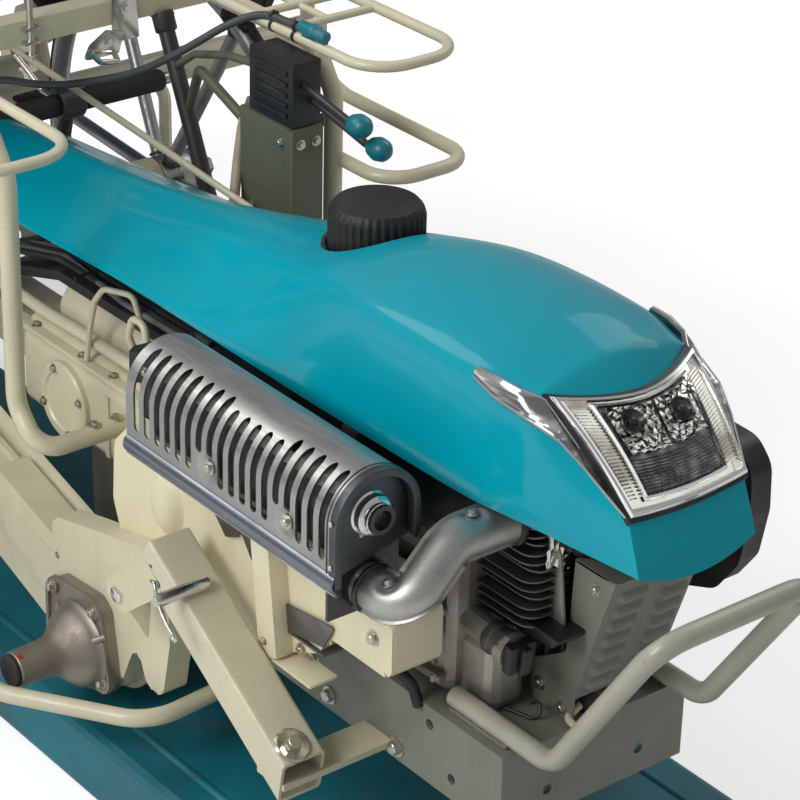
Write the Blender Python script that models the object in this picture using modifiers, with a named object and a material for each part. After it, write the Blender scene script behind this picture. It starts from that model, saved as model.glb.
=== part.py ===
"""Walk behind rice transplanter for four rows.

Blender 4.5, metres. +X is forward, +Y is the machine's left, +Z is up, and the floor is at zero.
"""

import math

import bmesh
import bpy
from mathutils import Matrix, Vector

# Driving dimensions

SEAT = 0.0003
FRONT_X = 0.985
REAR_X = -0.985
ROW_PITCH = 0.300
TRACK_HALF = 0.300
WHEEL_RADIUS = 0.300
PIVOT_X = 0.330
PIVOT_Z = 0.140
AXLE_X = -0.220
AXLE_Z = WHEEL_RADIUS
BED_TOP = 0.255
HOOD_LOW = 0.465

# Paints and bare surfaces: red, green, blue, roughness, metallic

CREAM = (0.72, 0.66, 0.46, 0.45, 0.0)
TEAL = (0.0, 0.33, 0.42, 0.18, 0.0)
FLOAT_TEAL = (0.0, 0.13, 0.19, 0.45, 0.0)
BLACK = (0.02, 0.02, 0.022, 0.5, 0.0)
ALUMINIUM = (0.45, 0.44, 0.42, 0.45, 1.0)
SILVER = (0.55, 0.55, 0.56, 0.35, 1.0)
STEEL = (0.42, 0.44, 0.47, 0.4, 1.0)
CHROME = (0.8, 0.8, 0.8, 0.08, 1.0)
CLEAR = (0.75, 0.8, 0.8, 0.05, 0.0)
RUBBER = (0.03, 0.03, 0.03, 0.8, 0.0)
TABLE_BLUE = (0.12, 0.35, 0.62, 0.4, 0.0)

RIGHT = -1
LEFT = 1
SIDES = ((RIGHT, "right"), (LEFT, "left"))
MERGE = 0.00005
ROUND_SEGMENTS = 16
TUBE_RESOLUTION = 2
BEND_STEPS = 4


def fresh_scene():
    for item in list(bpy.data.objects):
        bpy.data.objects.remove(item, do_unlink=True)
    for name in ("walk_behind_rice_transplanter", "cutters"):
        found = bpy.data.collections.get(name)
        if found:
            bpy.data.collections.remove(found)
    parts = bpy.data.collections.new("walk_behind_rice_transplanter")
    cutters = bpy.data.collections.new("cutters")
    cutters.hide_render = True
    bpy.context.scene.collection.children.link(parts)
    bpy.context.scene.collection.children.link(cutters)
    return parts, cutters


PARTS, CUTTERS = fresh_scene()


def finish_material(name, look):
    red, green, blue, roughness, metallic = look
    material = bpy.data.materials.new(name)
    material.use_nodes = True
    shader = material.node_tree.nodes["Principled BSDF"]
    shader.inputs["Base Color"].default_value = (red, green, blue, 1)
    shader.inputs["Roughness"].default_value = roughness
    shader.inputs["Metallic"].default_value = metallic
    material.diffuse_color = (red, green, blue, 1)
    return material


def from_bmesh(name, bm):
    bmesh.ops.remove_doubles(bm, verts=bm.verts, dist=MERGE)
    bmesh.ops.recalc_face_normals(bm, faces=bm.faces)
    mesh = bpy.data.meshes.new(name)
    bm.to_mesh(mesh)
    bm.free()
    shape = bpy.data.objects.new(name, mesh)
    CUTTERS.objects.link(shape)
    shape.display_type = "WIRE"
    shape.hide_render = True
    return shape


def publish(shape, name, look, origin=None):
    """Makes a built shape one of the part's nodes, with its origin on its joint axis."""
    CUTTERS.objects.unlink(shape)
    PARTS.objects.link(shape)
    shape.name = name
    shape.data.name = name
    shape.display_type = "TEXTURED"
    shape.hide_render = False
    shape.data.materials.clear()
    shape.data.materials.append(finish_material(name, look))
    if origin is not None:
        shape.data.transform(Matrix.Translation(-Vector(origin)))
        shape.location = origin
    return shape


def box(name, low, high):
    bm = bmesh.new()
    bmesh.ops.create_cube(bm, size=1)
    for vert in bm.verts:
        for axis in range(3):
            vert.co[axis] = high[axis] if vert.co[axis] > 0 else low[axis]
    return from_bmesh(name, bm)


def soften(shape, width, segments=2):
    rounded = shape.modifiers.new("edges", "BEVEL")
    rounded.width = width
    rounded.segments = segments
    rounded.limit_method = "ANGLE"
    return shape


def prism(name, outline, direction, start, stop):
    """Extrudes an outline along X, Y or Z. The outline is in the other two axes, in order."""
    bm = bmesh.new()
    others = [axis for axis in range(3) if axis != direction]
    rings = []
    for level in (start, stop):
        ring = []
        for first, second in outline:
            place = [0, 0, 0]
            place[direction] = level
            place[others[0]] = first
            place[others[1]] = second
            ring.append(bm.verts.new(place))
        rings.append(ring)
    bm.faces.new(rings[0])
    bm.faces.new(rings[1])
    count = len(outline)
    for index in range(count):
        after = (index + 1) % count
        bm.faces.new((rings[0][index], rings[0][after], rings[1][after], rings[1][index]))
    return from_bmesh(name, bm)


def bar(name, start, stop, radius, segments=ROUND_SEGMENTS, end_radius=None):
    """A round bar or cone from one point to another."""
    start = Vector(start)
    stop = Vector(stop)
    run = stop - start
    turn = run.to_track_quat("Z", "Y").to_matrix().to_4x4()
    bm = bmesh.new()
    bmesh.ops.create_cone(
        bm,
        cap_ends=True,
        segments=segments,
        radius1=radius,
        radius2=radius if end_radius is None else end_radius,
        depth=run.length,
    )
    bm.transform(Matrix.Translation((start + stop) / 2) @ turn)
    return from_bmesh(name, bm)


def lathe(name, profile, centre, segments=ROUND_SEGMENTS):
    """Turns a profile of (distance along Y, radius) about an axis along Y through the centre."""
    bm = bmesh.new()
    rings = []
    for along, radius in profile:
        ring = []
        for step in range(segments):
            angle = 2 * math.pi * step / segments
            x = centre[0] + radius * math.cos(angle)
            z = centre[2] + radius * math.sin(angle)
            ring.append(bm.verts.new((x, centre[1] + along, z)))
        rings.append(ring)
    for ring, after_ring in zip(rings, rings[1:]):
        for step in range(segments):
            after = (step + 1) % segments
            bm.faces.new((ring[step], ring[after], after_ring[after], after_ring[step]))
    bm.faces.new(rings[0])
    bm.faces.new(rings[-1])
    return from_bmesh(name, bm)


def rounded_path(points, bend):
    """Replaces each inner corner of a path by an arc of the bend radius."""
    points = [Vector(point) for point in points]
    path = [points[0]]
    for before, corner, after in zip(points, points[1:], points[2:]):
        towards = (before - corner).normalized()
        away = (after - corner).normalized()
        opening = towards.angle(away)
        reach = bend / math.tan(opening / 2)
        reach = min(reach, (before - corner).length / 2.05, (after - corner).length / 2.05)
        radius = reach * math.tan(opening / 2)
        middle = (towards + away).normalized()
        centre = corner + middle * (radius / math.sin(opening / 2))
        first = corner + towards * reach - centre
        last = corner + away * reach - centre
        sweep = first.angle(last)
        for step in range(BEND_STEPS + 1):
            share = step / BEND_STEPS
            arm = first * math.sin((1 - share) * sweep) + last * math.sin(share * sweep)
            path.append(centre + arm / math.sin(sweep))
    path.append(points[-1])
    return path


def tube(name, points, radius, bend, resolution=TUBE_RESOLUTION):
    """A bent round tube, solid inside, along straight runs joined by arcs."""
    path = rounded_path(points, bend)
    curve = bpy.data.curves.new(name, "CURVE")
    curve.dimensions = "3D"
    curve.bevel_depth = radius
    curve.bevel_resolution = resolution
    curve.use_fill_caps = True
    line = curve.splines.new("POLY")
    line.points.add(len(path) - 1)
    for point, place in zip(line.points, path):
        point.co = (place.x, place.y, place.z, 1)
    holder = bpy.data.objects.new(name, curve)
    bpy.context.scene.collection.objects.link(holder)
    graph = bpy.context.evaluated_depsgraph_get()
    mesh = bpy.data.meshes.new_from_object(holder.evaluated_get(graph))
    bm = bmesh.new()
    bm.from_mesh(mesh)
    bpy.data.objects.remove(holder, do_unlink=True)
    bpy.data.curves.remove(curve)
    bpy.data.meshes.remove(mesh)
    return from_bmesh(name, bm)


def combine(target, others, operation):
    for other in others:
        step = target.modifiers.new(operation.lower(), "BOOLEAN")
        step.operation = operation
        step.solver = "EXACT"
        step.object = other
    return target


def unite(target, *others):
    return combine(target, others, "UNION")


def cut(target, *others):
    return combine(target, others, "DIFFERENCE")


def gathered(name, shapes):
    """Puts separate shapes into one, to be united or cut in one step."""
    bm = bmesh.new()
    for shape in shapes:
        bm.from_mesh(shape.data)
        bpy.data.objects.remove(shape, do_unlink=True)
    return from_bmesh(name, bm)


def mirrored(points, side):
    return [(x, y * side, z) for x, y, z in points]


# Engine bed: a folded plate under the engine, open below

BED_REAR = 0.430
BED_FRONT = 0.828
BED_HALF = 0.100
BED_DEPTH = 0.075
BED_WALL = 0.004
BED_HOLE_RADIUS = 0.005
BED_SIDE_HOLES = ((0.735, 0.238), (0.765, 0.200))
BED_FRONT_HOLE_Y = 0.050
BED_FRONT_HOLE_Z = 0.205


def engine_bed():
    shell = box(
        "bed_outer",
        (BED_REAR, -BED_HALF, BED_TOP - BED_DEPTH),
        (BED_FRONT, BED_HALF, BED_TOP),
    )
    hollow = box(
        "bed_hollow",
        (BED_REAR - BED_WALL, -BED_HALF + BED_WALL, BED_TOP - 2 * BED_DEPTH),
        (BED_FRONT - BED_WALL, BED_HALF - BED_WALL, BED_TOP - BED_WALL),
    )
    holes = []
    for x, z in BED_SIDE_HOLES:
        holes.append(bar("hole", (x, -2 * BED_HALF, z), (x, 2 * BED_HALF, z), BED_HOLE_RADIUS, 10))
    for turn in (RIGHT, LEFT):
        y = turn * BED_FRONT_HOLE_Y
        start = (BED_FRONT - BED_DEPTH, y, BED_FRONT_HOLE_Z)
        stop = (BED_FRONT + BED_DEPTH, y, BED_FRONT_HOLE_Z)
        holes.append(bar("hole", start, stop, BED_HOLE_RADIUS, 10))
    cut(shell, hollow, gathered("bed_holes", holes))
    return publish(shell, "engine_bed", CREAM)


# Front bumper: one bent tube, its feet on top of the bed

BUMPER_RADIUS = 0.0092
BUMPER_HALF = 0.082
BUMPER_FOOT_X = 0.745
BUMPER_BEND_X = 0.868
BUMPER_TOP_Z = 0.428
BUMPER_BEND = 0.028
BUMPER_RESOLUTION = 3


def front_bumper():
    foot_z = BED_TOP + BUMPER_RADIUS + SEAT
    top_x = FRONT_X - BUMPER_RADIUS
    right = [
        (BUMPER_FOOT_X, -BUMPER_HALF, foot_z),
        (BUMPER_BEND_X, -BUMPER_HALF, foot_z),
        (top_x, -BUMPER_HALF, BUMPER_TOP_Z),
    ]
    left = [(x, -y, z) for x, y, z in reversed(right)]
    shape = tube("bumper", right + left, BUMPER_RADIUS, BUMPER_BEND, BUMPER_RESOLUTION)
    return publish(shape, "front_bumper", CREAM)


# Engine: crankcase with sump and oil filler, finned cylinder, black cover on the left

CRANKCASE_HALF = 0.085
CRANKCASE_LOW = (0.560, -CRANKCASE_HALF, BED_TOP + SEAT)
CRANKCASE_HIGH = (0.740, 0.080, 0.400)
CASE_ROUND = 0.018
SUMP_LOW = (0.700, -0.070, BED_TOP + SEAT)
SUMP_HIGH = (0.776, -0.032, 0.322)
SUMP_ROUND = 0.010
FILLER_START = (0.735, -0.062, 0.330)
FILLER_END = (0.794, -0.062, 0.324)
FILLER_RADIUS = 0.0125
FILLER_LIP = 0.0035
FIN_REAR = CRANKCASE_HIGH[0] + SEAT
FIN_FRONT = 0.806
FIN_HALF = 0.060
FIN_LOW = 0.345
FIN_HIGH = 0.468
FIN_COUNT = 9
FIN_THICK = 0.0026
FIN_CORE = 0.012


def engine_block():
    block = box("crankcase", CRANKCASE_LOW, CRANKCASE_HIGH)
    soften(block, CASE_ROUND, 3)
    sump = soften(box("sump", SUMP_LOW, SUMP_HIGH), SUMP_ROUND)
    filler = bar("filler", FILLER_START, FILLER_END, FILLER_RADIUS, 16)
    lip_start = (FILLER_END[0] - 3 * FILLER_LIP, FILLER_END[1], FILLER_END[2])
    lip = bar("filler_lip", lip_start, FILLER_END, FILLER_RADIUS + FILLER_LIP, 16)
    unite(block, sump, filler, lip)
    return publish(block, "engine_block", ALUMINIUM)


def engine_cylinder():
    core = box(
        "cylinder_core",
        (FIN_REAR, -FIN_HALF + FIN_CORE, FIN_LOW + FIN_CORE),
        (FIN_FRONT, FIN_HALF - FIN_CORE, FIN_HIGH - FIN_CORE),
    )
    run = FIN_FRONT - FIN_REAR
    fins = []
    for index in range(FIN_COUNT):
        at = FIN_REAR + FIN_THICK + (run - 3 * FIN_THICK) * index / (FIN_COUNT - 1)
        fins.append(box("fin", (at, -FIN_HALF, FIN_LOW), (at + FIN_THICK, FIN_HALF, FIN_HIGH)))
    unite(core, gathered("fins", fins))
    return publish(core, "engine_cylinder", ALUMINIUM)


COVER_INNER_LOW = (0.640, CRANKCASE_HIGH[1] + SEAT, 0.345)
COVER_INNER_HIGH = (0.800, 0.120, 0.452)
COVER_REAR = 0.640
COVER_FRONT = 0.876
COVER_START = 0.106
COVER_STOP = 0.132
# side view of the rounded cover, from its lower rear corner
COVER_OUTLINE = (
    (COVER_REAR, 0.335),
    (0.800, 0.335),
    (0.845, 0.352),
    (0.868, 0.385),
    (COVER_FRONT, 0.430),
    (0.874, 0.470),
    (0.856, 0.488),
    (0.720, 0.492),
    (0.665, 0.478),
    (COVER_REAR, 0.440),
)
COVER_ROUND = 0.009


def engine_cover():
    cover = prism("cover", COVER_OUTLINE, 1, COVER_START, COVER_STOP)
    soften(cover, COVER_ROUND, 2)
    inner = soften(box("cover_inner", COVER_INNER_LOW, COVER_INNER_HIGH), COVER_ROUND)
    unite(cover, inner)
    return publish(cover, "engine_cover", BLACK)


# Louvred shield in front of the cylinder

SHIELD_RIGHT = -0.022
SHIELD_LEFT = 0.074
SHIELD_LOW = (0.818, 0.277)
SHIELD_HIGH = (0.862, 0.408)
SHIELD_WALL = 0.003
SHIELD_RETURN = 0.046
SHIELD_TAB_X = 0.770
SHIELD_TAB_Z = 0.292
SHIELD_NOTCH = (0.811, 0.318)
LOUVRE_COUNT = 7
LOUVRE_DEEP = 0.0055
LOUVRE_EDGE = 0.012


def engine_shield():
    low = Vector((SHIELD_LOW[0], 0, SHIELD_LOW[1]))
    high = Vector((SHIELD_HIGH[0], 0, SHIELD_HIGH[1]))
    up = (high - low).normalized()
    out = Vector((up.z, 0, -up.x))
    front = prism(
        "shield_front",
        [(p.x, p.z) for p in (low, low + out * SHIELD_WALL, high + out * SHIELD_WALL, high)],
        1,
        SHIELD_RIGHT,
        SHIELD_LEFT,
    )
    top = box(
        "shield_top",
        (high.x - SHIELD_RETURN, SHIELD_RIGHT, high.z - SHIELD_WALL),
        (high.x + SHIELD_WALL / 2, SHIELD_LEFT, high.z),
    )
    flange = prism(
        "shield_flange",
        [
            (SHIELD_TAB_X, BED_TOP + SEAT),
            (BED_FRONT - 2 * SHIELD_WALL, BED_TOP + SEAT),
            (low.x + SHIELD_WALL, low.z),
            (high.x + SHIELD_WALL / 2, high.z),
            (high.x - SHIELD_RETURN, high.z),
            SHIELD_NOTCH,
            (SHIELD_TAB_X, SHIELD_TAB_Z),
        ],
        1,
        SHIELD_RIGHT,
        SHIELD_RIGHT + SHIELD_WALL,
    )
    louvres = []
    step = (high - low).length / (LOUVRE_COUNT + 1)
    for index in range(LOUVRE_COUNT):
        foot = low + up * step * (index + 1 / 2) + out * SHIELD_WALL / 2
        tip = foot + out * (LOUVRE_DEEP + SHIELD_WALL / 2) + up * step / 8
        head = foot + up * step * 3 / 4
        outline = [(p.x, p.z) for p in (foot, tip, head)]
        louvres.append(prism("louvre", outline, 1, SHIELD_RIGHT + LOUVRE_EDGE, SHIELD_LEFT - LOUVRE_EDGE))
    unite(front, top, flange, gathered("louvres", louvres))
    return publish(front, "engine_shield", CREAM)


# Muffler, its slotted guard, and the exhaust pipe

SIDE_COVER_TOP = 0.378
MUFFLER_REAR = 0.488
MUFFLER_FRONT = 0.745
MUFFLER_Y = -0.180
MUFFLER_Z = 0.474
MUFFLER_RADIUS = 0.0315
MUFFLER_DROP = 0.022
MUFFLER_STEPS = 10
END_PLATE_THICK = 0.003
END_PLATE_HALF = 0.0345
END_PLATE_LOW = 0.384
OUTLET_RADIUS = 0.0125
OUTLET_BORE = 0.0085
OUTLET_FRONT = 0.768
GUARD_RADIUS = 0.040
GUARD_WALL = 0.0022
GUARD_REAR = 0.474
GUARD_FRONT = 0.762
GUARD_LIP = 0.417
GUARD_BEAD = 0.0035
GUARD_BEAD_PITCH = 0.007
GUARD_STEPS = 10
GUARD_OPEN_TO = math.radians(165)
SLOT_FIRST_X = 0.4895
SLOT_PITCH = 0.0150
SLOT_HALF = 0.0031
SLOT_STEPS = 2
# slots in a group, height of their lower ends, height of their upper ends
GUARD_SLOTS = (
    (6, 0.443, 0.506),
    (2, 0.464, 0.506),
    (5, 0.443, 0.499),
    (2, 0.464, 0.506),
    (3, 0.443, 0.506),
)


def arch(half, low_z, top_centre_z, steps):
    """An upright outline across the machine, round at the top, as (across, height)."""
    outline = [(-half, low_z)]
    for step in range(steps + 1):
        angle = math.pi * (1 - step / steps)
        outline.append((half * math.cos(angle), top_centre_z + half * math.sin(angle)))
    outline.append((half, low_z))
    return [(MUFFLER_Y + y, z) for y, z in outline]


def muffler():
    outline = []
    for step in range(2 * MUFFLER_STEPS):
        angle = math.pi * step / MUFFLER_STEPS
        drop = MUFFLER_DROP if step > MUFFLER_STEPS else 0
        y = MUFFLER_Y + MUFFLER_RADIUS * math.cos(angle)
        outline.append((y, MUFFLER_Z - drop + MUFFLER_RADIUS * math.sin(angle)))
    can = prism("muffler_can", outline, 0, MUFFLER_REAR, MUFFLER_FRONT)
    soften(can, MUFFLER_RADIUS / 5)
    plate = prism(
        "muffler_plate",
        arch(END_PLATE_HALF, END_PLATE_LOW, MUFFLER_Z, MUFFLER_STEPS),
        0,
        MUFFLER_FRONT - END_PLATE_THICK,
        MUFFLER_FRONT,
    )
    centre = (MUFFLER_Y, MUFFLER_Z)
    outlet = bar("outlet", (MUFFLER_FRONT - OUTLET_RADIUS, *centre), (OUTLET_FRONT, *centre), OUTLET_RADIUS, 16)
    bore = bar("outlet_bore", (MUFFLER_FRONT, *centre), (2 * OUTLET_FRONT, *centre), OUTLET_BORE, 16)
    post = box(
        "muffler_post",
        (MUFFLER_REAR + MUFFLER_RADIUS, MUFFLER_Y + MUFFLER_RADIUS - 2 * BED_WALL, SIDE_COVER_TOP + SEAT),
        (MUFFLER_REAR + 2 * MUFFLER_RADIUS, MUFFLER_Y + MUFFLER_RADIUS, MUFFLER_Z),
    )
    unite(can, plate, outlet, post)
    cut(can, bore)
    return publish(can, "muffler", STEEL)


def slot_outline(middle, low, high):
    outline = []
    for centre_z, turn in ((low + SLOT_HALF, math.pi), (high - SLOT_HALF, 0)):
        for step in range(SLOT_STEPS + 1):
            angle = turn + math.pi * step / SLOT_STEPS
            outline.append((middle + SLOT_HALF * math.cos(angle), centre_z + SLOT_HALF * math.sin(angle)))
    return outline


def muffler_guard():
    side = MUFFLER_Y - GUARD_RADIUS
    profile = [
        (side, GUARD_LIP),
        (side, GUARD_LIP + GUARD_BEAD_PITCH / 2),
        (side - GUARD_BEAD, GUARD_LIP + GUARD_BEAD_PITCH),
        (side - GUARD_BEAD, GUARD_LIP + 3 / 2 * GUARD_BEAD_PITCH),
        (side, GUARD_LIP + 2 * GUARD_BEAD_PITCH),
    ]
    for step in range(GUARD_STEPS + 1):
        angle = GUARD_OPEN_TO * step / GUARD_STEPS
        profile.append((MUFFLER_Y - GUARD_RADIUS * math.cos(angle), MUFFLER_Z + GUARD_RADIUS * math.sin(angle)))
    bm = bmesh.new()
    rows = [[bm.verts.new((x, y, z)) for y, z in profile] for x in (GUARD_REAR, GUARD_FRONT)]
    for index in range(len(profile) - 1):
        bm.faces.new((rows[0][index], rows[0][index + 1], rows[1][index + 1], rows[1][index]))
    shell = from_bmesh("guard_shell", bm)
    wall = shell.modifiers.new("wall", "SOLIDIFY")
    wall.thickness = GUARD_WALL
    wall.offset = 0
    wall.use_even_offset = True
    slots = []
    at = SLOT_FIRST_X
    for count, low, high in GUARD_SLOTS:
        for index in range(count):
            slots.append(prism("slot", slot_outline(at, low, high), 1, 2 * side, MUFFLER_Y))
            at += SLOT_PITCH
    cut(shell, gathered("guard_slots", slots))
    for along in (MUFFLER_REAR + MUFFLER_RADIUS, MUFFLER_FRONT - MUFFLER_RADIUS):
        start = (along, MUFFLER_Y, MUFFLER_Z + MUFFLER_RADIUS + SEAT)
        stop = (along, MUFFLER_Y, MUFFLER_Z + GUARD_RADIUS)
        unite(shell, bar("guard_post", start, stop, BUMPER_RADIUS, 12))
    return publish(shell, "muffler_guard", SILVER)


PIPE_RADIUS = 0.0185
PIPE_BEND = 0.034
PIPE_PATH = (
    (MUFFLER_FRONT + SEAT, -0.176, 0.405),
    (0.792, -0.176, 0.405),
    (0.782, -0.122, 0.443),
    (0.782, -FIN_HALF - SEAT, 0.443),
)
PIPE_RESOLUTION = 6


def exhaust_pipe():
    shape = tube("pipe", PIPE_PATH, PIPE_RADIUS, PIPE_BEND, PIPE_RESOLUTION)
    return publish(shape, "exhaust_pipe", STEEL)


# Cream belt cover beside the bed, under the muffler, with a box end and a strut

SIDE_COVER_OUTER = -0.152
SIDE_COVER_INNER = -BED_HALF - SEAT
SIDE_COVER_ROUND = 0.010
# side view, from the lower rear corner
SIDE_COVER_OUTLINE = (
    (0.362, 0.240),
    (0.560, 0.240),
    (0.652, 0.284),
    (0.664, 0.306),
    (0.742, 0.306),
    (0.748, 0.314),
    (0.748, 0.362),
    (0.700, SIDE_COVER_TOP),
    (0.372, SIDE_COVER_TOP),
    (0.346, 0.350),
    (0.342, 0.290),
)
STRUT_THICK = 0.006
STRUT_OUTLINE = ((0.578, 0.360), (0.590, 0.278), (0.626, 0.284), (0.606, 0.362))


def side_cover():
    shape = prism("belt_cover", SIDE_COVER_OUTLINE, 1, SIDE_COVER_OUTER, SIDE_COVER_INNER)
    soften(shape, SIDE_COVER_ROUND, 3)
    start = SIDE_COVER_OUTER - STRUT_THICK
    strut = prism("cover_strut", STRUT_OUTLINE, 1, start, SIDE_COVER_OUTER + STRUT_THICK)
    unite(shape, strut)
    return publish(shape, "side_cover", CREAM)


# Hood: a shell over stations along X, its crown between two creases

HOOD_WALL = 0.003
# x, half width low, height low, half width at crease, height of crease, crown height
HOOD_STATIONS = (
    (-0.095, 0.082, 0.438, 0.030, 0.466, 0.475),
    (0.060, 0.090, 0.448, 0.026, 0.480, 0.488),
    (0.190, 0.097, 0.459, 0.024, 0.496, 0.504),
    (0.300, 0.100, HOOD_LOW, 0.030, 0.515, 0.521),
    (0.440, 0.101, HOOD_LOW, 0.051, 0.542, 0.551),
    (0.550, 0.102, HOOD_LOW, 0.073, 0.564, 0.584),
    (0.640, 0.101, HOOD_LOW, 0.088, 0.577, 0.603),
    (0.765, 0.098, HOOD_LOW, 0.089, 0.578, 0.606),
    (0.821, 0.090, HOOD_LOW, 0.080, 0.572, 0.594),
)
# x, half width and height of the nose corners, from the low edge up
NOSE_CORNERS = (
    (0.929, 0.061, 0.457),
    (0.912, 0.060, 0.501),
    (0.836, 0.068, 0.567),
)
NOSE_CROWN = (0.8297, 0.57247)
NOSE_DIP = 0.012
HOOD_TOP_STEPS = 4
CAP_HOLE_RADIUS = 0.047
CAP_X = 0.512
CAP_Y = 0.010


def hood_section(station):
    x, low_half, low_z, crease_half, crease_z, crown_z = station
    right = [(x, -low_half, low_z), (x, -(low_half + crease_half) / 2, (low_z + crease_z) / 2)]
    for step in range(HOOD_TOP_STEPS):
        angle = math.pi / 2 * step / HOOD_TOP_STEPS
        y = -crease_half * (1 - step / HOOD_TOP_STEPS)
        right.append((x, y, crease_z + (crown_z - crease_z) * math.sin(angle)))
    left = [(x, -y, z) for x, y, z in right[::-1]]
    return right + [(x, 0, crown_z)] + left


def nose_section():
    low, middle, high = NOSE_CORNERS
    right = [(low[0], -low[1], low[2]), (middle[0], -middle[1], middle[2])]
    for step in range(HOOD_TOP_STEPS):
        share = step / HOOD_TOP_STEPS
        rise = math.sin(math.pi / 2 * share)
        x = high[0] + (NOSE_CROWN[0] - high[0]) * rise
        right.append((x, -high[1] * (1 - share), high[2] + (NOSE_CROWN[1] - high[2]) * rise))
    left = [(x, -y, z) for x, y, z in right[::-1]]
    return right + [(NOSE_CROWN[0], 0, NOSE_CROWN[1])] + left


def hood():
    bm = bmesh.new()
    sections = [hood_section(station) for station in HOOD_STATIONS] + [nose_section()]
    rows = [[bm.verts.new(place) for place in section] for section in sections]
    for row, after_row in zip(rows, rows[1:]):
        for index in range(len(row) - 1):
            bm.faces.new((row[index], row[index + 1], after_row[index + 1], after_row[index]))
    nose = rows[-1]
    low_x, _, low_z = NOSE_CORNERS[0]
    dip = bm.verts.new((low_x, 0, low_z - NOSE_DIP))
    bm.faces.new((nose[0], nose[1], nose[-2], nose[-1], dip))
    bm.faces.new(nose[1:-1])
    shape = from_bmesh("hood_skin", bm)
    wall = shape.modifiers.new("wall", "SOLIDIFY")
    wall.thickness = HOOD_WALL
    wall.offset = -1
    wall.use_even_offset = True
    hole = bar("cap_hole", (CAP_X, CAP_Y, HOOD_LOW), (CAP_X, CAP_Y, 2 * HOOD_LOW), CAP_HOLE_RADIUS, 24)
    cut(shape, hole)
    return publish(shape, "hood", TEAL)


# Frame behind the engine: gear case, hood stay, spine, cross tube and rear beam

GEARBOX_LOW = (0.080, -0.085, 0.235)
GEARBOX_HIGH = (BED_REAR - SEAT, 0.085, 0.400)
GEARBOX_ROUND = 0.012
GEARBOX_STEP_Z = 0.352
GEARBOX_TOP_HALF = 0.062
GEARBOX_TOP_REAR = 0.110
BOSS_X = 0.160
BOSS_Z = 0.292
BOSS_RADIUS = 0.040
BOSS_OUT = 0.007
SPINE_HALF = 0.025
SPINE_HIGH = 0.300
SPINE_LOW = 0.250
CROSS_X = -0.555
CROSS_Z = (SPINE_LOW + SPINE_HIGH) / 2
CROSS_HALF_WIDTH = 0.640
CROSS_RADIUS = 0.021
AXLE_TUBE_RADIUS = 0.032


def gear_case():
    low = soften(
        box("gear_case_low", GEARBOX_LOW, (GEARBOX_HIGH[0], GEARBOX_HIGH[1], GEARBOX_STEP_Z)),
        GEARBOX_ROUND,
    )
    top = box(
        "gear_case_top",
        (GEARBOX_TOP_REAR, -GEARBOX_TOP_HALF, GEARBOX_STEP_Z - GEARBOX_ROUND),
        (GEARBOX_HIGH[0], GEARBOX_TOP_HALF, GEARBOX_HIGH[2]),
    )
    soften(top, GEARBOX_ROUND)
    reach = GEARBOX_HIGH[1] + BOSS_OUT
    boss = bar("gear_boss", (BOSS_X, -reach, BOSS_Z), (BOSS_X, reach, BOSS_Z), BOSS_RADIUS)
    unite(low, top, boss)
    return publish(low, "gear_case", CREAM)


# Fuel tank on its rails under the hood, its neck and cap through the top of the hood

STAY_REAR_X = 0.400
STAY_FRONT_X = 0.610
STAY_WIDE = 0.020
STAY_DEEP = 0.012
STAY_HALF = 0.100
STAY_DROP = 0.0009
STAY_REAR_DROP = 0.0026
TANK_SINK = 0.002
STAY_TOP = HOOD_LOW - STAY_DROP
STAY_REAR_TOP = HOOD_LOW - STAY_REAR_DROP
TANK_LOW = (0.430, -0.052, STAY_TOP - TANK_SINK)
TANK_HIGH = (0.600, 0.052, 0.512)
TANK_ROUND = 0.010
NECK_RADIUS = 0.030
NECK_TOP = 0.552
CAP_RADIUS = 0.042
CAP_TOP = 0.600
CAP_SHOULDER = 0.006


def fuel_tank():
    tank = soften(box("tank", TANK_LOW, TANK_HIGH), TANK_ROUND)
    start = (CAP_X, CAP_Y, TANK_HIGH[2] - TANK_ROUND)
    neck = bar("neck", start, (CAP_X, CAP_Y, NECK_TOP), NECK_RADIUS, 16)
    rail = box(
        "stay_rail",
        (STAY_REAR_X, -STAY_WIDE, STAY_TOP - STAY_DEEP),
        (STAY_FRONT_X + STAY_WIDE, STAY_WIDE, STAY_REAR_TOP),
    )
    unite(tank, neck, rail)
    for at, seat_z, top in (
        (STAY_REAR_X, GEARBOX_HIGH[2], STAY_REAR_TOP),
        (STAY_FRONT_X, CRANKCASE_HIGH[2], STAY_TOP),
    ):
        across = box("stay_across", (at, -STAY_HALF, top - STAY_DEEP / 2), (at + STAY_WIDE, STAY_HALF, top))
        post = box(
            "stay_post",
            (at, -STAY_WIDE, seat_z + SEAT),
            (at + STAY_WIDE, STAY_WIDE, STAY_REAR_TOP - STAY_DEEP / 2),
        )
        unite(tank, across, post)
    publish(tank, "fuel_tank", BLACK)
    cap = bar("cap", (CAP_X, CAP_Y, NECK_TOP + SEAT), (CAP_X, CAP_Y, CAP_TOP), CAP_RADIUS, 20)
    soften(cap, CAP_SHOULDER, 2)
    publish(cap, "fuel_cap", BLACK)


# Headlight, seated on the sloping nose

LAMP_THICK = 0.006
LENS_THICK = 0.003
LAMP_EDGE = 0.003


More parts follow.
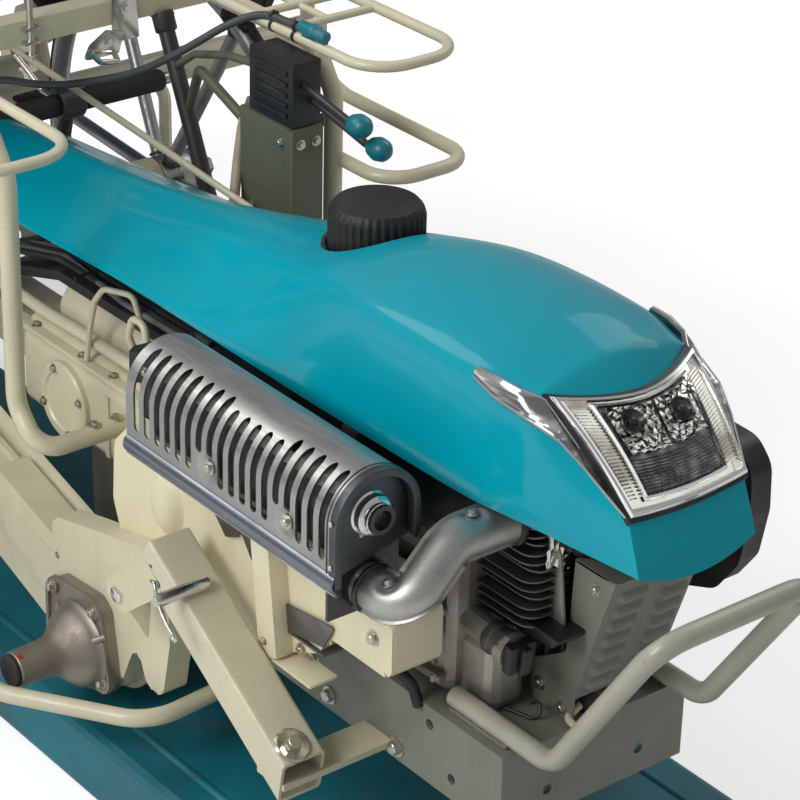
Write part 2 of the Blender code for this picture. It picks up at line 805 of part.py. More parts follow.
def nose_plate(name, start, thick, inset):
    """A plate parallel to the sloping part of the nose, at a distance in front of it."""
    low_x, low_half, low_z = NOSE_CORNERS[1]
    high_x, high_half, high_z = NOSE_CORNERS[2]
    low = Vector((low_x, 0, low_z))
    high = Vector((high_x, 0, high_z))
    up = (high - low).normalized()
    out = Vector((up.z, 0, -up.x))
    bm = bmesh.new()
    rings = []
    for level in (start, start + thick):
        ring = []
        for foot, half, shift, turn in (
            (low, low_half, inset, RIGHT),
            (low, low_half, inset, LEFT),
            (high, high_half, -inset, LEFT),
            (high, high_half, -inset, RIGHT),
        ):
            place = foot + up * shift + out * level
            ring.append(bm.verts.new((place.x, turn * (half - inset), place.z)))
        rings.append(ring)
    bm.faces.new(rings[0])
    bm.faces.new(rings[1])
    for index in range(len(rings[0])):
        after = (index + 1) % len(rings[0])
        bm.faces.new((rings[0][index], rings[0][after], rings[1][after], rings[1][index]))
    return from_bmesh(name, bm)


def headlight():
    body = nose_plate("lamp_body", 3 * SEAT, LAMP_THICK, LAMP_EDGE)
    soften(body, LAMP_THICK / 3)
    publish(body, "headlight_body", CHROME)
    lens = nose_plate("lamp_lens", LAMP_THICK + 4 * SEAT, LENS_THICK, 3 * LAMP_EDGE)
    publish(lens, "headlight_lens", CLEAR)


GUSSET_REACH = 0.110
FLOAT_TOP = 0.074
SIDE_FLOAT_INNER = 0.375
SIDE_FLOAT_OUTER = 0.560
FLOAT_STAY_RADIUS = 0.008
FLOAT_STAY_REACH = 0.062
MARKER_REACH = 0.090
MARKER_Y = CROSS_HALF_WIDTH + MARKER_REACH
MARKER_KNUCKLE = 0.016
MARKER_GAP = 0.006
CHEEK_THICK = 0.004


def main_frame():
    spine = box(
        "spine",
        (CROSS_X, -SPINE_HALF, SPINE_LOW),
        (GEARBOX_LOW[0] - SEAT, SPINE_HALF, SPINE_HIGH),
    )
    reach = MARKER_Y - MARKER_KNUCKLE - MARKER_GAP
    cross = bar("cross", (CROSS_X, -reach, CROSS_Z), (CROSS_X, reach, CROSS_Z), CROSS_RADIUS)
    gusset = prism(
        "gusset",
        [(CROSS_X, -GUSSET_REACH), (CROSS_X + GUSSET_REACH, 0), (CROSS_X, GUSSET_REACH)],
        2,
        CROSS_Z - BED_WALL,
        CROSS_Z + BED_WALL,
    )
    unite(spine, cross, gusset)
    for side, label in SIDES:
        middle = side * (SIDE_FLOAT_INNER + SIDE_FLOAT_OUTER) / 2
        stay = tube(
            "float_stay",
            [
                (CROSS_X, middle, CROSS_Z),
                (CROSS_X + FLOAT_STAY_REACH, middle, CROSS_Z),
                (CROSS_X + FLOAT_STAY_REACH, middle, FLOAT_TOP + SEAT),
            ],
            FLOAT_STAY_RADIUS,
            2 * FLOAT_STAY_RADIUS,
        )
        unite(spine, stay)
        start, stop = sorted((side * (MARKER_Y - MARKER_REACH / 2), side * (MARKER_Y + MARKER_KNUCKLE)))
        for turn in (-1, 1):
            gap = MARKER_KNUCKLE + 2 * SEAT
            near, far = sorted((turn * gap, turn * (gap + CHEEK_THICK)))
            cheek = box(
                "cheek",
                (CROSS_X + near, start, CROSS_Z - MARKER_KNUCKLE),
                (CROSS_X + far, stop, CROSS_Z + MARKER_KNUCKLE),
            )
            unite(spine, cheek)
    return publish(spine, "main_frame", CREAM)


# Swing cases: chain cases from the axle tube back to the wheels

CASE_INNER = 0.118
CASE_OUTER = 0.163
CASE_RADIUS = 0.050
HUB_RADIUS = 0.036
CASE_STEPS = 7
CASE_RIDGE = 0.006
WHEEL_HUB_HALF = 0.030
WHEEL_INNER = TRACK_HALF - WHEEL_HUB_HALF


STAY_FOOT_X = 0.105


def axle_tube():
    inner = CASE_INNER - SEAT
    tube_bar = bar("axle_bar", (PIVOT_X, -inner, PIVOT_Z), (PIVOT_X, inner, PIVOT_Z), AXLE_TUBE_RADIUS)
    hanger = box(
        "axle_hanger",
        (PIVOT_X - AXLE_TUBE_RADIUS, -SPINE_HALF, PIVOT_Z),
        (PIVOT_X + AXLE_TUBE_RADIUS, SPINE_HALF, GEARBOX_LOW[2] - SEAT),
    )
    stay = box(
        "centre_stay",
        (STAY_FOOT_X, -SPINE_HALF, FLOAT_TOP + SEAT),
        (STAY_FOOT_X + 2 * SPINE_HALF, SPINE_HALF, GEARBOX_LOW[2] - SEAT),
    )
    tie = box(
        "centre_tie",
        (STAY_FOOT_X + SPINE_HALF, -SPINE_HALF / 2, PIVOT_Z - SPINE_HALF / 2),
        (PIVOT_X, SPINE_HALF / 2, PIVOT_Z + SPINE_HALF / 2),
    )
    unite(tube_bar, hanger, stay, tie)
    return publish(tube_bar, "axle_tube", ALUMINIUM)


BRACKET_THICK = 0.008
# side view of the bracket plate, from below the pivot
BRACKET_OUTLINE = (
    (0.290, 0.110),
    (0.262, 0.180),
    (0.266, 0.236),
    (0.276, 0.246),
    (0.425, 0.282),
    (0.456, 0.272),
    (0.458, 0.200),
    (0.446, 0.142),
    (0.432, 0.134),
    (0.418, 0.142),
    (0.404, 0.176),
    (0.378, 0.120),
)
BRACKET_HOLE = ((0.366, 0.216), (0.430, 0.232), (0.424, 0.186), (0.410, 0.196))


def capsule(start, stop, start_radius, stop_radius, steps):
    """Side view of a long case, round at both ends, as (x, height)."""
    start = Vector((start[0], 0, start[1]))
    stop = Vector((stop[0], 0, stop[1]))
    along = (stop - start).normalized()
    across = Vector((-along.z, 0, along.x))
    outline = []
    for centre, radius, turn in ((start, start_radius, 1), (stop, stop_radius, -1)):
        for step in range(steps + 1):
            angle = math.pi * step / steps
            place = centre + (across * math.cos(angle) - along * math.sin(angle)) * radius * turn
            outline.append((place.x, place.z))
    return outline


def swing_case(side, label):
    ends = ((PIVOT_X, PIVOT_Z), (AXLE_X, AXLE_Z))
    start, stop = sorted((side * CASE_INNER, side * CASE_OUTER))
    shape = prism("swing_outer", capsule(*ends, CASE_RADIUS, HUB_RADIUS, CASE_STEPS), 1, start, stop)
    middle = side * (CASE_INNER + CASE_OUTER) / 2
    ridge = prism(
        "swing_ridge",
        capsule(*ends, CASE_RADIUS + CASE_RIDGE, HUB_RADIUS + CASE_RIDGE, CASE_STEPS),
        1,
        middle - CASE_RIDGE / 2,
        middle + CASE_RIDGE / 2,
    )
    start, stop = sorted((side * (CASE_OUTER - BRACKET_THICK / 2), side * (CASE_OUTER + BRACKET_THICK)))
    plate = prism("swing_plate", BRACKET_OUTLINE, 1, start, stop)
    hole = prism("swing_hole", BRACKET_HOLE, 1, start - BRACKET_THICK, stop + BRACKET_THICK)
    cut(plate, hole)
    nose = bar(
        "axle_nose",
        (AXLE_X, side * CASE_INNER, AXLE_Z),
        (AXLE_X, side * (WHEEL_INNER - 2 * SEAT), AXLE_Z),
        HUB_RADIUS / 2 + BRACKET_THICK,
    )
    unite(shape, ridge, plate, nose)
    return publish(shape, "swing_case_" + label, CREAM)


CAP_FLANGE_THICK = 0.011
CAP_FLANGE_OUTLINE = (
    (0.283, 0.092),
    (0.368, 0.104),
    (0.378, 0.116),
    (0.366, 0.190),
    (0.352, 0.200),
    (0.292, 0.194),
    (0.270, 0.180),
    (0.268, 0.112),
)
# distance from the flange along the snout, radius
CAP_PROFILE = (
    (0.0050, 0.043),
    (0.0160, 0.042),
    (0.0300, 0.035),
    (0.0420, 0.0215),
    (0.0480, 0.0185),
    (0.0840, 0.0170),
    (0.0840, 0.0140),
    (0.0900, 0.0140),
)


def pivot_cap(side, label):
    base = CASE_OUTER + BRACKET_THICK + SEAT
    profile = [(side * (base + along), radius) for along, radius in CAP_PROFILE]
    shape = lathe("cap", profile, (PIVOT_X, 0, PIVOT_Z))
    start, stop = sorted((side * base, side * (base + CAP_FLANGE_THICK)))
    unite(shape, prism("cap_flange", CAP_FLANGE_OUTLINE, 1, start, stop))
    return publish(shape, "pivot_cap_" + label, ALUMINIUM)


# Wheels: rim, spokes and hub in one weldment, rubber lugs round it

RIM_RADIUS = 0.244
RIM_TUBE = 0.011
RIM_STEPS = 24
RIM_AROUND = 6
SPOKE_COUNT = 6
SPOKE_RADIUS = 0.0075
SPOKE_DISH = 0.018
HUB_LENGTH_HALF = 0.030
WHEEL_HUB_RADIUS = 0.030
LUG_COUNT = 12
LUG_HALF_WIDTH = 0.032
LUG_THICK = 0.014


def ring(name, centre, radius, thick, steps=RIM_STEPS, around=RIM_AROUND):
    """A ring of round section about an axis along Y."""
    bm = bmesh.new()
    rows = []
    for step in range(steps):
        angle = 2 * math.pi * step / steps
        row = []
        for part in range(around):
            turn = 2 * math.pi * part / around
            reach = radius + thick * math.cos(turn)
            x = centre[0] + reach * math.cos(angle)
            z = centre[2] + reach * math.sin(angle)
            row.append(bm.verts.new((x, centre[1] + thick * math.sin(turn), z)))
        rows.append(row)
    for step in range(steps):
        row = rows[step]
        after_row = rows[(step + 1) % steps]
        for part in range(around):
            after = (part + 1) % around
            bm.faces.new((row[part], row[after], after_row[after], after_row[part]))
    return from_bmesh(name, bm)


def wheel(side, label):
    middle = (AXLE_X, side * TRACK_HALF, AXLE_Z)
    rim = ring("rim", middle, RIM_RADIUS, RIM_TUBE)
    hub = bar(
        "hub",
        (AXLE_X, side * (TRACK_HALF - HUB_LENGTH_HALF), AXLE_Z),
        (AXLE_X, side * (TRACK_HALF + HUB_LENGTH_HALF), AXLE_Z),
        WHEEL_HUB_RADIUS,
    )
    unite(rim, hub)
    for index in range(SPOKE_COUNT):
        angle = 2 * math.pi * index / SPOKE_COUNT
        away = Vector((math.cos(angle), 0, math.sin(angle)))
        inner = Vector(middle) + Vector((0, -side * SPOKE_DISH, 0))
        spoke = bar("spoke", inner, Vector(middle) + away * RIM_RADIUS, SPOKE_RADIUS, 8)
        unite(rim, spoke)
    publish(rim, "wheel_frame_" + label, STEEL, middle)
    tyre = ring("tyre", middle, RIM_RADIUS + RIM_TUBE + SEAT + RIM_TUBE / 2, RIM_TUBE / 2)
    lugs = []
    for index in range(LUG_COUNT):
        angle = 2 * math.pi * index / LUG_COUNT
        lug = prism(
            "lug",
            (
                (RIM_RADIUS + 3 / 2 * RIM_TUBE, -LUG_THICK / 2),
                (WHEEL_RADIUS, -LUG_THICK / 4),
                (WHEEL_RADIUS, LUG_THICK / 4),
                (RIM_RADIUS + 3 / 2 * RIM_TUBE, LUG_THICK / 2),
            ),
            1,
            -LUG_HALF_WIDTH,
            LUG_HALF_WIDTH,
        )
        lug.data.transform(Matrix.Translation(middle) @ Matrix.Rotation(-angle, 4, "Y"))
        lugs.append(lug)
    unite(tyre, gathered("lugs", lugs))
    publish(tyre, "wheel_lugs_" + label, RUBBER, middle)


# Lift link: square bar from the swing bracket forward and down to the bed

LINK_TOP = (0.500, 0.312)
LINK_LOW = (0.668, 0.206)
LINK_HALF = 0.019
LINK_INNER = CASE_OUTER + BRACKET_THICK + SEAT
LINK_WIDE = 0.044
LINK_OUTER = LINK_INNER + LINK_WIDE
LINK_PLATE = 0.006
LINK_PIN_X = 0.445
LINK_PIN_Z = 0.262
LINK_EYE_HALF = 0.016
LINK_FOOT_Z = 0.193


def lift_link(side, label):
    top = Vector((LINK_TOP[0], 0, LINK_TOP[1]))
    low = Vector((LINK_LOW[0], 0, LINK_LOW[1]))
    along = (low - top).normalized()
    across = Vector((-along.z, 0, along.x))
    corners = [
        top - along * LINK_HALF - across * LINK_HALF,
        low + along * LINK_HALF - across * LINK_HALF,
        low + along * LINK_HALF + across * LINK_HALF,
        top - along * LINK_HALF + across * LINK_HALF,
    ]
    start, stop = sorted((side * LINK_INNER, side * LINK_OUTER))
    shape = prism("link_bar", [(c.x, c.z) for c in corners], 1, start, stop)
    pin = bar(
        "link_pin",
        (LINK_PIN_X, side * LINK_INNER, LINK_PIN_Z),
        (LINK_PIN_X, side * LINK_OUTER, LINK_PIN_Z),
        LINK_PLATE,
        12,
    )
    eye_start, eye_stop = sorted((side * (LINK_OUTER - LINK_PLATE), side * LINK_OUTER))
    eye = prism(
        "link_eye",
        [
            (LINK_PIN_X - LINK_EYE_HALF, LINK_PIN_Z - LINK_EYE_HALF / 2),
            (LINK_PIN_X + LINK_EYE_HALF / 2, LINK_PIN_Z - LINK_EYE_HALF),
            (LINK_TOP[0] + LINK_EYE_HALF, LINK_TOP[1] - LINK_EYE_HALF),
            (LINK_TOP[0] - LINK_EYE_HALF / 2, LINK_TOP[1] + LINK_EYE_HALF / 2),
            (LINK_PIN_X - LINK_EYE_HALF, LINK_PIN_Z + LINK_EYE_HALF / 2),
        ],
        1,
        eye_start,
        eye_stop,
    )
    foot_start, foot_stop = sorted((side * (BED_HALF + SEAT), side * LINK_OUTER))
    foot = box(
        "link_foot",
        (LINK_LOW[0] - LINK_HALF, foot_start, LINK_FOOT_Z - LINK_PLATE / 2),
        (LINK_LOW[0] + LINK_HALF, foot_stop, LINK_FOOT_Z + LINK_PLATE / 2),
    )
    unite(shape, pin, eye, foot)
    return publish(shape, "lift_link_" + label, CREAM)


# Low bow tubes round the front of the swing cases

BOW_RADIUS = 0.0080
BOW_BEND = 0.050
BOW_CASE_X = 0.120
BOW_PATH = (
    (0.455, 0.094, BED_TOP - BED_DEPTH - SEAT),
    (0.455, 0.094, 0.132),
    (0.462, 0.196, 0.130),
    (0.330, 0.276, 0.124),
    (0.150, 0.262, 0.140),
    (BOW_CASE_X, 0.215, 0.197),
    (BOW_CASE_X, CASE_OUTER + SEAT, 0.197),
)


def bow_tube(side, label):
    shape = tube("bow", mirrored(BOW_PATH, side), BOW_RADIUS, BOW_BEND)
    return publish(shape, "bow_tube_" + label, CREAM)


# Floats

FLOAT_HALF = 0.205
FLOAT_FRONT = 0.940
FLOAT_REAR = -0.700
FLOAT_ROUND = 0.009
FLOAT_TAIL_HALF = 0.120
SIDE_FLOAT_FRONT = 0.020
FLOAT_UPTURN = 0.030


def float_outline(front, rear, top):
    """Side view of a float: flat sole, rounded and raised front."""
    return [
        (rear, 0),
        (front - 5 * FLOAT_UPTURN, 0),
        (front - 2 * FLOAT_UPTURN, FLOAT_UPTURN / 3),
        (front, 8 / 5 * FLOAT_UPTURN),
        (front - FLOAT_UPTURN / 2, top),
        (front - 3 * FLOAT_UPTURN, top),
        (rear + FLOAT_UPTURN, top),
        (rear, top / 2),
    ]


def floats():
    outline = float_outline(FLOAT_FRONT, FLOAT_REAR, FLOAT_TOP)
    centre = prism("centre", outline, 1, -FLOAT_HALF, FLOAT_HALF)
    for side, label in SIDES:
        start, stop = sorted((side * FLOAT_TAIL_HALF, side * 2 * FLOAT_HALF))
        notch = box("notch", (2 * FLOAT_REAR, start, -FLOAT_TOP), (SIDE_FLOAT_FRONT, stop, 2 * FLOAT_TOP))
        cut(centre, notch)
    soften(centre, FLOAT_ROUND)
    publish(centre, "centre_float", FLOAT_TEAL)
    for side, label in SIDES:
        start, stop = sorted((side * SIDE_FLOAT_INNER, side * SIDE_FLOAT_OUTER))
        shape = prism("side", float_outline(SIDE_FLOAT_FRONT, FLOAT_REAR, FLOAT_TOP), 1, start, stop)
        soften(shape, FLOAT_ROUND)
        publish(shape, "side_float_" + label, FLOAT_TEAL)


# Seedling racks beside the hood, their legs, and the low hoop on the left

RACK_Z = 0.620
RACK_FRONT = 0.315
RACK_REAR = -0.120
RACK_INNER = 0.158
RACK_OUTER = 0.268
RACK_WIRE = 0.0052
RACK_BEND = 0.042
RUNG_RADIUS = 0.0045
LEG_RADIUS = 0.0090
LEG_Y = 0.180
LEG_X = 0.226
LEG_TOP_BEND_X = 0.196
LEG_TOP_BEND_Z = 0.566
LEG_REAR = -0.060
LEG_LOW_Z = 0.345
LEG_FOOT_X = 0.262
LEG_FOOT_Z = 0.310
LEG_BEND = 0.030
HOOP_RADIUS = 0.0065
HOOP_BEND = 0.036
HOOP_PATH = (
    (LEG_X, 0.186, 0.500),
    (0.304, 0.186, 0.500),
    (0.304, 0.290, 0.500),
    (0.086, 0.290, 0.500),
    (0.064, RACK_OUTER, 0.548),
    (0.064, RACK_OUTER, RACK_Z),
)


def rack(side, label):
    loop = tube(
        "rack_loop",
        mirrored(
            [
                (RACK_REAR, RACK_INNER, RACK_Z),
                (RACK_FRONT, RACK_INNER, RACK_Z),
                (RACK_FRONT, RACK_OUTER, RACK_Z),
                (RACK_REAR, RACK_OUTER, RACK_Z),
            ],
            side,
        ),
        RACK_WIRE,
        RACK_BEND,
    )
    for at in (RACK_REAR + RACK_WIRE, (LEG_TOP_BEND_X + LEG_REAR) / 2, LEG_TOP_BEND_X - RACK_BEND / 2):
        start = (at, side * RACK_INNER, RACK_Z)
        stop = (at, side * RACK_OUTER, RACK_Z)
        unite(loop, bar("rung", start, stop, RUNG_RADIUS, 8))
    top_z = RACK_Z - RUNG_RADIUS / 2 - LEG_RADIUS
    leg = tube(
        "leg",
        mirrored(
            [
                (LEG_REAR, LEG_Y, top_z),
                (LEG_TOP_BEND_X, LEG_Y, top_z),
                (LEG_X, LEG_Y, LEG_TOP_BEND_Z),
                (LEG_X, LEG_Y, LEG_LOW_Z),
                (LEG_FOOT_X, LEG_Y, LEG_FOOT_Z),
                (LEG_FOOT_X, GEARBOX_HIGH[1] + SEAT, LEG_FOOT_Z),
            ],
            side,
        ),
        LEG_RADIUS,
        LEG_BEND,
        TUBE_RESOLUTION + 1,
    )
    unite(loop, leg)
    if side == LEFT:
        unite(loop, tube("hoop", HOOP_PATH, HOOP_RADIUS, HOOP_BEND))
    publish(loop, "seedling_rack_" + label, CREAM)


# Square beam across the machine, held under the rear ends of the legs

BEAM_X = -0.045
BEAM_HALF = 0.0125
BEAM_REACH = 0.480
BEAM_HIGH = RACK_Z - RUNG_RADIUS / 2 - 2 * LEG_RADIUS - SEAT


def rear_beam():
    beam = box(
        "beam",
        (BEAM_X - BEAM_HALF, -BEAM_REACH, BEAM_HIGH - 2 * BEAM_HALF),
        (BEAM_X + BEAM_HALF, BEAM_REACH, BEAM_HIGH),
    )
    return publish(beam, "rear_beam", CREAM)


# Box of the side clutch levers, on a bracket from the gear case

LEVER_BOX_LOW = (0.205, 0.125, 0.430)
LEVER_BOX_HIGH = (0.238, 0.150, 0.607)
LEVER_BOX_ROUND = 0.006
LEVER_FOOT_LOW = (0.208, GEARBOX_HIGH[1] + SEAT, 0.325)
LEVER_FOOT_HIGH = (0.234, 0.128, 0.340)
LEVER_POST_LOW = (0.208, 0.120, 0.325)


def lever_box():
    shape = soften(box("lever_box_body", LEVER_BOX_LOW, LEVER_BOX_HIGH), LEVER_BOX_ROUND)
    foot = box("lever_foot", LEVER_FOOT_LOW, LEVER_FOOT_HIGH)
    post = box(
        "lever_post",
        LEVER_POST_LOW,
        (LEVER_FOOT_HIGH[0], LEVER_FOOT_HIGH[1], LEVER_BOX_LOW[2] + LEVER_BOX_ROUND),
    )
    unite(shape, foot, post)
    return publish(shape, "lever_box", BLACK)


# Seedling table at the rear, on its rail

TABLE_HALF = 0.575
TABLE_TOP = (-0.150, 0.790)
TABLE_LOW = (-0.680, 0.365)
TABLE_WALL = 0.004
TABLE_RIB = 0.030
TABLE_ROWS = 4
RAIL_HALF = 0.012
RAIL_SPAN = 0.560
RAIL_LOW_INSET = 0.060
RAIL_HIGH_INSET = 0.090
STRUT_Y = 0.360
STRUT_RADIUS = 0.0095


def table_frame():
    top = Vector((TABLE_TOP[0], 0, TABLE_TOP[1]))
    low = Vector((TABLE_LOW[0], 0, TABLE_LOW[1]))
    along = (low - top).normalized()
    normal = Vector((along.z, 0, -along.x))
    if normal.z < 0:
        normal = -normal
    return top, low, along, normal


def seedling_table():
    top, low, along, normal = table_frame()
    length = (low - top).length
    outline = [(-TABLE_HALF, 0)]
    step = 2 * TABLE_HALF / TABLE_ROWS
    for index in range(TABLE_ROWS + 1):
        middle = -TABLE_HALF + step * index
        start = max(middle - TABLE_WALL / 2, -TABLE_HALF)
        stop = min(middle + TABLE_WALL / 2, TABLE_HALF)
        outline += [(start, TABLE_WALL), (start, TABLE_RIB), (stop, TABLE_RIB), (stop, TABLE_WALL)]
    outline.append((TABLE_HALF, 0))
    cleaned = []
    for point in outline:
        if point not in cleaned:
            cleaned.append(point)
    shape = prism("table_plate", cleaned, 0, 0, length)
    basis = Matrix((-along, Vector((0, 1, 0)), normal)).transposed().to_4x4()
    shape.data.transform(Matrix.Translation(low) @ basis)
    return publish(shape, "seedling_table", TABLE_BLUE)


def table_rail():
    top, low, along, normal = table_frame()
    middle = low - along * RAIL_LOW_INSET - normal * (RAIL_HALF + SEAT)
    upper = top + along * RAIL_HIGH_INSET - normal * (RAIL_HALF + SEAT)
    shape = bar("rail", middle + Vector((0, -RAIL_SPAN, 0)), middle + Vector((0, RAIL_SPAN, 0)), RAIL_HALF, 14)
    second = bar("rail_up", upper + Vector((0, -RAIL_SPAN, 0)), upper + Vector((0, RAIL_SPAN, 0)), RAIL_HALF, 14)
    unite(shape, second)
    for y in (-STRUT_Y, STRUT_Y):
        strut = bar("strut", middle + Vector((0, y, 0)), upper + Vector((0, y, 0)), STRUT_RADIUS, 10)
        foot_x = CROSS_X - CROSS_RADIUS - SEAT
        foot = box(
            "foot",
            (foot_x - RAIL_HALF, y - CROSS_RADIUS, CROSS_Z - CROSS_RADIUS),
            (foot_x, y + CROSS_RADIUS, CROSS_Z + CROSS_RADIUS),
        )
        post = bar(
            "post",
            middle + Vector((0, y, 0)),
            Vector((foot_x - RAIL_HALF, y, CROSS_Z)),
            STRUT_RADIUS,
            10,
        )
        unite(shape, strut, post, foot)
    return publish(shape, "table_rail", CREAM)


# Planting drive: two cases, each with a crank and two planting arms

PLANT_Y = 0.300
PLANT_CASE_HALF = 0.024
PLANT_CASE_RADIUS = 0.036
PLANT_END_RADIUS = 0.029
CRANK_X = -0.770
CRANK_Z = 0.235
CRANK_THROW = 0.035
CRANK_SHAFT = 0.010
CRANK_PIN = 0.008
CRANK_DISC = 0.048
CRANK_DISC_THICK = 0.008
ARM_Y = 0.150
ARM_HALF = 0.012


def planting_case(side, label):
    start = (CROSS_X - CROSS_RADIUS - PLANT_CASE_RADIUS - SEAT, CROSS_Z)
    outline = capsule(start, (CRANK_X, CRANK_Z), PLANT_CASE_RADIUS, PLANT_END_RADIUS, CASE_STEPS)
    middle = side * PLANT_Y
    shape = prism("plant_case", outline, 1, middle - PLANT_CASE_HALF, middle + PLANT_CASE_HALF)
    bore = bar(
        "plant_bore",
        (CRANK_X, middle - 2 * PLANT_CASE_HALF, CRANK_Z),
        (CRANK_X, middle + 2 * PLANT_CASE_HALF, CRANK_Z),
        CRANK_SHAFT + 3 * SEAT,
    )
    cut(shape, bore)
    return publish(shape, "planting_case_" + label, CREAM)


def crank(side, label):
    middle = side * PLANT_Y
    reach = ARM_Y - ARM_HALF - 2 * SEAT
    shape = bar("shaft", (CRANK_X, middle - reach, CRANK_Z), (CRANK_X, middle + reach, CRANK_Z), CRANK_SHAFT)
    for turn in (-1, 1):
        inner = middle + turn * (reach - CRANK_DISC_THICK)
        outer = middle + turn * reach
        web = bar("web", (CRANK_X, inner, CRANK_Z), (CRANK_X, outer, CRANK_Z), CRANK_DISC)
        pin = bar(
            "pin",
            (CRANK_X, inner, CRANK_Z + CRANK_THROW),
            (CRANK_X, outer + turn * (2 * ARM_HALF + 4 * SEAT), CRANK_Z + CRANK_THROW),
            CRANK_PIN,
            16,
        )
        unite(shape, web, pin)
    return publish(shape, "crank_" + label, STEEL, (CRANK_X, middle, CRANK_Z))


# side view of a planting arm about its pin
ARM_OUTLINE = (
    (0.055, 0.030),
    (0.020, 0.050),
    (-0.020, 0.030),
    (-0.052, -0.040),
    (-0.060, -0.095),
    (-0.056, -0.152),
    (-0.046, -0.100),
    (-0.034, -0.060),
    (0.000, -0.026),
    (0.050, 0.005),
)
FORK_HALF = 0.004
FORK_GAP_LOW = -0.200
FORK_GAP_HIGH = -0.080


def planting_arm(middle, label):
    pin_z = CRANK_Z + CRANK_THROW
    outline = [(CRANK_X + x, pin_z + z) for x, z in ARM_OUTLINE]
    shape = prism("arm", outline, 1, middle - ARM_HALF, middle + ARM_HALF)
    bore = bar(
        "arm_bore",
        (CRANK_X, middle - 2 * ARM_HALF, pin_z),
        (CRANK_X, middle + 2 * ARM_HALF, pin_z),
        CRANK_PIN + 3 * SEAT,
        16,
    )
    gap = box(
        "fork_gap",
        (CRANK_X + FORK_GAP_LOW, middle - FORK_HALF, pin_z + FORK_GAP_LOW),
        (CRANK_X, middle + FORK_HALF, pin_z + FORK_GAP_HIGH),
    )
    cut(shape, bore, gap)
    return publish(shape, "planting_arm_" + label, ALUMINIUM, (CRANK_X, middle, pin_z))


# Handlebar with grips and levers, and the control panel across it

HANDLE_RADIUS = 0.0125
HANDLE_IN = 0.075
HANDLE_OUT = 0.280
HANDLE_TOP = 0.890
HANDLE_BEND = 0.060
HANDLE_LOW_X = -0.815
HANDLE_HIGH_X = -0.885
HANDLE_HIGH_Z = 0.700
GRIP_RADIUS = 0.0165
GRIP_START = 0.100
GRIP_STOP = 0.215
LEVER_OUT = 0.262
LEVER_IN = 0.130
LEVER_REACH = 0.030
LEVER_RADIUS = 0.0045
PANEL_Z = 0.775
PANEL_THICK = 0.024
PANEL_FRONT = -0.800
PANEL_HALF = 0.130
PANEL_ROUND = 0.008


def handle_x(z):
    """How far back the sloping side tubes of the handle are at a height."""
    share = (z - HANDLE_HIGH_Z) / (HANDLE_TOP - HANDLE_HIGH_Z)
    return HANDLE_HIGH_X + (REAR_X + GRIP_RADIUS - HANDLE_HIGH_X) * share


def handlebar():
    top_x = REAR_X + GRIP_RADIUS
    right = [
        (CROSS_X - CROSS_RADIUS - SEAT, -HANDLE_IN, CROSS_Z - HANDLE_RADIUS),
        (HANDLE_LOW_X, -HANDLE_IN, CROSS_Z - HANDLE_RADIUS),
        (HANDLE_HIGH_X, -HANDLE_OUT, HANDLE_HIGH_Z),
        (top_x, -HANDLE_OUT, HANDLE_TOP),
    ]
    left = [(x, -y, z) for x, y, z in reversed(right)]
    shape = tube("handle", right + left, HANDLE_RADIUS, HANDLE_BEND)
    across_x = handle_x(PANEL_Z)
    rail = bar("panel_rail", (across_x, -HANDLE_OUT, PANEL_Z), (across_x, HANDLE_OUT, PANEL_Z), HANDLE_RADIUS / 2, 10)
    unite(shape, rail)
    for turn in (RIGHT, LEFT):
        start = (top_x, turn * GRIP_START, HANDLE_TOP)
        stop = (top_x, turn * GRIP_STOP, HANDLE_TOP)
        grip = bar("grip", start, stop, GRIP_RADIUS, 14)
        lever = tube(
            "lever",
            [
                (top_x, turn * LEVER_OUT, HANDLE_TOP - HANDLE_RADIUS / 2),
                (top_x + LEVER_REACH, turn * (LEVER_OUT - LEVER_REACH / 2), HANDLE_TOP),
                (top_x + LEVER_REACH, turn * LEVER_IN, HANDLE_TOP),
            ],
            LEVER_RADIUS,
            LEVER_REACH / 2,
        )
        unite(shape, grip, lever)
    panel = box(
        "panel",
        (across_x - PANEL_THICK, -PANEL_HALF, PANEL_Z),
        (PANEL_FRONT, PANEL_HALF, PANEL_Z + PANEL_THICK),
    )
    unite(shape, soften(panel, PANEL_ROUND))
    return publish(shape, "handlebar", BLACK)


# Line markers, folded up beside the table

MARKER_RADIUS = 0.007
MARKER_LENGTH = 0.560


def marker(side, label):
    foot = (CROSS_X, side * MARKER_Y, CROSS_Z)
    rod = bar("marker_rod", foot, (CROSS_X, side * MARKER_Y, CROSS_Z + MARKER_LENGTH), MARKER_RADIUS, 12)
    knuckle = bar(
        "marker_knuckle",
        (CROSS_X - MARKER_KNUCKLE, side * MARKER_Y, CROSS_Z),
        (CROSS_X + MARKER_KNUCKLE, side * MARKER_Y, CROSS_Z),
        MARKER_KNUCKLE,
        16,
    )
    unite(rod, knuckle)
    return publish(rod, "marker_" + label, STEEL, foot)


engine_bed()
front_bumper()
engine_block()
engine_cylinder()
engine_cover()
engine_shield()
muffler()
muffler_guard()
exhaust_pipe()
side_cover()
hood()
fuel_tank()
headlight()
gear_case()
main_frame()
rear_beam()
axle_tube()
floats()
lever_box()
seedling_table()
table_rail()
handlebar()
for side, label in SIDES:
    swing_case(side, label)
    pivot_cap(side, label)
    wheel(side, label)
    lift_link(side, label)
    bow_tube(side, label)
    rack(side, label)
    planting_case(side, label)
    crank(side, label)
    planting_arm(side * (PLANT_Y - ARM_Y), label + "_inner")
    planting_arm(side * (PLANT_Y + ARM_Y), label + "_outer")
    marker(side, label)
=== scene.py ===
import math
import bmesh
import bpy
from mathutils import Matrix, Vector


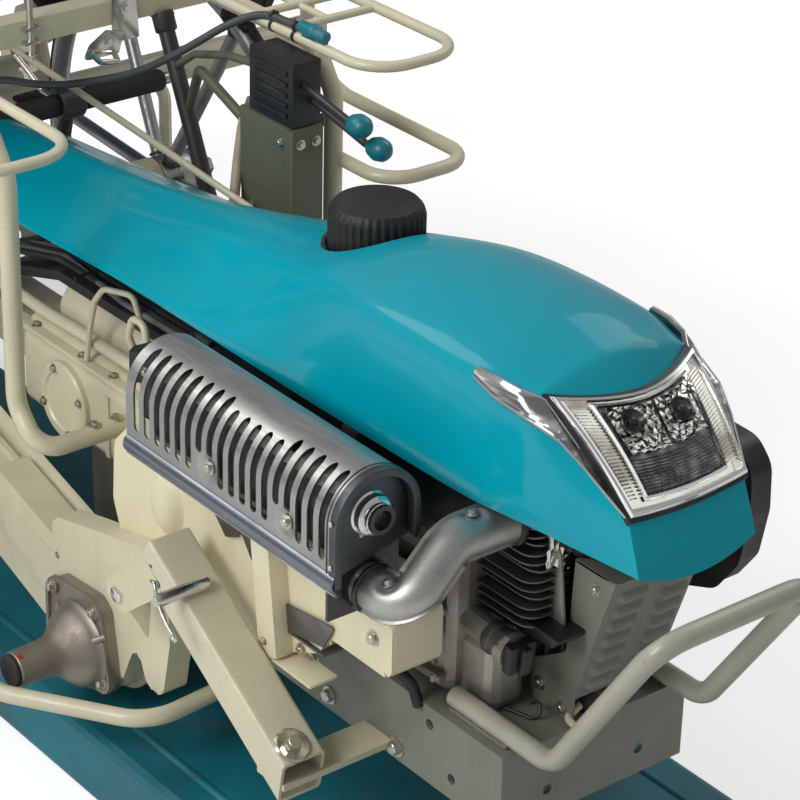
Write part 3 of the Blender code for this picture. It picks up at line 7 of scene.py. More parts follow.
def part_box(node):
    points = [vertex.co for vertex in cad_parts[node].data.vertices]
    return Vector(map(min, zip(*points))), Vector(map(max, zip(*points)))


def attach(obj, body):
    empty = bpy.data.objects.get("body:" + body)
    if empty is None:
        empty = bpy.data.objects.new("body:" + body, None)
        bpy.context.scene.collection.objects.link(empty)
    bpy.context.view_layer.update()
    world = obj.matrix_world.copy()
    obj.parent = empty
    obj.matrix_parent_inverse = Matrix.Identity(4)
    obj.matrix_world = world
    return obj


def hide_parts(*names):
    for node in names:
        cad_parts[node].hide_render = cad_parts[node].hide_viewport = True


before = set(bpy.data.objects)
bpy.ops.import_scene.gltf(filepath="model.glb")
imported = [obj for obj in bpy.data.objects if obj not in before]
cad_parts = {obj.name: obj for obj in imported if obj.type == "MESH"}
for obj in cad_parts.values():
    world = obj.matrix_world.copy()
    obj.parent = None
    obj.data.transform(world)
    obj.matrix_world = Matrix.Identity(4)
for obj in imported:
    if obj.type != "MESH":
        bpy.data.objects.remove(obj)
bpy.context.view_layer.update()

# The view: a long lens from the machine's front right and from above, so that it looks down on the hood,
# the lamp and the muffler guard.
EYE_PLACE = (2.27312, -1.37636, 1.57925)
EYE_TURN = (
    (0.617625, -0.37506, 0.691281),
    (0.786174, 0.270206, -0.555804),
    (0.021672, 0.886746, 0.461749),
)
lens = bpy.data.cameras.new("view")
lens.lens = 130.5
lens.sensor_width = 36
lens.clip_end = 50
eye = bpy.data.objects.new("view", lens)
bpy.context.scene.collection.objects.link(eye)
eye.matrix_world = Matrix.Translation(EYE_PLACE) @ Matrix(EYE_TURN).to_4x4()
bpy.context.scene.camera = eye
bpy.context.scene.view_settings.view_transform = "Standard"

# The studio: a pale floor that keeps the machine's shadow, a white surround that metal and lamp glass
# mirror, and three soft lamps at a plain level.
LAMPS = (
    ((0.5, -2.7, 2.3), 1.5, 62),
    ((-1.6, -1.4, 2.6), 1.6, 26),
    ((0.2, 2.3, 2.6), 2.0, 22),
)
for number, (place, side, watts) in enumerate(LAMPS):
    soft_box = bpy.data.lights.new(f"soft_box_{number}", "AREA")
    soft_box.energy = watts
    soft_box.size = side
    holder = bpy.data.objects.new(f"soft_box_{number}", soft_box)
    bpy.context.scene.collection.objects.link(holder)
    holder.location = place
    holder.rotation_euler = (Vector((0.1, 0, 0.35)) - Vector(place)).to_track_quat("-Z", "Y").to_euler()

surround = bpy.data.worlds.new("surround")
bpy.context.scene.world = surround
surround.use_nodes = True
sky = surround.node_tree
paths = sky.nodes.new("ShaderNodeLightPath")
seen = sky.nodes.new("ShaderNodeMath")
seen.operation = "MAXIMUM"
sky.links.new(paths.outputs["Is Camera Ray"], seen.inputs[0])
sky.links.new(paths.outputs["Is Transmission Ray"], seen.inputs[1])
level = sky.nodes.new("ShaderNodeMix")
level.data_type = "FLOAT"
level.inputs[2].default_value = 0.34
level.inputs[3].default_value = 1.0
sky.links.new(seen.outputs[0], level.inputs[0])
sky.links.new(level.outputs[0], sky.nodes["Background"].inputs["Strength"])
sky.nodes["Background"].inputs["Color"].default_value = (1, 1, 1, 1)

FLOOR_REACH = 30
floor_mesh = bpy.data.meshes.new("floor")
corners = [
    (-FLOOR_REACH, -FLOOR_REACH, 0), (FLOOR_REACH, -FLOOR_REACH, 0), (FLOOR_REACH, FLOOR_REACH, 0),
    (-FLOOR_REACH, FLOOR_REACH, 0),
]
floor_mesh.from_pydata(corners, [], [(0, 1, 2, 3)])
floor = bpy.data.objects.new("floor", floor_mesh)
bpy.context.scene.collection.objects.link(floor)
floor_look = bpy.data.materials.new("floor_paper")
floor_look.use_nodes = True
floor_tree = floor_look.node_tree
paper = floor_tree.nodes["Principled BSDF"]
paper.inputs["Base Color"].default_value = (0.86, 0.86, 0.86, 1)
paper.inputs["Roughness"].default_value = 0.9
glow = floor_tree.nodes.new("ShaderNodeLightPath")
paper.inputs["Emission Color"].default_value = (1, 1, 1, 1)
lift = floor_tree.nodes.new("ShaderNodeMath")
lift.operation = "MULTIPLY"
lift.inputs[1].default_value = 0.45
floor_tree.links.new(glow.outputs["Is Camera Ray"], lift.inputs[0])
floor_tree.links.new(lift.outputs[0], paper.inputs["Emission Strength"])
floor_mesh.materials.append(floor_look)


# Engine bed: folded steel plate that carries the engine, in cream enamel painted darker and greener as painted
# shade, with dust patches. Its open lower side shows the fold, and flanged bolts hold it to the frame.
class Tone:
    """A value in a finish. A sum written with it adds the finish's Math nodes."""

    def __init__(self, finish, socket):
        self.finish = finish
        self.socket = socket

    def sum(self, operation, first, second):
        return self.finish.node("ShaderNodeMath", {"operation": operation}, {0: first, 1: second})

    def __add__(self, other):
        return self.sum("ADD", self, other)

    def __radd__(self, other):
        return self.sum("ADD", other, self)

    def __sub__(self, other):
        return self.sum("SUBTRACT", self, other)

    def __rsub__(self, other):
        return self.sum("SUBTRACT", other, self)

    def __mul__(self, other):
        return self.sum("MULTIPLY", self, other)

    def __rmul__(self, other):
        return self.sum("MULTIPLY", other, self)


class Finish:
    """One painted, cast, plated or moulded surface, as nodes, and the slot that its pieces take."""

    slot = None

    def __init__(self, name, roughness, metallic=0, coat=0):
        self.material = bpy.data.materials.new(name)
        self.material.use_nodes = True
        self.tree = self.material.node_tree
        self.shader = self.tree.nodes["Principled BSDF"]
        self.shader.inputs["Roughness"].default_value = roughness
        self.shader.inputs["Metallic"].default_value = metallic
        self.shader.inputs["Coat Weight"].default_value = coat
        self.shader.inputs["Coat Roughness"].default_value = 0.06
        self.place = self.node("ShaderNodeTexCoord", {}, {}, "Object")

    def node(self, kind, settings, values, output=0):
        made = self.tree.nodes.new(kind)
        for setting, value in settings.items():
            if setting == "stops":
                for stop, (at, colour) in zip(made.color_ramp.elements, value):
                    stop.position = at
                    stop.color = (*colour, 1)
            else:
                setattr(made, setting, value)
        for socket, value in values.items():
            if isinstance(value, Tone):
                self.tree.links.new(value.socket, made.inputs[socket])
            else:
                made.inputs[socket].default_value = value
        return Tone(self, made.outputs[output])

    def stretched(self, scale):
        return self.node("ShaderNodeMapping", {}, {"Vector": self.place, "Scale": scale})

    def noise(self, scale, detail=3, place=None):
        return self.node(
            "ShaderNodeTexNoise", {}, {"Vector": place or self.place, "Scale": scale, "Detail": detail},
        )

    def between(self, tone, low, high, start=0, stop=1):
        values = {"Value": tone, "From Min": low, "From Max": high, "To Min": start, "To Max": stop}
        return self.node("ShaderNodeMapRange", {"clamp": True}, values)

    def blend(self, factor, first, second):
        values = {
            0: factor, 6: first if isinstance(first, Tone) else (*first, 1),
            7: second if isinstance(second, Tone) else (*second, 1),
        }
        return self.node("ShaderNodeMix", {"data_type": "RGBA"}, values, 2)

    def height(self):
        return self.node("ShaderNodeSeparateXYZ", {}, {0: self.place}, 2)

    def feed(self, socket, tone):
        self.tree.links.new(tone.socket, self.shader.inputs[socket])

    def relief(self, tone, distance, strength=1):
        bump = self.node("ShaderNodeBump", {}, {"Height": tone, "Distance": distance, "Strength": strength})
        self.feed("Normal", bump)


def enamel(name, colour, dusty, roughness, coat, dust=0.5):
    """Sprayed paint: a slight orange peel, broad patches of dust and a few fine specks."""
    look = Finish(name, roughness, 0, coat)
    patches = look.between(look.noise(7, 5), 0.42, 0.72)
    specks = look.between(look.noise(310, 2), 0.66, 0.74)
    streaks = look.between(look.noise(26, 4, look.stretched((1, 1, 0.25))), 0.5, 0.75)
    dirt = look.between(patches * 0.6 + streaks * 0.4, 0, 1, 0, dust)
    mixed = look.blend(dirt, colour, dusty)
    look.feed("Base Color", look.blend(specks * (0.5 * dust), mixed, (0.16, 0.14, 0.11)))
    look.feed("Roughness", look.between(dirt + specks * 0.3, 0, 1, roughness, min(roughness + 0.35, 0.9)))
    look.relief(look.noise(240, 2) * 0.6 + specks * 0.4, 0.00012)
    look.slot = "cream_paint"
    return look


cream = enamel("cream_enamel", (0.63, 0.59, 0.415), (0.41, 0.38, 0.27), 0.34, 0.2, 0.6)
# A darker, greener copy of the cream enamel: painted shade, with dust patches, for the bed, the bumper welds and
# the louvred shield.
shaded_cream = enamel("shaded_cream_enamel", (0.185, 0.195, 0.155), (0.115, 0.12, 0.095), 0.4, 0.12, 0.8)


def dress(finish, *nodes):
    """Gives CAD nodes a finish in place of their plain material."""
    for node in nodes:
        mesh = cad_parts[node].data
        for slot in range(len(mesh.materials)):
            mesh.materials[slot] = finish.material


def finished(name, bm, finish, edge=0, smooth=38, steps=2, body="chassis"):
    """Turns a built shape into a piece of the machine: edges rounded, sides smooth, riding on its body."""
    bmesh.ops.remove_doubles(bm, verts=bm.verts, dist=0.00001)
    bmesh.ops.recalc_face_normals(bm, faces=bm.faces)
    if edge:
        sharp = [e for e in bm.edges if len(e.link_faces) == 2 and e.calc_face_angle() > math.radians(30)]
        bmesh.ops.bevel(
            bm, geom=sharp, offset=edge, segments=steps, profile=0.6, affect="EDGES", clamp_overlap=True,
        )
    mesh = bpy.data.meshes.new(name)
    bm.to_mesh(mesh)
    bm.free()
    mesh.shade_smooth()
    mesh.set_sharp_from_angle(angle=math.radians(smooth))
    mesh.materials.append(finish.material)
    shape = bpy.data.objects.new(name, mesh)
    bpy.context.scene.collection.objects.link(shape)
    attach(shape, body)
    return shape


def screws(name, places, finish, sides=6, socket=0.0, washer=1.45, high=0.75, body="chassis"):
    """Screws by Geometry Nodes: one head with its washer set on every point, turned to face outwards.
    places are rows of point, outward direction and head radius. It realizes them into a plain mesh."""
    mesh = bpy.data.meshes.new(name)
    mesh.from_pydata([point for point, out, size in places], [], [])
    mesh.attributes.new("facing", "FLOAT_VECTOR", "POINT")
    mesh.attributes.new("size", "FLOAT", "POINT")
    for index, (point, out, size) in enumerate(places):
        mesh.attributes["facing"].data[index].vector = out
        mesh.attributes["size"].data[index].value = size
    holder = bpy.data.objects.new(name, mesh)
    bpy.context.scene.collection.objects.link(holder)
    tree = bpy.data.node_groups.new(name, "GeometryNodeTree")
    face = tree.interface
    face.new_socket("Geometry", in_out="INPUT", socket_type="NodeSocketGeometry")
    washer_input = face.new_socket("Washer", in_out="INPUT", socket_type="NodeSocketFloat").identifier
    high_input = face.new_socket("High", in_out="INPUT", socket_type="NodeSocketFloat").identifier
    face.new_socket("Geometry", in_out="OUTPUT", socket_type="NodeSocketGeometry")

    def add(kind, **values):
        made = tree.nodes.new(kind)
        for key, value in values.items():
            setattr(made, key, value)
        return made

    given = add("NodeGroupInput")
    given_out = add("NodeGroupOutput")
    join = add("GeometryNodeJoinGeometry")

    def disc(count, radius, depth, level, top=None):
        cone = add("GeometryNodeMeshCone")
        cone.inputs["Vertices"].default_value = count
        if isinstance(radius, float):
            cone.inputs["Radius Bottom"].default_value = radius
            cone.inputs["Radius Top"].default_value = radius if top is None else top
        else:
            tree.links.new(radius, cone.inputs["Radius Bottom"])
            tree.links.new(radius, cone.inputs["Radius Top"])
        if isinstance(depth, float):
            cone.inputs["Depth"].default_value = depth
        else:
            tree.links.new(depth, cone.inputs["Depth"])
        move = add("GeometryNodeTransform")
        move.inputs["Translation"].default_value = (0, 0, level)
        tree.links.new(cone.outputs["Mesh"], move.inputs["Geometry"])
        tree.links.new(move.outputs["Geometry"], join.inputs["Geometry"])

    disc(20, given.outputs["Washer"], 0.24, -0.02)
    disc(sides, 1.0, given.outputs["High"], 0.2)
    disc(sides if sides > 6 else 12, 0.86, 0.1, 0.2 + high - 0.02, 0.74)
    if socket:
        disc(6, socket, 0.02, 0.2 + high + 0.075)
    instance = add("GeometryNodeInstanceOnPoints")
    points = add("GeometryNodeMeshToPoints")
    facing_node = add("GeometryNodeInputNamedAttribute", data_type="FLOAT_VECTOR")
    facing_node.inputs["Name"].default_value = "facing"
    size_node = add("GeometryNodeInputNamedAttribute", data_type="FLOAT")
    size_node.inputs["Name"].default_value = "size"
    turn = add("FunctionNodeAlignRotationToVector", axis="Z")
    realize = add("GeometryNodeRealizeInstances")
    coat = add("GeometryNodeSetMaterial")
    coat.inputs["Material"].default_value = finish.material
    tree.links.new(given.outputs["Geometry"], points.inputs["Mesh"])
    tree.links.new(points.outputs["Points"], instance.inputs["Points"])
    tree.links.new(join.outputs["Geometry"], instance.inputs["Instance"])
    tree.links.new(facing_node.outputs["Attribute"], turn.inputs["Vector"])
    tree.links.new(turn.outputs["Rotation"], instance.inputs["Rotation"])
    tree.links.new(size_node.outputs["Attribute"], instance.inputs["Scale"])
    tree.links.new(instance.outputs["Instances"], realize.inputs["Geometry"])
    tree.links.new(realize.outputs["Geometry"], coat.inputs["Geometry"])
    tree.links.new(coat.outputs["Geometry"], given_out.inputs["Geometry"])
    worker = holder.modifiers.new("screws", "NODES")
    worker.node_group = tree
    worker[washer_input] = float(washer)
    worker[high_input] = float(high)
    made = bpy.data.meshes.new_from_object(holder.evaluated_get(bpy.context.evaluated_depsgraph_get()))
    bpy.data.objects.remove(holder, do_unlink=True)
    made.name = name
    bm = bmesh.new()
    bm.from_mesh(made)
    bpy.data.meshes.remove(made)
    return finished(name, bm, finish, body=body)


def metal(name, colour, dark, roughness, grain, depth, stretch=(1, 1, 1), spots=0.4):
    """Bare or plated metal: its grain, darker stains and pits in random patches, and a broken shine."""
    look = Finish(name, roughness, 1)
    fine = look.noise(grain, 3, look.stretched(stretch))
    stains = look.between(look.noise(18, 5), 0.48, 0.72)
    pits = look.between(look.noise(grain * 0.35, 2), 0.6, 0.72)
    colours = look.blend(look.between(stains + pits * 0.5, 0, 1, 0, spots), colour, dark)
    look.feed("Base Color", colours)
    look.feed(
        "Roughness", look.between(fine + stains * 0.4, 0.3, 1.1, roughness * 0.75, min(roughness * 1.5, 0.9)),
    )
    look.relief(fine, depth)
    look.slot = "steel"
    return look


zinc = metal("zinc_plated_steel", (0.62, 0.6, 0.52), (0.3, 0.27, 0.2), 0.3, 400, 0.00004)
dress(shaded_cream, "engine_bed")
SIDE_OUT = (0, -1, 0)
bed_low, bed_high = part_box("engine_bed")
BED_BOLTS = (
    (0.693, 0.193, 0.0066),
    (0.599, 0.195, 0.006),
    (0.577, 0.224, 0.005),
    (0.47, 0.23, 0.005),
)
screws(
    "bed_bolts",
    [((x, bed_low.y, z), SIDE_OUT, size) for x, z, size in BED_BOLTS]
    + [((x, bed_high.y, z), (0, 1, 0), size) for x, z, size in BED_BOLTS],
    zinc,
)


# Front bumper: one bent steel tube in cream enamel that rises from the bed and leans forward; its cream is
# painted darker and greyer as painted shade. Its feet are welded to the bed along a narrow plate.
def rounded_path(points, bend, steps=8):
    points = [Vector(point) for point in points]
    path = [points[0]]
    for before, corner, after in zip(points, points[1:], points[2:]):
        towards = (before - corner).normalized()
        away = (after - corner).normalized()
        opening = towards.angle(away)
        if opening > math.radians(178):
            path.append(corner)
            continue
        reach = min(
            bend / math.tan(opening / 2), (before - corner).length / 2.05, (after - corner).length / 2.05,
        )
        radius = reach * math.tan(opening / 2)
        centre = corner + (towards + away).normalized() * (radius / math.sin(opening / 2))
        first = corner + towards * reach - centre
        last = corner + away * reach - centre
        sweep = first.angle(last)
        for step in range(steps + 1):
            share = step / steps
            arm = first * math.sin((1 - share) * sweep) + last * math.sin(share * sweep)
            path.append(centre + arm / math.sin(sweep))
    path.append(points[-1])
    return path


def skin(bm, rows, closed=True, capped=True):
    """Faces between neighbouring rows of points, right round each row or only along it."""
    around = len(rows[0]) if closed else len(rows[0]) - 1
    for row, after_row in zip(rows, rows[1:]):
        for step in range(around):
            after = (step + 1) % len(row)
            bm.faces.new((row[step], row[after], after_row[after], after_row[step]))
    if capped:
        bm.faces.new(rows[0])
        bm.faces.new(rows[-1])


def swept(bm, path, radius, sides=16, closed=False):
    """A round bar along a path. Its ring is carried from point to point without twisting."""
    count = len(path)
    runs = []
    for index in range(count):
        before = path[index - 1] if index or closed else path[index]
        after = path[(index + 1) % count] if index < count - 1 or closed else path[index]
        runs.append((after - before).normalized())
    side = runs[0].orthogonal().normalized()
    rings = []
    for index, (place, run) in enumerate(zip(path, runs)):
        if index:
            side = (side - run * side.dot(run)).normalized()
        other = run.cross(side)
        size = radius[index] if isinstance(radius, (list, tuple)) else radius
        turns = [2 * math.pi * step / sides for step in range(sides)]
        rings.append([
            bm.verts.new(place + (side * math.cos(turn) + other * math.sin(turn)) * size)
            for turn in turns
        ])
    skin(bm, rings + rings[:1] if closed else rings, capped=not closed)
    return bm


def tube(name, points, radius, bend, finish, sides=16, closed=False, body="chassis"):
    bm = swept(bmesh.new(), rounded_path(points, bend), radius, sides, closed)
    return finished(name, bm, finish, smooth=50, body=body)


BUMPER_HALF = 0.082
bumper_points = [
    (0.745, -BUMPER_HALF, 0.2645), (0.868, -BUMPER_HALF, 0.2645), (0.9758, -BUMPER_HALF, 0.428),
    (0.9758, BUMPER_HALF, 0.428), (0.868, BUMPER_HALF, 0.2645), (0.745, BUMPER_HALF, 0.2645),
]
# The bumper's enamel is a darker, greyer copy of the cream: painted shade.
shaded_bumper_cream = enamel("shaded_bumper_enamel", (0.4, 0.395, 0.305), (0.24, 0.24, 0.185), 0.32, 0.25, 0.6)
bumper = tube("bumper_tube", bumper_points, 0.0092, 0.03, shaded_bumper_cream, 24)
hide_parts("front_bumper")
weld_runs = []
for side in (-1, 1):
    for edge in (-1, 1):
        along = [
            Vector((
                0.748 + 0.004 * step, side * BUMPER_HALF + edge * (0.0072 + 0.0006 * math.sin(step * 2.1)),
                0.2562,
            ))
            for step in range(19)
        ]
        weld_runs.append(along)
bm = bmesh.new()
for along in weld_runs:
    swept(bm, along, [0.0016 + 0.0006 * (step % 2) for step in range(len(along))], 8)
# The weld beads take the bed's darker cream: painted shade.
finished("bumper_welds", bm, shaded_cream)


# Crankcase: die-cast aluminium, sand-grey and matt, with a ribbed flange, small flange bolts and a plastic
# oil filler tube with a square cap at its front corner.
def cast(name, colour, stain, roughness=0.5, depth=0.0002):
    """Cast metal left as it came from the mould: pebbled skin, oil stains and a dull shine."""
    look = Finish(name, roughness, 0.85)
    skin = look.noise(520, 3)
    lumps = look.noise(90, 3)
    stains = look.between(look.noise(14, 6), 0.45, 0.68)
    look.feed("Base Color", look.blend(stains * 0.75, colour, stain))
    look.feed(
        "Roughness", look.between(skin + stains * 0.5, 0.2, 1.2, roughness * 0.8, min(roughness * 1.5, 0.9)),
    )
    look.relief(skin * 0.5 + lumps * 0.5, depth)
    look.slot = "cast_aluminium"
    return look


def moulded(name, colour, dusty, roughness, grain=700, depth=0.00006, coat=0):
    """Moulded plastic or rubber: a fine grain, with dust in random patches."""
    look = Finish(name, roughness, 0, coat)
    dust = look.between(look.noise(22, 5), 0.5, 0.8)
    fine = look.noise(grain, 2)
    look.feed("Base Color", look.blend(dust * 0.6, colour, dusty))
    look.feed("Roughness", look.between(dust + fine * 0.4, 0, 1.4, roughness, min(roughness + 0.35, 0.95)))
    look.relief(fine, depth)
    look.slot = "black_plastic"
    return look


def block(low, high):
    """A box between two corners, to be rounded or joined by the piece that uses it."""
    bm = bmesh.new()
    bmesh.ops.create_cube(bm, size=1)
    for vert in bm.verts:
        for axis in range(3):
            vert.co[axis] = high[axis] if vert.co[axis] > 0 else low[axis]
    return bm


def turned(bm, profile, centre, out, segments=32):
    """Turns a profile of (distance along, radius) about an axis through the centre, pointing out."""
    turn = Vector(out).normalized().to_track_quat("Z", "Y").to_matrix()
    rings = []
    for along, radius in profile:
        ring = []
        for step in range(segments):
            angle = 2 * math.pi * step / segments
            local = Vector((radius * math.cos(angle), radius * math.sin(angle), along))
            ring.append(bm.verts.new(Vector(centre) + turn @ local))
        rings.append(ring)
    skin(bm, rings)
    return bm


def gather(bm, *others):
    """Adds other built shapes to one, so that like pieces make one mesh."""
    for other in others:
        holder = bpy.data.meshes.new("gathered")
        other.to_mesh(holder)
        other.free()
        bm.from_mesh(holder)
        bpy.data.meshes.remove(holder)
    return bm


aluminium = cast("cast_aluminium", (0.42, 0.4, 0.36), (0.16, 0.13, 0.095))
dark_casting = cast("sooty_casting", (0.16, 0.155, 0.15), (0.05, 0.045, 0.04), 0.55)
black_plastic = moulded("black_plastic", (0.012, 0.012, 0.013), (0.055, 0.052, 0.048), 0.38)
dark_steel = metal("dark_steel", (0.22, 0.22, 0.225), (0.08, 0.06, 0.045), 0.42, 300, 0.00005)
dress(aluminium, "engine_block")
dress(dark_casting, "engine_cylinder")
CASE_SIDE = -0.085
bm = bmesh.new()
for step in range(6):
    rib_x = 0.59 + 0.026 * step
    gather(bm, block((rib_x, CASE_SIDE - 0.004, 0.286), (rib_x + 0.004, CASE_SIDE + 0.001, 0.386)))
gather(bm, block((0.575, CASE_SIDE - 0.007, 0.274), (0.735, CASE_SIDE + 0.001, 0.281)))
gather(bm, block((0.575, CASE_SIDE - 0.007, 0.338), (0.735, CASE_SIDE + 0.001, 0.344)))
turned(
    bm, ((0, 0.027), (0.006, 0.026), (0.007, 0.018), (0.004, 0.0165), (0.004, 0.006), (0.009, 0.0055)),
    (0.7, CASE_SIDE, 0.345), SIDE_OUT,
)
finished("crankcase_ribs", bm, aluminium, 0.0012)
bm = bmesh.new()
for step in range(5):
    rib_y = -0.024 + 0.018 * step
    gather(bm, block((0.7395, rib_y, 0.262), (0.748, rib_y + 0.0035, 0.34)))
gather(bm, block((0.7395, -0.07, 0.33), (0.752, 0.072, 0.337)))
turned(bm, ((0, 0.024), (0.008, 0.023), (0.009, 0.013), (0.006, 0.012)), (0.74, 0.03, 0.3), (1, 0, 0))
finished("crankcase_front_ribs", bm, aluminium, 0.0012)
CASE_SCREWS = [((x, CASE_SIDE - 0.007, z), SIDE_OUT, 0.0038) for x, z in (
    (0.583, 0.2775), (0.622, 0.2775), (0.662, 0.2775), (0.728, 0.2775), (0.583, 0.341), (0.622, 0.341),
    (0.66, 0.341),
)]
CASE_SCREWS += [((0.752, y, 0.3335), (1, 0, 0), 0.0036) for y in (-0.06, -0.02, 0.018, 0.058)]
screws("crankcase_screws", CASE_SCREWS, zinc)
FILLER_START = Vector((0.735, -0.062, 0.33))
FILLER_END = Vector((0.794, -0.062, 0.324))
filler_run = (FILLER_END - FILLER_START).normalized()
bm = turned(
    bmesh.new(),
    (
        (0.03, 0.0132), (0.033, 0.015), (0.038, 0.015), (0.04, 0.0134), (0.046, 0.0134), (0.048, 0.0154),
        (0.052, 0.0154), (0.0545, 0.0134),
    ),
    FILLER_START, filler_run,
)
finished("oil_filler_rings", bm, dark_casting)
cap_turn = filler_run.to_track_quat("Z", "Y").to_matrix()
bm = block((-0.0135, -0.0135, 0), (0.0135, 0.0135, 0.01))
gather(bm, block((-0.0045, -0.0125, 0.009), (0.0045, 0.0125, 0.0165)))
bm.transform(Matrix.Translation(FILLER_START + filler_run * 0.0595) @ cap_turn.to_4x4())
finished("oil_filler_cap", bm, black_plastic, 0.0022)
tube(
    "breather_hose",
    [
        (0.742, 0.045, 0.372), (0.765, 0.052, 0.372), (0.772, 0.06, 0.33), (0.752, 0.0665, 0.292),
        (0.7398, 0.0665, 0.288),
    ],
    0.0045, 0.016, black_plastic,
)


# Cylinder: thin cooling fins with rounded corners round a dark barrel, a spark plug with its black cap and
# lead, and bright foil tape on the plug's shroud.
FIN_ROOT = (0.7415, -0.0597, 0.345)
FIN_TIP = (0.8058, 0.0597, 0.468)


def rounded(outline, radius, steps=4):
    """Rounds the corners of a closed flat outline."""
    flat = [Vector((a, b, 0)) for a, b in outline]
    made = []
    for index, corner in enumerate(flat):
        before = flat[index - 1]
        after = flat[(index + 1) % len(flat)]
        bend = radius[index] if isinstance(radius, (list, tuple)) else radius
        if bend:
            towards = (before - corner).normalized()
            away = (after - corner).normalized()
            opening = towards.angle(away)
            reach = min(
                bend / math.tan(opening / 2), (before - corner).length / 2.05, (after - corner).length / 2.05,
            )
            for step in range(steps + 1):
                share = step / steps
                start = corner + towards * reach
                stop = corner + away * reach
                point = start * (1 - share) ** 2 + corner * 2 * share * (1 - share) + stop * share ** 2
                made.append((point.x, point.y))
        else:
            made.append((corner.x, corner.y))
    return made


def plate(outline, direction, start, stop):
    """Stamps an outline out of sheet between two levels along X, Y or Z."""
    bm = bmesh.new()
    others = [axis for axis in range(3) if axis != direction]
    rings = []
    for level in (start, stop):
        ring = []
        for first, second in outline:
            place = [0, 0, 0]
            place[direction] = level
            place[others[0]] = first
            place[others[1]] = second
            ring.append(bm.verts.new(place))
        rings.append(ring)
    bm.faces.new(rings[0])
    bm.faces.new(rings[1])
    for index in range(len(outline)):
        after = (index + 1) % len(outline)
        bm.faces.new((rings[0][index], rings[0][after], rings[1][after], rings[1][index]))
    return bm


def ribs(name, outline, direction, places, thick, finish, swell=None, body="chassis"):
    """Like plates at even places by Geometry Nodes: one stamped outline set along a line and realized.
    swell gives each plate its own share of the full size."""
    sample = plate(outline, direction, -thick / 2, thick / 2)
    bmesh.ops.recalc_face_normals(sample, faces=sample.faces)
    pattern = bpy.data.meshes.new(name)
    sample.to_mesh(pattern)
    sample.free()
    pattern_holder = bpy.data.objects.new(name + "_pattern", pattern)
    bpy.context.scene.collection.objects.link(pattern_holder)
    line = bpy.data.meshes.new(name)
    line.from_pydata([tuple(place) for place in places], [], [])
    share = line.attributes.new("swell", "FLOAT_VECTOR", "POINT")
    for index in range(len(places)):
        share.data[index].vector = swell[index] if swell else (1, 1, 1)
    holder = bpy.data.objects.new(name, line)
    bpy.context.scene.collection.objects.link(holder)
    tree = bpy.data.node_groups.new(name, "GeometryNodeTree")
    tree.interface.new_socket("Geometry", in_out="INPUT", socket_type="NodeSocketGeometry")
    pattern_input = tree.interface.new_socket(
        "Plate", in_out="INPUT", socket_type="NodeSocketObject",
    ).identifier
    tree.interface.new_socket("Geometry", in_out="OUTPUT", socket_type="NodeSocketGeometry")
    given = tree.nodes.new("NodeGroupInput")
    made_out = tree.nodes.new("NodeGroupOutput")
    info = tree.nodes.new("GeometryNodeObjectInfo")
    points = tree.nodes.new("GeometryNodeMeshToPoints")
    instance = tree.nodes.new("GeometryNodeInstanceOnPoints")
    size = tree.nodes.new("GeometryNodeInputNamedAttribute")
    size.data_type = "FLOAT_VECTOR"
    size.inputs["Name"].default_value = "swell"
    realize = tree.nodes.new("GeometryNodeRealizeInstances")
    coat = tree.nodes.new("GeometryNodeSetMaterial")
    coat.inputs["Material"].default_value = finish.material
    tree.links.new(given.outputs["Plate"], info.inputs["Object"])
    tree.links.new(given.outputs["Geometry"], points.inputs["Mesh"])
    tree.links.new(points.outputs["Points"], instance.inputs["Points"])
    tree.links.new(info.outputs["Geometry"], instance.inputs["Instance"])
    tree.links.new(size.outputs["Attribute"], instance.inputs["Scale"])
    tree.links.new(instance.outputs["Instances"], realize.inputs["Geometry"])
    tree.links.new(realize.outputs["Geometry"], coat.inputs["Geometry"])
    tree.links.new(coat.outputs["Geometry"], made_out.inputs["Geometry"])
    worker = holder.modifiers.new("ribs", "NODES")
    worker.node_group = tree
    worker[pattern_input] = pattern_holder
    made = bpy.data.meshes.new_from_object(holder.evaluated_get(bpy.context.evaluated_depsgraph_get()))
    for spare in (holder, pattern_holder):
        bpy.data.objects.remove(spare, do_unlink=True)
    bm = bmesh.new()
    bm.from_mesh(made)
    bpy.data.meshes.remove(made)
    return finished(name, bm, finish, body=body)


fin_half_x = (FIN_TIP[0] - FIN_ROOT[0]) / 2
fin_middle = ((FIN_TIP[0] + FIN_ROOT[0]) / 2, 0)
fin_outline = rounded(
    ((-fin_half_x, FIN_ROOT[1]), (fin_half_x, FIN_ROOT[1]), (fin_half_x, FIN_TIP[1]), (-fin_half_x, FIN_TIP[1])),
    (0, 0.018, 0.018, 0), 6,
)
FIN_COUNT = 15
fin_places = [
    (*fin_middle, FIN_ROOT[2] + (FIN_TIP[2] - FIN_ROOT[2]) * (step + 0.5) / FIN_COUNT)
    for step in range(FIN_COUNT)
]
fin_swell = [(1, 1 - 0.1 * abs(math.sin(step * 1.3)) * (step % 3 == 0), 1) for step in range(FIN_COUNT)]
fins = ribs("cooling_fins", fin_outline, 2, fin_places, 0.0016, dark_casting, fin_swell)
bm = gather(
    bmesh.new(),
    block((0.7408, -0.044, 0.3452), (0.79, 0.044, 0.4672)),
    block((0.785, -0.026, 0.372), (0.8005, 0.026, 0.452)),
)
barrel = finished("cylinder_barrel", bm, dark_casting, 0.005)
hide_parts("engine_cylinder")
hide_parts("engine_cylinder")
foil = metal("bright_foil", (0.8, 0.79, 0.74), (0.4, 0.38, 0.34), 0.12, 120, 0.0009, spots=0.2)
foil.slot = "bright_chrome"
bm = bmesh.new()
FOIL_ROWS = 9
FOIL_COLUMNS = 12
grid = []
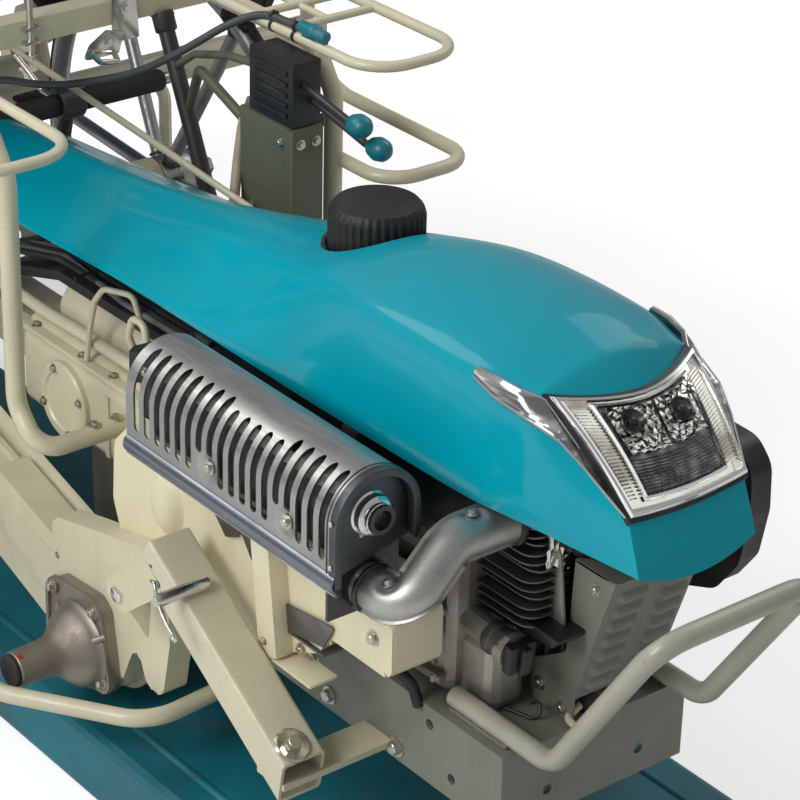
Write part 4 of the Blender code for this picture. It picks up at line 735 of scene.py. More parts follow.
for row in range(FOIL_ROWS):
    line = []
    for column in range(FOIL_COLUMNS):
        across = column / (FOIL_COLUMNS - 1)
        up = row / (FOIL_ROWS - 1)
        crumple = 0.0016 * math.sin(across * 23 + up * 9) * math.sin(up * 17 - across * 5)
        line.append(bm.verts.new((
            0.8063 + crumple + 0.003 * math.sin(math.pi * up), -0.046 + 0.03 * across,
            0.398 + 0.04 * up + 0.004 * math.sin(across * 6),
        )))
    grid.append(line)
skin(bm, grid, False, False)
bmesh.ops.solidify(bm, geom=bm.faces[:], thickness=0.0007)
finished("plug_foil", bm, foil)
bm = turned(
    bmesh.new(), ((0, 0.0085), (0.012, 0.0082), (0.014, 0.0065), (0.024, 0.0062), (0.027, 0.0045)),
    (0.806, -0.01, 0.41), (1, 0, 0.25),
)
gather(
    bm,
    swept(
        bmesh.new(),
        rounded_path(
            [
                (0.829, -0.01, 0.417), (0.838, -0.01, 0.432), (0.832, 0.03, 0.455), (0.806, 0.055, 0.44),
                (0.79, 0.064, 0.42),
            ],
            0.014,
        ),
        0.0035, 12,
    ),
)
finished("plug_cap_and_lead", bm, black_plastic)
bm = gather(
    bmesh.new(),
    plate(
        rounded(((0.742, 0.344), (0.832, 0.352), (0.838, 0.368), (0.806, 0.392), (0.742, 0.392)), 0.008), 1,
        0.026, 0.062,
    ),
    plate(rounded(((0.745, 0.336), (0.826, 0.34), (0.836, 0.35), (0.745, 0.352)), 0.004), 1, -0.052, 0.03),
)
finished("cooling_shroud", bm, black_plastic, 0.002)


# Louvred shield: pressed cream sheet in front of the cylinder, with two columns of seven short louvres,
# a folded top and a flange that is screwed to the bed.
SHIELD_RIGHT = -0.022
SHIELD_LEFT = 0.074
shield_low = Vector((0.818, 0, 0.277))
shield_high = Vector((0.862, 0, 0.408))
shield_up = (shield_high - shield_low).normalized()
shield_out = Vector((shield_up.z, 0, -shield_up.x))
shield_long = (shield_high - shield_low).length
LOUVRES = 7
bm = bmesh.new()
across_steps = 49
up_steps = 113
rows = []
for row in range(up_steps):
    up = row / (up_steps - 1)
    line = []
    for column in range(across_steps):
        across = column / (across_steps - 1)
        y = SHIELD_RIGHT + (SHIELD_LEFT - SHIELD_RIGHT) * across
        phase = (up * (LOUVRES + 1) - 0.5) % 1
        inside = 0 < up * (LOUVRES + 1) - 0.5 < LOUVRES
        half = across * 2 % 1
        window = min(1, max(0, (min(half, 1 - half) - 0.13) / 0.1))
        swell = (phase / 0.3 if phase < 0.3 else max(0, 1 - (phase - 0.3) / 0.52)) if inside else 0
        edge_roll = 0.004 * max(0, 1 - min(across, 1 - across) / 0.045) ** 2
        lift = 0.0055 * window * math.sin(swell * math.pi / 2) - edge_roll
        line.append(bm.verts.new(
            shield_low + shield_up * (shield_long * up) + shield_out * (0.003 + lift) + Vector((0, y, 0))
        ))
    rows.append(line)
skin(bm, rows, False, False)
fold_rows = [rows[-1]]
for along, drop in ((-0.004, -0.001), (-0.012, 0), (-0.046, 0)):
    line = []
    for column in range(across_steps):
        y = SHIELD_RIGHT + (SHIELD_LEFT - SHIELD_RIGHT) * column / (across_steps - 1)
        line.append(bm.verts.new((shield_high.x + along, y, shield_high.z + drop)))
    fold_rows.append(line)
skin(bm, fold_rows, False, False)
bmesh.ops.recalc_face_normals(bm, faces=bm.faces)
bmesh.ops.solidify(bm, geom=bm.faces[:], thickness=0.0024)
flange_outline = rounded(
    (
        (0.77, 0.2554), (0.822, 0.2554), (0.8215, 0.277), (0.8635, 0.4075), (0.816, 0.4075), (0.811, 0.318),
        (0.77, 0.292),
    ),
    (0.004, 0.003, 0, 0, 0.003, 0.012, 0.008),
)
flange = plate(flange_outline, 1, SHIELD_RIGHT, SHIELD_RIGHT + 0.003)
left_flange = plate(
    rounded(((0.8, 0.3), (0.824, 0.29), (0.8625, 0.4075), (0.816, 0.4075)), 0.003), 1, SHIELD_LEFT - 0.003,
    SHIELD_LEFT,
)
gather(bm, flange, left_flange)
# The shield takes the darker copy of the cream: painted shade on its front.
shield = finished("louvred_shield", bm, shaded_cream, 0, 50)
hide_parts("engine_shield")
screws(
    "shield_screws",
    [
        ((0.782, SHIELD_RIGHT, 0.274), SIDE_OUT, 0.0042), ((0.81, SHIELD_RIGHT, 0.264), SIDE_OUT, 0.0042),
        ((0.842, SHIELD_RIGHT, 0.392), SIDE_OUT, 0.0036),
    ],
    zinc,
)
bm = plate(
    rounded(
        ((0.8, 0.338), (0.812, 0.332), (0.818, 0.344), (0.809, 0.414), (0.797, 0.42), (0.791, 0.408)), 0.006,
    ),
    1, -0.0325, -0.0295,
)
finished("plug_guard_strip", bm, aluminium, 0.0006)
screws(
    "strip_screws", [((0.8015, -0.0325, 0.409), SIDE_OUT, 0.003), ((0.8085, -0.0325, 0.342), SIDE_OUT, 0.003)],
    zinc,
)
bm = turned(
    bmesh.new(), ((0, 0.006), (0.003, 0.0085), (0.01, 0.009), (0.015, 0.007), (0.018, 0.0035)),
    (0.816, 0.002, 0.2553), (0, 0, 1),
)
finished("shield_buffer", bm, moulded("buffer_rubber", (0.016, 0.016, 0.016), (0.05, 0.048, 0.045), 0.6))


# Muffler: a dark steel can with a stepped end plate, under its guard beside the engine. A bright outlet
# ring stands out of the guard.
MUFFLER_Y = -0.18
MUFFLER_Z = 0.474
# Near-black steel for the muffler, its outlet plate and the exhaust collars: heat-darkened steel, and painted
# shade that keeps the guard's slots dark inside.
hot_shaded_steel = metal("hot_shaded_steel", (0.1, 0.095, 0.09), (0.045, 0.032, 0.024), 0.4, 240, 0.00008)
dress(hot_shaded_steel, "muffler")
chrome = Finish("bright_chrome", 0.1, 1)
chrome.slot = "bright_chrome"
chrome_wear = chrome.between(chrome.noise(40, 4), 0.45, 0.75)
chrome.feed("Base Color", chrome.blend(chrome_wear * 0.4, (0.86, 0.86, 0.86), (0.55, 0.55, 0.56)))
chrome.feed("Roughness", chrome.between(chrome_wear, 0, 1, 0.12, 0.28))
bm = turned(
    bmesh.new(),
    (
        (-0.004, 0.0185), (-0.001, 0.0185), (0.0, 0.0168), (0.006, 0.0168), (0.0075, 0.0152), (0.0078, 0.0132),
        (0.0112, 0.013), (0.0124, 0.0118), (0.0125, 0.0092), (0.004, 0.0086), (0.0035, 0.002),
    ),
    (0.753, MUFFLER_Y, MUFFLER_Z), (1, 0, 0), 48,
)
finished("outlet_ring", bm, chrome)
bm = gather(
    bmesh.new(),
    plate(
        rounded(
            (
                (-0.199, 0.452), (-0.161, 0.452), (-0.158, 0.478), (-0.168, 0.496), (-0.192, 0.496),
                (-0.202, 0.478),
            ),
            0.01,
        ),
        0, 0.7455, 0.749,
    ),
)
finished("outlet_plate", bm, hot_shaded_steel, 0.0008)
screws(
    "outlet_screws",
    [
        ((0.749, -0.188, 0.4565), (1, 0, 0), 0.003), ((0.749, -0.1725, 0.4555), (1, 0, 0), 0.003),
        ((0.749, -0.196, 0.476), (1, 0, 0), 0.0026),
    ],
    zinc,
)


# Muffler guard: rolled sheet steel, satin silver, over the muffler. It has a row of eighteen upright slots,
# a bead along its lip, dished seats for its screws, and a riveted front rim. Its top is left bare.
GUARD_RADIUS = 0.04
GUARD_REAR = 0.474
GUARD_FRONT = 0.762
GUARD_LIP = 0.417
GUARD_WALL = 0.0018
SLOT_GROUPS = (
    (6, 0.443, 0.5122), (2, 0.464, 0.5122), (5, 0.443, 0.5085), (2, 0.464, 0.5122), (3, 0.443, 0.5122),
)
SLOT_FIRST = 0.4895
SLOT_PITCH = 0.015
SLOT_HALF = 0.0041
DISHES = ((0.592, 0.4545), (0.697, 0.4535))
guard_side = MUFFLER_Y - GUARD_RADIUS
brushed = metal(
    "brushed_guard_steel", (0.42, 0.425, 0.405), (0.25, 0.25, 0.24), 0.43, 260, 0.00005, (0.12, 1, 1), 0.35,
)
brushed.slot = "silver_plate"
# The lip bead's steel is a darker blue-grey copy of the guard's steel: painted shade on the bead.
lip_shade_steel = metal(
    "lip_shade_blue_grey_steel", (0.215, 0.24, 0.265), (0.14, 0.155, 0.17), 0.3, 260, 0.00004, (0.12, 1, 1), 0.3,
)
profile = [(guard_side + 0.0015, GUARD_LIP - 0.0005), (guard_side - 0.001, GUARD_LIP + 0.001)]
for step in range(9):
    bulge = math.sin(math.pi * step / 8)
    profile.append((guard_side - 0.004 * bulge ** 0.6, GUARD_LIP + 0.002 + 0.015 * step / 8))
for step in range(10):
    profile.append((guard_side, GUARD_LIP + 0.0185 + (MUFFLER_Z - GUARD_LIP - 0.0185) * step / 10))
for step in range(31):
    angle = math.radians(165) * step / 30
    profile.append((MUFFLER_Y - GUARD_RADIUS * math.cos(angle), MUFFLER_Z + GUARD_RADIUS * math.sin(angle)))
guard_along = 97
bm = bmesh.new()
rows = []
for step in range(guard_along):
    x = GUARD_REAR + (GUARD_FRONT - GUARD_REAR) * step / (guard_along - 1)
    row = []
    for y, z in profile:
        deep = 0
        if y < MUFFLER_Y:
            for dish_x, dish_z in DISHES:
                away = math.hypot(x - dish_x, z - dish_z)
                deep = max(deep, 0.0034 * min(1, max(0, (0.0125 - away) / 0.005)))
        row.append(bm.verts.new((x, y + deep, z)))
    rows.append(row)
skin(bm, rows, False, False)
bmesh.ops.recalc_face_normals(bm, faces=bm.faces)
guard_mesh = bpy.data.meshes.new("guard_sheet")
bm.to_mesh(guard_mesh)
bm.free()
guard_holder = bpy.data.objects.new("guard_sheet", guard_mesh)
bpy.context.scene.collection.objects.link(guard_holder)
wall = guard_holder.modifiers.new("wall", "SOLIDIFY")
wall.thickness = GUARD_WALL
wall.offset = 0
bm = bmesh.new()
at = SLOT_FIRST
for count, low, high in SLOT_GROUPS:
    for index in range(count):
        outline = []
        for centre_z, start in ((low + SLOT_HALF, math.pi), (high - SLOT_HALF, 0)):
            for step in range(9):
                angle = start + math.pi * step / 8
                outline.append((at + SLOT_HALF * math.cos(angle), centre_z + SLOT_HALF * math.sin(angle)))
        gather(bm, plate(outline, 1, guard_side - 0.02, MUFFLER_Y))
        at += SLOT_PITCH
bmesh.ops.recalc_face_normals(bm, faces=bm.faces)
slot_mesh = bpy.data.meshes.new("guard_slots")
bm.to_mesh(slot_mesh)
bm.free()
slot_holder = bpy.data.objects.new("guard_slots", slot_mesh)
bpy.context.scene.collection.objects.link(slot_holder)
punch = guard_holder.modifiers.new("slots", "BOOLEAN")
punch.operation = "DIFFERENCE"
punch.solver = "EXACT"
punch.object = slot_holder
punched = bpy.data.meshes.new_from_object(guard_holder.evaluated_get(bpy.context.evaluated_depsgraph_get()))
for spare in (guard_holder, slot_holder):
    bpy.data.objects.remove(spare, do_unlink=True)
bm = bmesh.new()
bm.from_mesh(punched)
guard = finished("slotted_guard", bm, brushed, 0, 30)
# Faces of the lip bead take the darker blue-grey steel: painted shade.
guard.data.materials.append(lip_shade_steel.material)
for face in guard.data.polygons:
    if face.center.z < GUARD_LIP + 0.0182 and face.center.y < MUFFLER_Y:
        face.material_index = 1
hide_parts("muffler_guard")
bm = bmesh.new()
rim_outer = []
rim_inner = []
for step in range(25):
    angle = math.pi * step / 24
    rim_outer.append((
        MUFFLER_Y - (GUARD_RADIUS + 0.0016) * math.cos(angle),
        MUFFLER_Z + (GUARD_RADIUS + 0.0016) * math.sin(angle),
    ))
    rim_inner.append((
        MUFFLER_Y - (GUARD_RADIUS - 0.0052) * math.cos(angle),
        MUFFLER_Z + (GUARD_RADIUS - 0.0052) * math.sin(angle),
    ))
rim_outer = [(guard_side - 0.0016, GUARD_LIP + 0.006)] + rim_outer
rim_inner = [(guard_side + 0.0052, GUARD_LIP + 0.006)] + rim_inner
rim_outer += [(MUFFLER_Y + 0.0416, GUARD_LIP + 0.032), (MUFFLER_Y + 0.038, GUARD_LIP + 0.026)]
rim_inner += [(MUFFLER_Y + 0.035, GUARD_LIP + 0.034), (MUFFLER_Y + 0.033, GUARD_LIP + 0.032)]
gather(bm, plate(rim_outer + rim_inner[::-1], 0, GUARD_FRONT - 0.0075, GUARD_FRONT + 0.0008))
gather(bm, plate(rim_outer, 0, 0.7505, 0.752))
# The front rim's steel is a near-black copy of the guard's silver plate: painted shade on the front-facing rim
# and end plate.
shaded_end_steel = metal("shaded_end_plate_steel", (0.115, 0.125, 0.13), (0.07, 0.075, 0.075), 0.48, 240, 0.00005)
shaded_end_steel.slot = "silver_plate"
finished("guard_rim", bm, shaded_end_steel, 0.0007)
RIVETS = [((0.7575, guard_side - 0.0016, z), SIDE_OUT, 0.0024) for z in (0.4415, 0.48)]
screws("guard_rivets", RIVETS, zinc, sides=16, washer=1.0, high=0.35)
screws("guard_screws", [((x, guard_side + 0.0014, z), SIDE_OUT, 0.0042) for x, z in DISHES], zinc)


# Exhaust pipe cover: two pressed half shells over the pipe, satin silver, joined along a flat seam, with
# socket screws in round dimples and a flared collar at each end.
satin = metal("satin_silver", (0.5, 0.49, 0.465), (0.28, 0.26, 0.23), 0.5, 900, 0.00006, spots=0.5)
PIPE_PATH = ((0.7453, -0.176, 0.405), (0.792, -0.176, 0.405), (0.782, -0.122, 0.443), (0.782, -0.0603, 0.443))
pipe_path = rounded_path(PIPE_PATH, 0.034, 14)
fine_path = []
for before, after in zip(pipe_path, pipe_path[1:]):
    pieces = max(1, round((after - before).length / 0.0025))
    fine_path += [before.lerp(after, step / pieces) for step in range(pieces)]
fine_path.append(pipe_path[-1])
far = [0]
for before, after in zip(fine_path, fine_path[1:]):
    far.append(far[-1] + (after - before).length)
sizes = [
    0.018 + 0.0011 * (math.exp(-(at / 0.004) ** 2) + math.exp(-((far[-1] - at) / 0.005) ** 2))
    for at in far
]
bm = swept(bmesh.new(), fine_path, sizes, 40)
DIMPLES = ((0.7755, -0.179, 0.4222), (0.78, -0.101, 0.4603))
for vert in bm.verts:
    for dimple in DIMPLES:
        away = (vert.co - Vector(dimple)).length
        if away < 0.0125:
            nearest = min(fine_path, key=lambda place: (place - vert.co).length)
            vert.co += (nearest - vert.co).normalized() * 0.0024 * min(1, (0.0125 - away) / 0.005)
pipe = finished("exhaust_cover", bm, satin)
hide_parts("exhaust_pipe")
bm = bmesh.new()
seam_rows = []
side = None
for index, place in enumerate(fine_path):
    before = fine_path[max(index - 1, 0)]
    after = fine_path[min(index + 1, len(fine_path) - 1)]
    run = (after - before).normalized()
    out = Vector((0.35, -0.62, -0.7))
    out = (out - run * out.dot(run)).normalized()
    other = run.cross(out)
    reach = sizes[index] - 0.0008
    seam_rows.append([
        bm.verts.new(place + sign * out * (reach + far_out) + other * up)
        for sign in (1, -1)
        for far_out, up in ((0, 0.001), (0.0034, 0.0009), (0.0034, -0.0009), (0, -0.001))
    ])
for row, after_row in zip(seam_rows, seam_rows[1:]):
    for start in (0, 4):
        for step in range(4):
            after = (step + 1) % 4
            bm.faces.new((
                row[start + step], row[start + after], after_row[start + after], after_row[start + step],
            ))
for row in (seam_rows[0], seam_rows[-1]):
    bm.faces.new(row[:4])
    bm.faces.new(row[4:])
finished("exhaust_seam", bm, satin)
bm = turned(
    bmesh.new(), ((0, 0.0215), (0.0022, 0.0215), (0.003, 0.0205), (0.003, 0.0188)), (0.752, -0.176, 0.405),
    (1, 0, 0), 40,
)
gather(
    bm,
    plate(
        rounded(
            ((0.765, 0.425), (0.799, 0.425), (0.803, 0.443), (0.799, 0.461), (0.765, 0.461), (0.761, 0.443)),
            0.008,
        ),
        1, -0.0665, -0.0602,
    ),
)
finished("exhaust_collars", bm, hot_shaded_steel, 0.0006)
dimple_places = []
for dimple in DIMPLES:
    nearest = min(fine_path, key=lambda place: (place - Vector(dimple)).length)
    out = (Vector(dimple) - nearest).normalized()
    dimple_places.append((tuple(nearest + out * 0.0162), tuple(out), 0.0037))
screws("exhaust_screws", dimple_places, satin, sides=20, socket=0.45, washer=1.5)


# Side cover: a deep cream moulding over the belt under the muffler, with a raised oval boss and stepped
# heat brackets in dark sheet under the guard.
COVER_SIDE = 0.152
SIDE_COVER_OUTLINE = (
    (0.362, 0.24), (0.56, 0.24), (0.652, 0.284), (0.664, 0.306), (0.742, 0.306),
    (0.748, 0.314), (0.748, 0.362), (0.7, 0.378), (0.372, 0.378), (0.346, 0.35), (0.342, 0.29),
)
bm = plate(
    rounded(SIDE_COVER_OUTLINE, (0.02, 0.02, 0.012, 0.008, 0.006, 0.006, 0.012, 0.02, 0.018, 0.02, 0.02), 5), 1,
    -COVER_SIDE, -0.1003,
)
rim = [e for e in bm.edges if all(abs(v.co.y + COVER_SIDE) < 0.0001 for v in e.verts)]
bmesh.ops.bevel(bm, geom=rim, offset=0.013, segments=6, profile=0.5, affect="EDGES", clamp_overlap=True)
# A brighter, yellower copy of the cream for the belt cover: painted light on its lit side, and partly the
# moulding's own paler tone.
lit_cover_cream = enamel("lit_belt_cover_cream", (0.74, 0.68, 0.47), (0.46, 0.42, 0.29), 0.4, 0.12, 0.5)
side_cover = finished("belt_cover", bm, lit_cover_cream, 0, 40)
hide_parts("side_cover")
bm = bmesh.new()
oval_rings = []
for reach, out in (
    (1.08, 0.0), (1.0, 0.001), (0.9, 0.0034), (0.78, 0.0062), (0.62, 0.0088), (0.42, 0.0104), (0.2, 0.011),
):
    ring = []
    for step in range(32):
        angle = 2 * math.pi * step / 32
        ring.append(bm.verts.new((
            0.43 + 0.024 * reach * math.cos(angle), -0.1515 - out, 0.325 + 0.032 * reach * math.sin(angle),
        )))
    oval_rings.append(ring)
skin(bm, oval_rings)
gather(
    bm,
    plate(
        rounded(((0.578, 0.374), (0.59, 0.268), (0.598, 0.26), (0.616, 0.266), (0.603, 0.374)), 0.003), 1,
        -0.17, -0.167,
    ),
    plate(((0.6, 0.374), (0.613, 0.264), (0.616, 0.266), (0.603, 0.374)), 1, -0.169, -0.1512),
    block((0.594, -0.169, 0.26), (0.662, -0.14, 0.263)),
)
finished("belt_cover_boss_and_strut", bm, lit_cover_cream, 0.001)
screws(
    "belt_cover_screws",
    [
        ((0.628, -COVER_SIDE, 0.276), SIDE_OUT, 0.0042), ((0.599, -0.17, 0.276), SIDE_OUT, 0.0026),
        ((0.724, -COVER_SIDE, 0.336), SIDE_OUT, 0.005), ((0.5, -COVER_SIDE, 0.262), SIDE_OUT, 0.0036),
    ],
    zinc,
)
bm = gather(
    bmesh.new(),
    plate(((0.488, 0.384), (0.501, 0.357), (0.523, 0.336), (0.541, 0.344), (0.545, 0.384)), 1, -0.156, -0.1524),
    plate(((0.541, 0.384), (0.546, 0.359), (0.565, 0.334), (0.583, 0.346), (0.588, 0.384)), 1, -0.159, -0.156),
    block((0.488, -0.159, 0.3795), (0.588, -0.124, 0.383)),
)
finished("heat_brackets", bm, dark_steel, 0.0008)
bm = gather(
    bmesh.new(),
    plate(rounded(((0.606, 0.286), (0.662, 0.296), (0.676, 0.322), (0.606, 0.312)), 0.004), 1, -0.156, -0.1535),
    block((0.606, -0.156, 0.286), (0.662, -0.12, 0.2885)),
    plate(rounded(((0.63, 0.27), (0.668, 0.276), (0.664, 0.292), (0.628, 0.286)), 0.005), 1, -0.1245, -0.118),
    block((0.6, -0.118, 0.262), (0.612, -0.0995, 0.272)),
)
finished("hose_plate", bm, dark_steel, 0.0008)
tube(
    "drain_hose",
    [
        (0.64, -0.108, 0.3), (0.662, -0.118, 0.296), (0.69, -0.117, 0.288), (0.716, -0.104, 0.27),
        (0.722, -0.1015, 0.25),
    ],
    0.0048, 0.014, black_plastic,
)


# Hood: one long moulding in glossy teal with a clear coat. A soft crease opens from the narrow rear ridge
# to the broad crown, and the nose leans back round the lamp.
HOOD_STATIONS = (
    (-0.095, 0.082, 0.438, 0.03, 0.466, 0.475),
    (0.06, 0.09, 0.448, 0.026, 0.48, 0.488),
    (0.19, 0.097, 0.459, 0.024, 0.496, 0.504),
    (0.3, 0.1, 0.465, 0.03, 0.515, 0.521),
    (0.44, 0.101, 0.465, 0.051, 0.542, 0.551),
    (0.55, 0.102, 0.465, 0.073, 0.564, 0.584),
    (0.64, 0.101, 0.465, 0.088, 0.577, 0.603),
    (0.765, 0.098, 0.465, 0.089, 0.578, 0.606),
    (0.821, 0.09, 0.465, 0.08, 0.572, 0.594),
)
NOSE_CORNERS = ((0.929, 0.061, 0.457), (0.912, 0.06, 0.501), (0.828, 0.071, 0.571))
NOSE_CROWN = (0.853, 0.5655)
CAP_PLACE = (0.512, 0.01)
CAP_HOLE = 0.0475
teal = Finish("teal_hood", 0.24, 0, 0.3)
teal.slot = "teal_hood"
teal.shader.inputs["Specular IOR Level"].default_value = 0.12
teal_cloud = teal.between(teal.noise(5, 4), 0.35, 0.7)
teal_specks = teal.between(teal.noise(420, 2), 0.68, 0.76)
# Above the crease the hood is blended darker and rougher: painted shade on the top, with dust.
teal_top_shade_and_dust = teal.between(teal.height() + teal.noise(12, 5) * 0.06, 0.575, 0.64)
teal_colour = teal.blend(teal_cloud * 0.5, (0.0, 0.345, 0.445), (0.0, 0.295, 0.385))
teal_colour = teal.blend(teal_top_shade_and_dust * 0.3, teal_colour, (0.035, 0.2, 0.215))
teal.feed("Base Color", teal.blend(teal_specks * 0.25, teal_colour, (0.02, 0.08, 0.1)))
teal.feed("Roughness", teal.between(teal_top_shade_and_dust + teal_specks * 0.5 + teal_cloud * 0.2, 0, 1.4, 0.2, 0.5))
teal.relief(teal.noise(70, 2) * 0.7 + teal.noise(600, 1) * 0.3, 0.00008)
SIDE_STEPS = 14
CROWN_STEPS = 10


def hood_half(low, middle, crease, crown, x_low, x_crease, x_crown):
    """The right half of one section, from its low edge to the crown, as points."""
    half = []
    low_point = Vector((x_low, -low[0], low[1]))
    mid_point = Vector(middle)
    crease_point = Vector((x_crease, -crease[0], crease[1]))
    crown_point = Vector((x_crown, 0, crown))
    for step in range(SIDE_STEPS + 1):
        share = step / SIDE_STEPS
        point = low_point * (1 - share) ** 2 + mid_point * 2 * share * (1 - share) + crease_point * share ** 2
        half.append(point)
    half[0] = half[0] + Vector((0, 0.004, 0))
    half[1] = half[1] + Vector((0, 0.0008, 0))
    for step in range(1, CROWN_STEPS + 1):
        share = step / CROWN_STEPS
        y = crease_point.y * (1 - share)
        rise = math.sin(math.pi / 2 * share)
        half.append(Vector((
            crease_point.x + (crown_point.x - crease_point.x) * rise, y,
            crease_point.z + (crown - crease_point.z) * rise,
        )))
    smooth = half[:]
    for index in range(SIDE_STEPS - 1, SIDE_STEPS + 2):
        smooth[index] = smooth[index] * 0.5 + (smooth[index - 1] + smooth[index + 1]) * 0.25
    return smooth


def spline(values, at):
    """A smooth curve through rows of numbers, the first number of each row being its place."""
    last = len(values) - 1
    index = 0
    while index < last - 1 and at > values[index + 1][0]:
        index += 1
    first = values[index]
    second = values[index + 1]
    before = values[max(index - 1, 0)]
    after = values[min(index + 2, last)]
    span = second[0] - first[0]
    share = (at - first[0]) / span
    made = []
    for column in range(1, len(first)):
        rise_in = (second[column] - before[column]) / (second[0] - before[0]) * span
        rise_out = (after[column] - first[column]) / (after[0] - first[0]) * span
        made.append(
            (2 * share ** 3 - 3 * share ** 2 + 1) * first[column]
            + (share ** 3 - 2 * share ** 2 + share) * rise_in
            + (-2 * share ** 3 + 3 * share ** 2) * second[column] + (share ** 3 - share ** 2) * rise_out
        )
    return made


HOOD_STEPS = 120
sections = []
for step in range(HOOD_STEPS + 1):
    x = HOOD_STATIONS[0][0] + (HOOD_STATIONS[-1][0] - HOOD_STATIONS[0][0]) * step / HOOD_STEPS
    low_half, low_z, crease_half, crease_z, crown_z = spline(HOOD_STATIONS, x)
    swell = 0.005
    middle = (x, -(low_half + crease_half) / 2 - swell, (low_z + crease_z) / 2 + swell / 2)
    sections.append(hood_half((low_half, low_z), middle, (crease_half, crease_z), crown_z, x, x, x))
low_corner, lamp_low, lamp_high = NOSE_CORNERS
NOSE_STEPS = 14
tail = sections[-1]
nose = []
for step in range(SIDE_STEPS + 1):
    share = step / SIDE_STEPS
    split = 0.42
    if share < split:
        part = share / split
        point = Vector((low_corner[0], -low_corner[1], low_corner[2])).lerp(
            Vector((lamp_low[0], -lamp_low[1], lamp_low[2])), part,
        )
    else:
        part = (share - split) / (1 - split)
        point = Vector((lamp_low[0], -lamp_low[1], lamp_low[2])).lerp(
            Vector((lamp_high[0], -lamp_high[1], lamp_high[2])), part,
        )
    nose.append(point)
for step in range(1, CROWN_STEPS + 1):
    share = step / CROWN_STEPS
    rise = math.sin(math.pi / 2 * share)
    nose.append(Vector((
        lamp_high[0] + (NOSE_CROWN[0] - lamp_high[0]) * rise, -lamp_high[1] * (1 - share),
        lamp_high[2] + (NOSE_CROWN[1] - lamp_high[2]) * rise,
    )))
before_tail = sections[-8]
for step in range(1, NOSE_STEPS + 1):
    share = step / NOSE_STEPS
    section = []
    for index, (start, stop) in enumerate(zip(tail, nose)):
        lean = (start - before_tail[index]).normalized() * (stop - start).length
        arrive = (stop - start) * 0.9
        point = (
            start * (2 * share ** 3 - 3 * share ** 2 + 1) + lean * (share ** 3 - 2 * share ** 2 + share) * 0.8
            + stop * (-2 * share ** 3 + 3 * share ** 2) + arrive * (share ** 3 - share ** 2)
        )
        section.append(point)
    sections.append(section)
bm = bmesh.new()
rows = []
for section in sections:
    row = [bm.verts.new(point) for point in section]
    row += [bm.verts.new((point.x, -point.y, point.z)) for point in section[-2::-1]]
    rows.append(row)
skin(bm, rows, False, False)
nose_row = rows[-1]
side_split = round(0.42 * SIDE_STEPS)
NOSE_DIP = 0.012
chin_count = 12
chin = []
lamp_edge = []
for step in range(1, chin_count):
    share = step / chin_count
    y = -low_corner[1] + 2 * low_corner[1] * share
    chin.append(bm.verts.new((
        low_corner[0] + 0.004 * math.sin(math.pi * share), y,
        low_corner[2] - NOSE_DIP * math.sin(math.pi * share) ** 0.8,
    )))
    y = -lamp_low[1] + 2 * lamp_low[1] * share
    lamp_edge.append(bm.verts.new((
        lamp_low[0] + 0.003 * math.sin(math.pi * share), y, lamp_low[2] - 0.003 * math.sin(math.pi * share),
    )))
chin = [nose_row[0]] + chin + [nose_row[-1]]
lamp_edge = [nose_row[side_split]] + lamp_edge + [nose_row[-1 - side_split]]
chin_rows = [chin]
for level_step in range(1, side_split):
    share = level_step / side_split
    row = [nose_row[level_step]]
    for step in range(1, chin_count):
        row.append(bm.verts.new(chin[step].co.lerp(lamp_edge[step].co, share)))
    row.append(nose_row[-1 - level_step])
    chin_rows.append(row)
chin_rows.append(lamp_edge)
skin(bm, chin_rows, False, False)
bmesh.ops.recalc_face_normals(bm, faces=bm.faces)
if sum(
    (face.calc_center_median() - Vector((face.calc_center_median().x, 0, 0.48))).dot(face.normal)
    for face in bm.faces
) < 0:
    bmesh.ops.reverse_faces(bm, faces=bm.faces)
hood_mesh = bpy.data.meshes.new("hood_skin")
bm.to_mesh(hood_mesh)
bm.free()
hood_holder = bpy.data.objects.new("hood_skin", hood_mesh)
bpy.context.scene.collection.objects.link(hood_holder)
wall = hood_holder.modifiers.new("wall", "SOLIDIFY")
wall.thickness = 0.0028
wall.offset = -1
bm = turned(bmesh.new(), ((0, CAP_HOLE), (0.15, CAP_HOLE)), (*CAP_PLACE, 0.5), (0, 0, 1), 64)
bmesh.ops.recalc_face_normals(bm, faces=bm.faces)
hole_mesh = bpy.data.meshes.new("cap_hole")
bm.to_mesh(hole_mesh)
bm.free()
hole_holder = bpy.data.objects.new("cap_hole", hole_mesh)
bpy.context.scene.collection.objects.link(hole_holder)
punch = hood_holder.modifiers.new("cap_hole", "BOOLEAN")
punch.operation = "DIFFERENCE"
punch.solver = "EXACT"
punch.object = hole_holder
punched = bpy.data.meshes.new_from_object(hood_holder.evaluated_get(bpy.context.evaluated_depsgraph_get()))
for spare in (hood_holder, hole_holder):
    bpy.data.objects.remove(spare, do_unlink=True)
bm = bmesh.new()
bm.from_mesh(punched)
hood = finished("hood_shell", bm, teal, 0, 32)
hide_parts("hood")


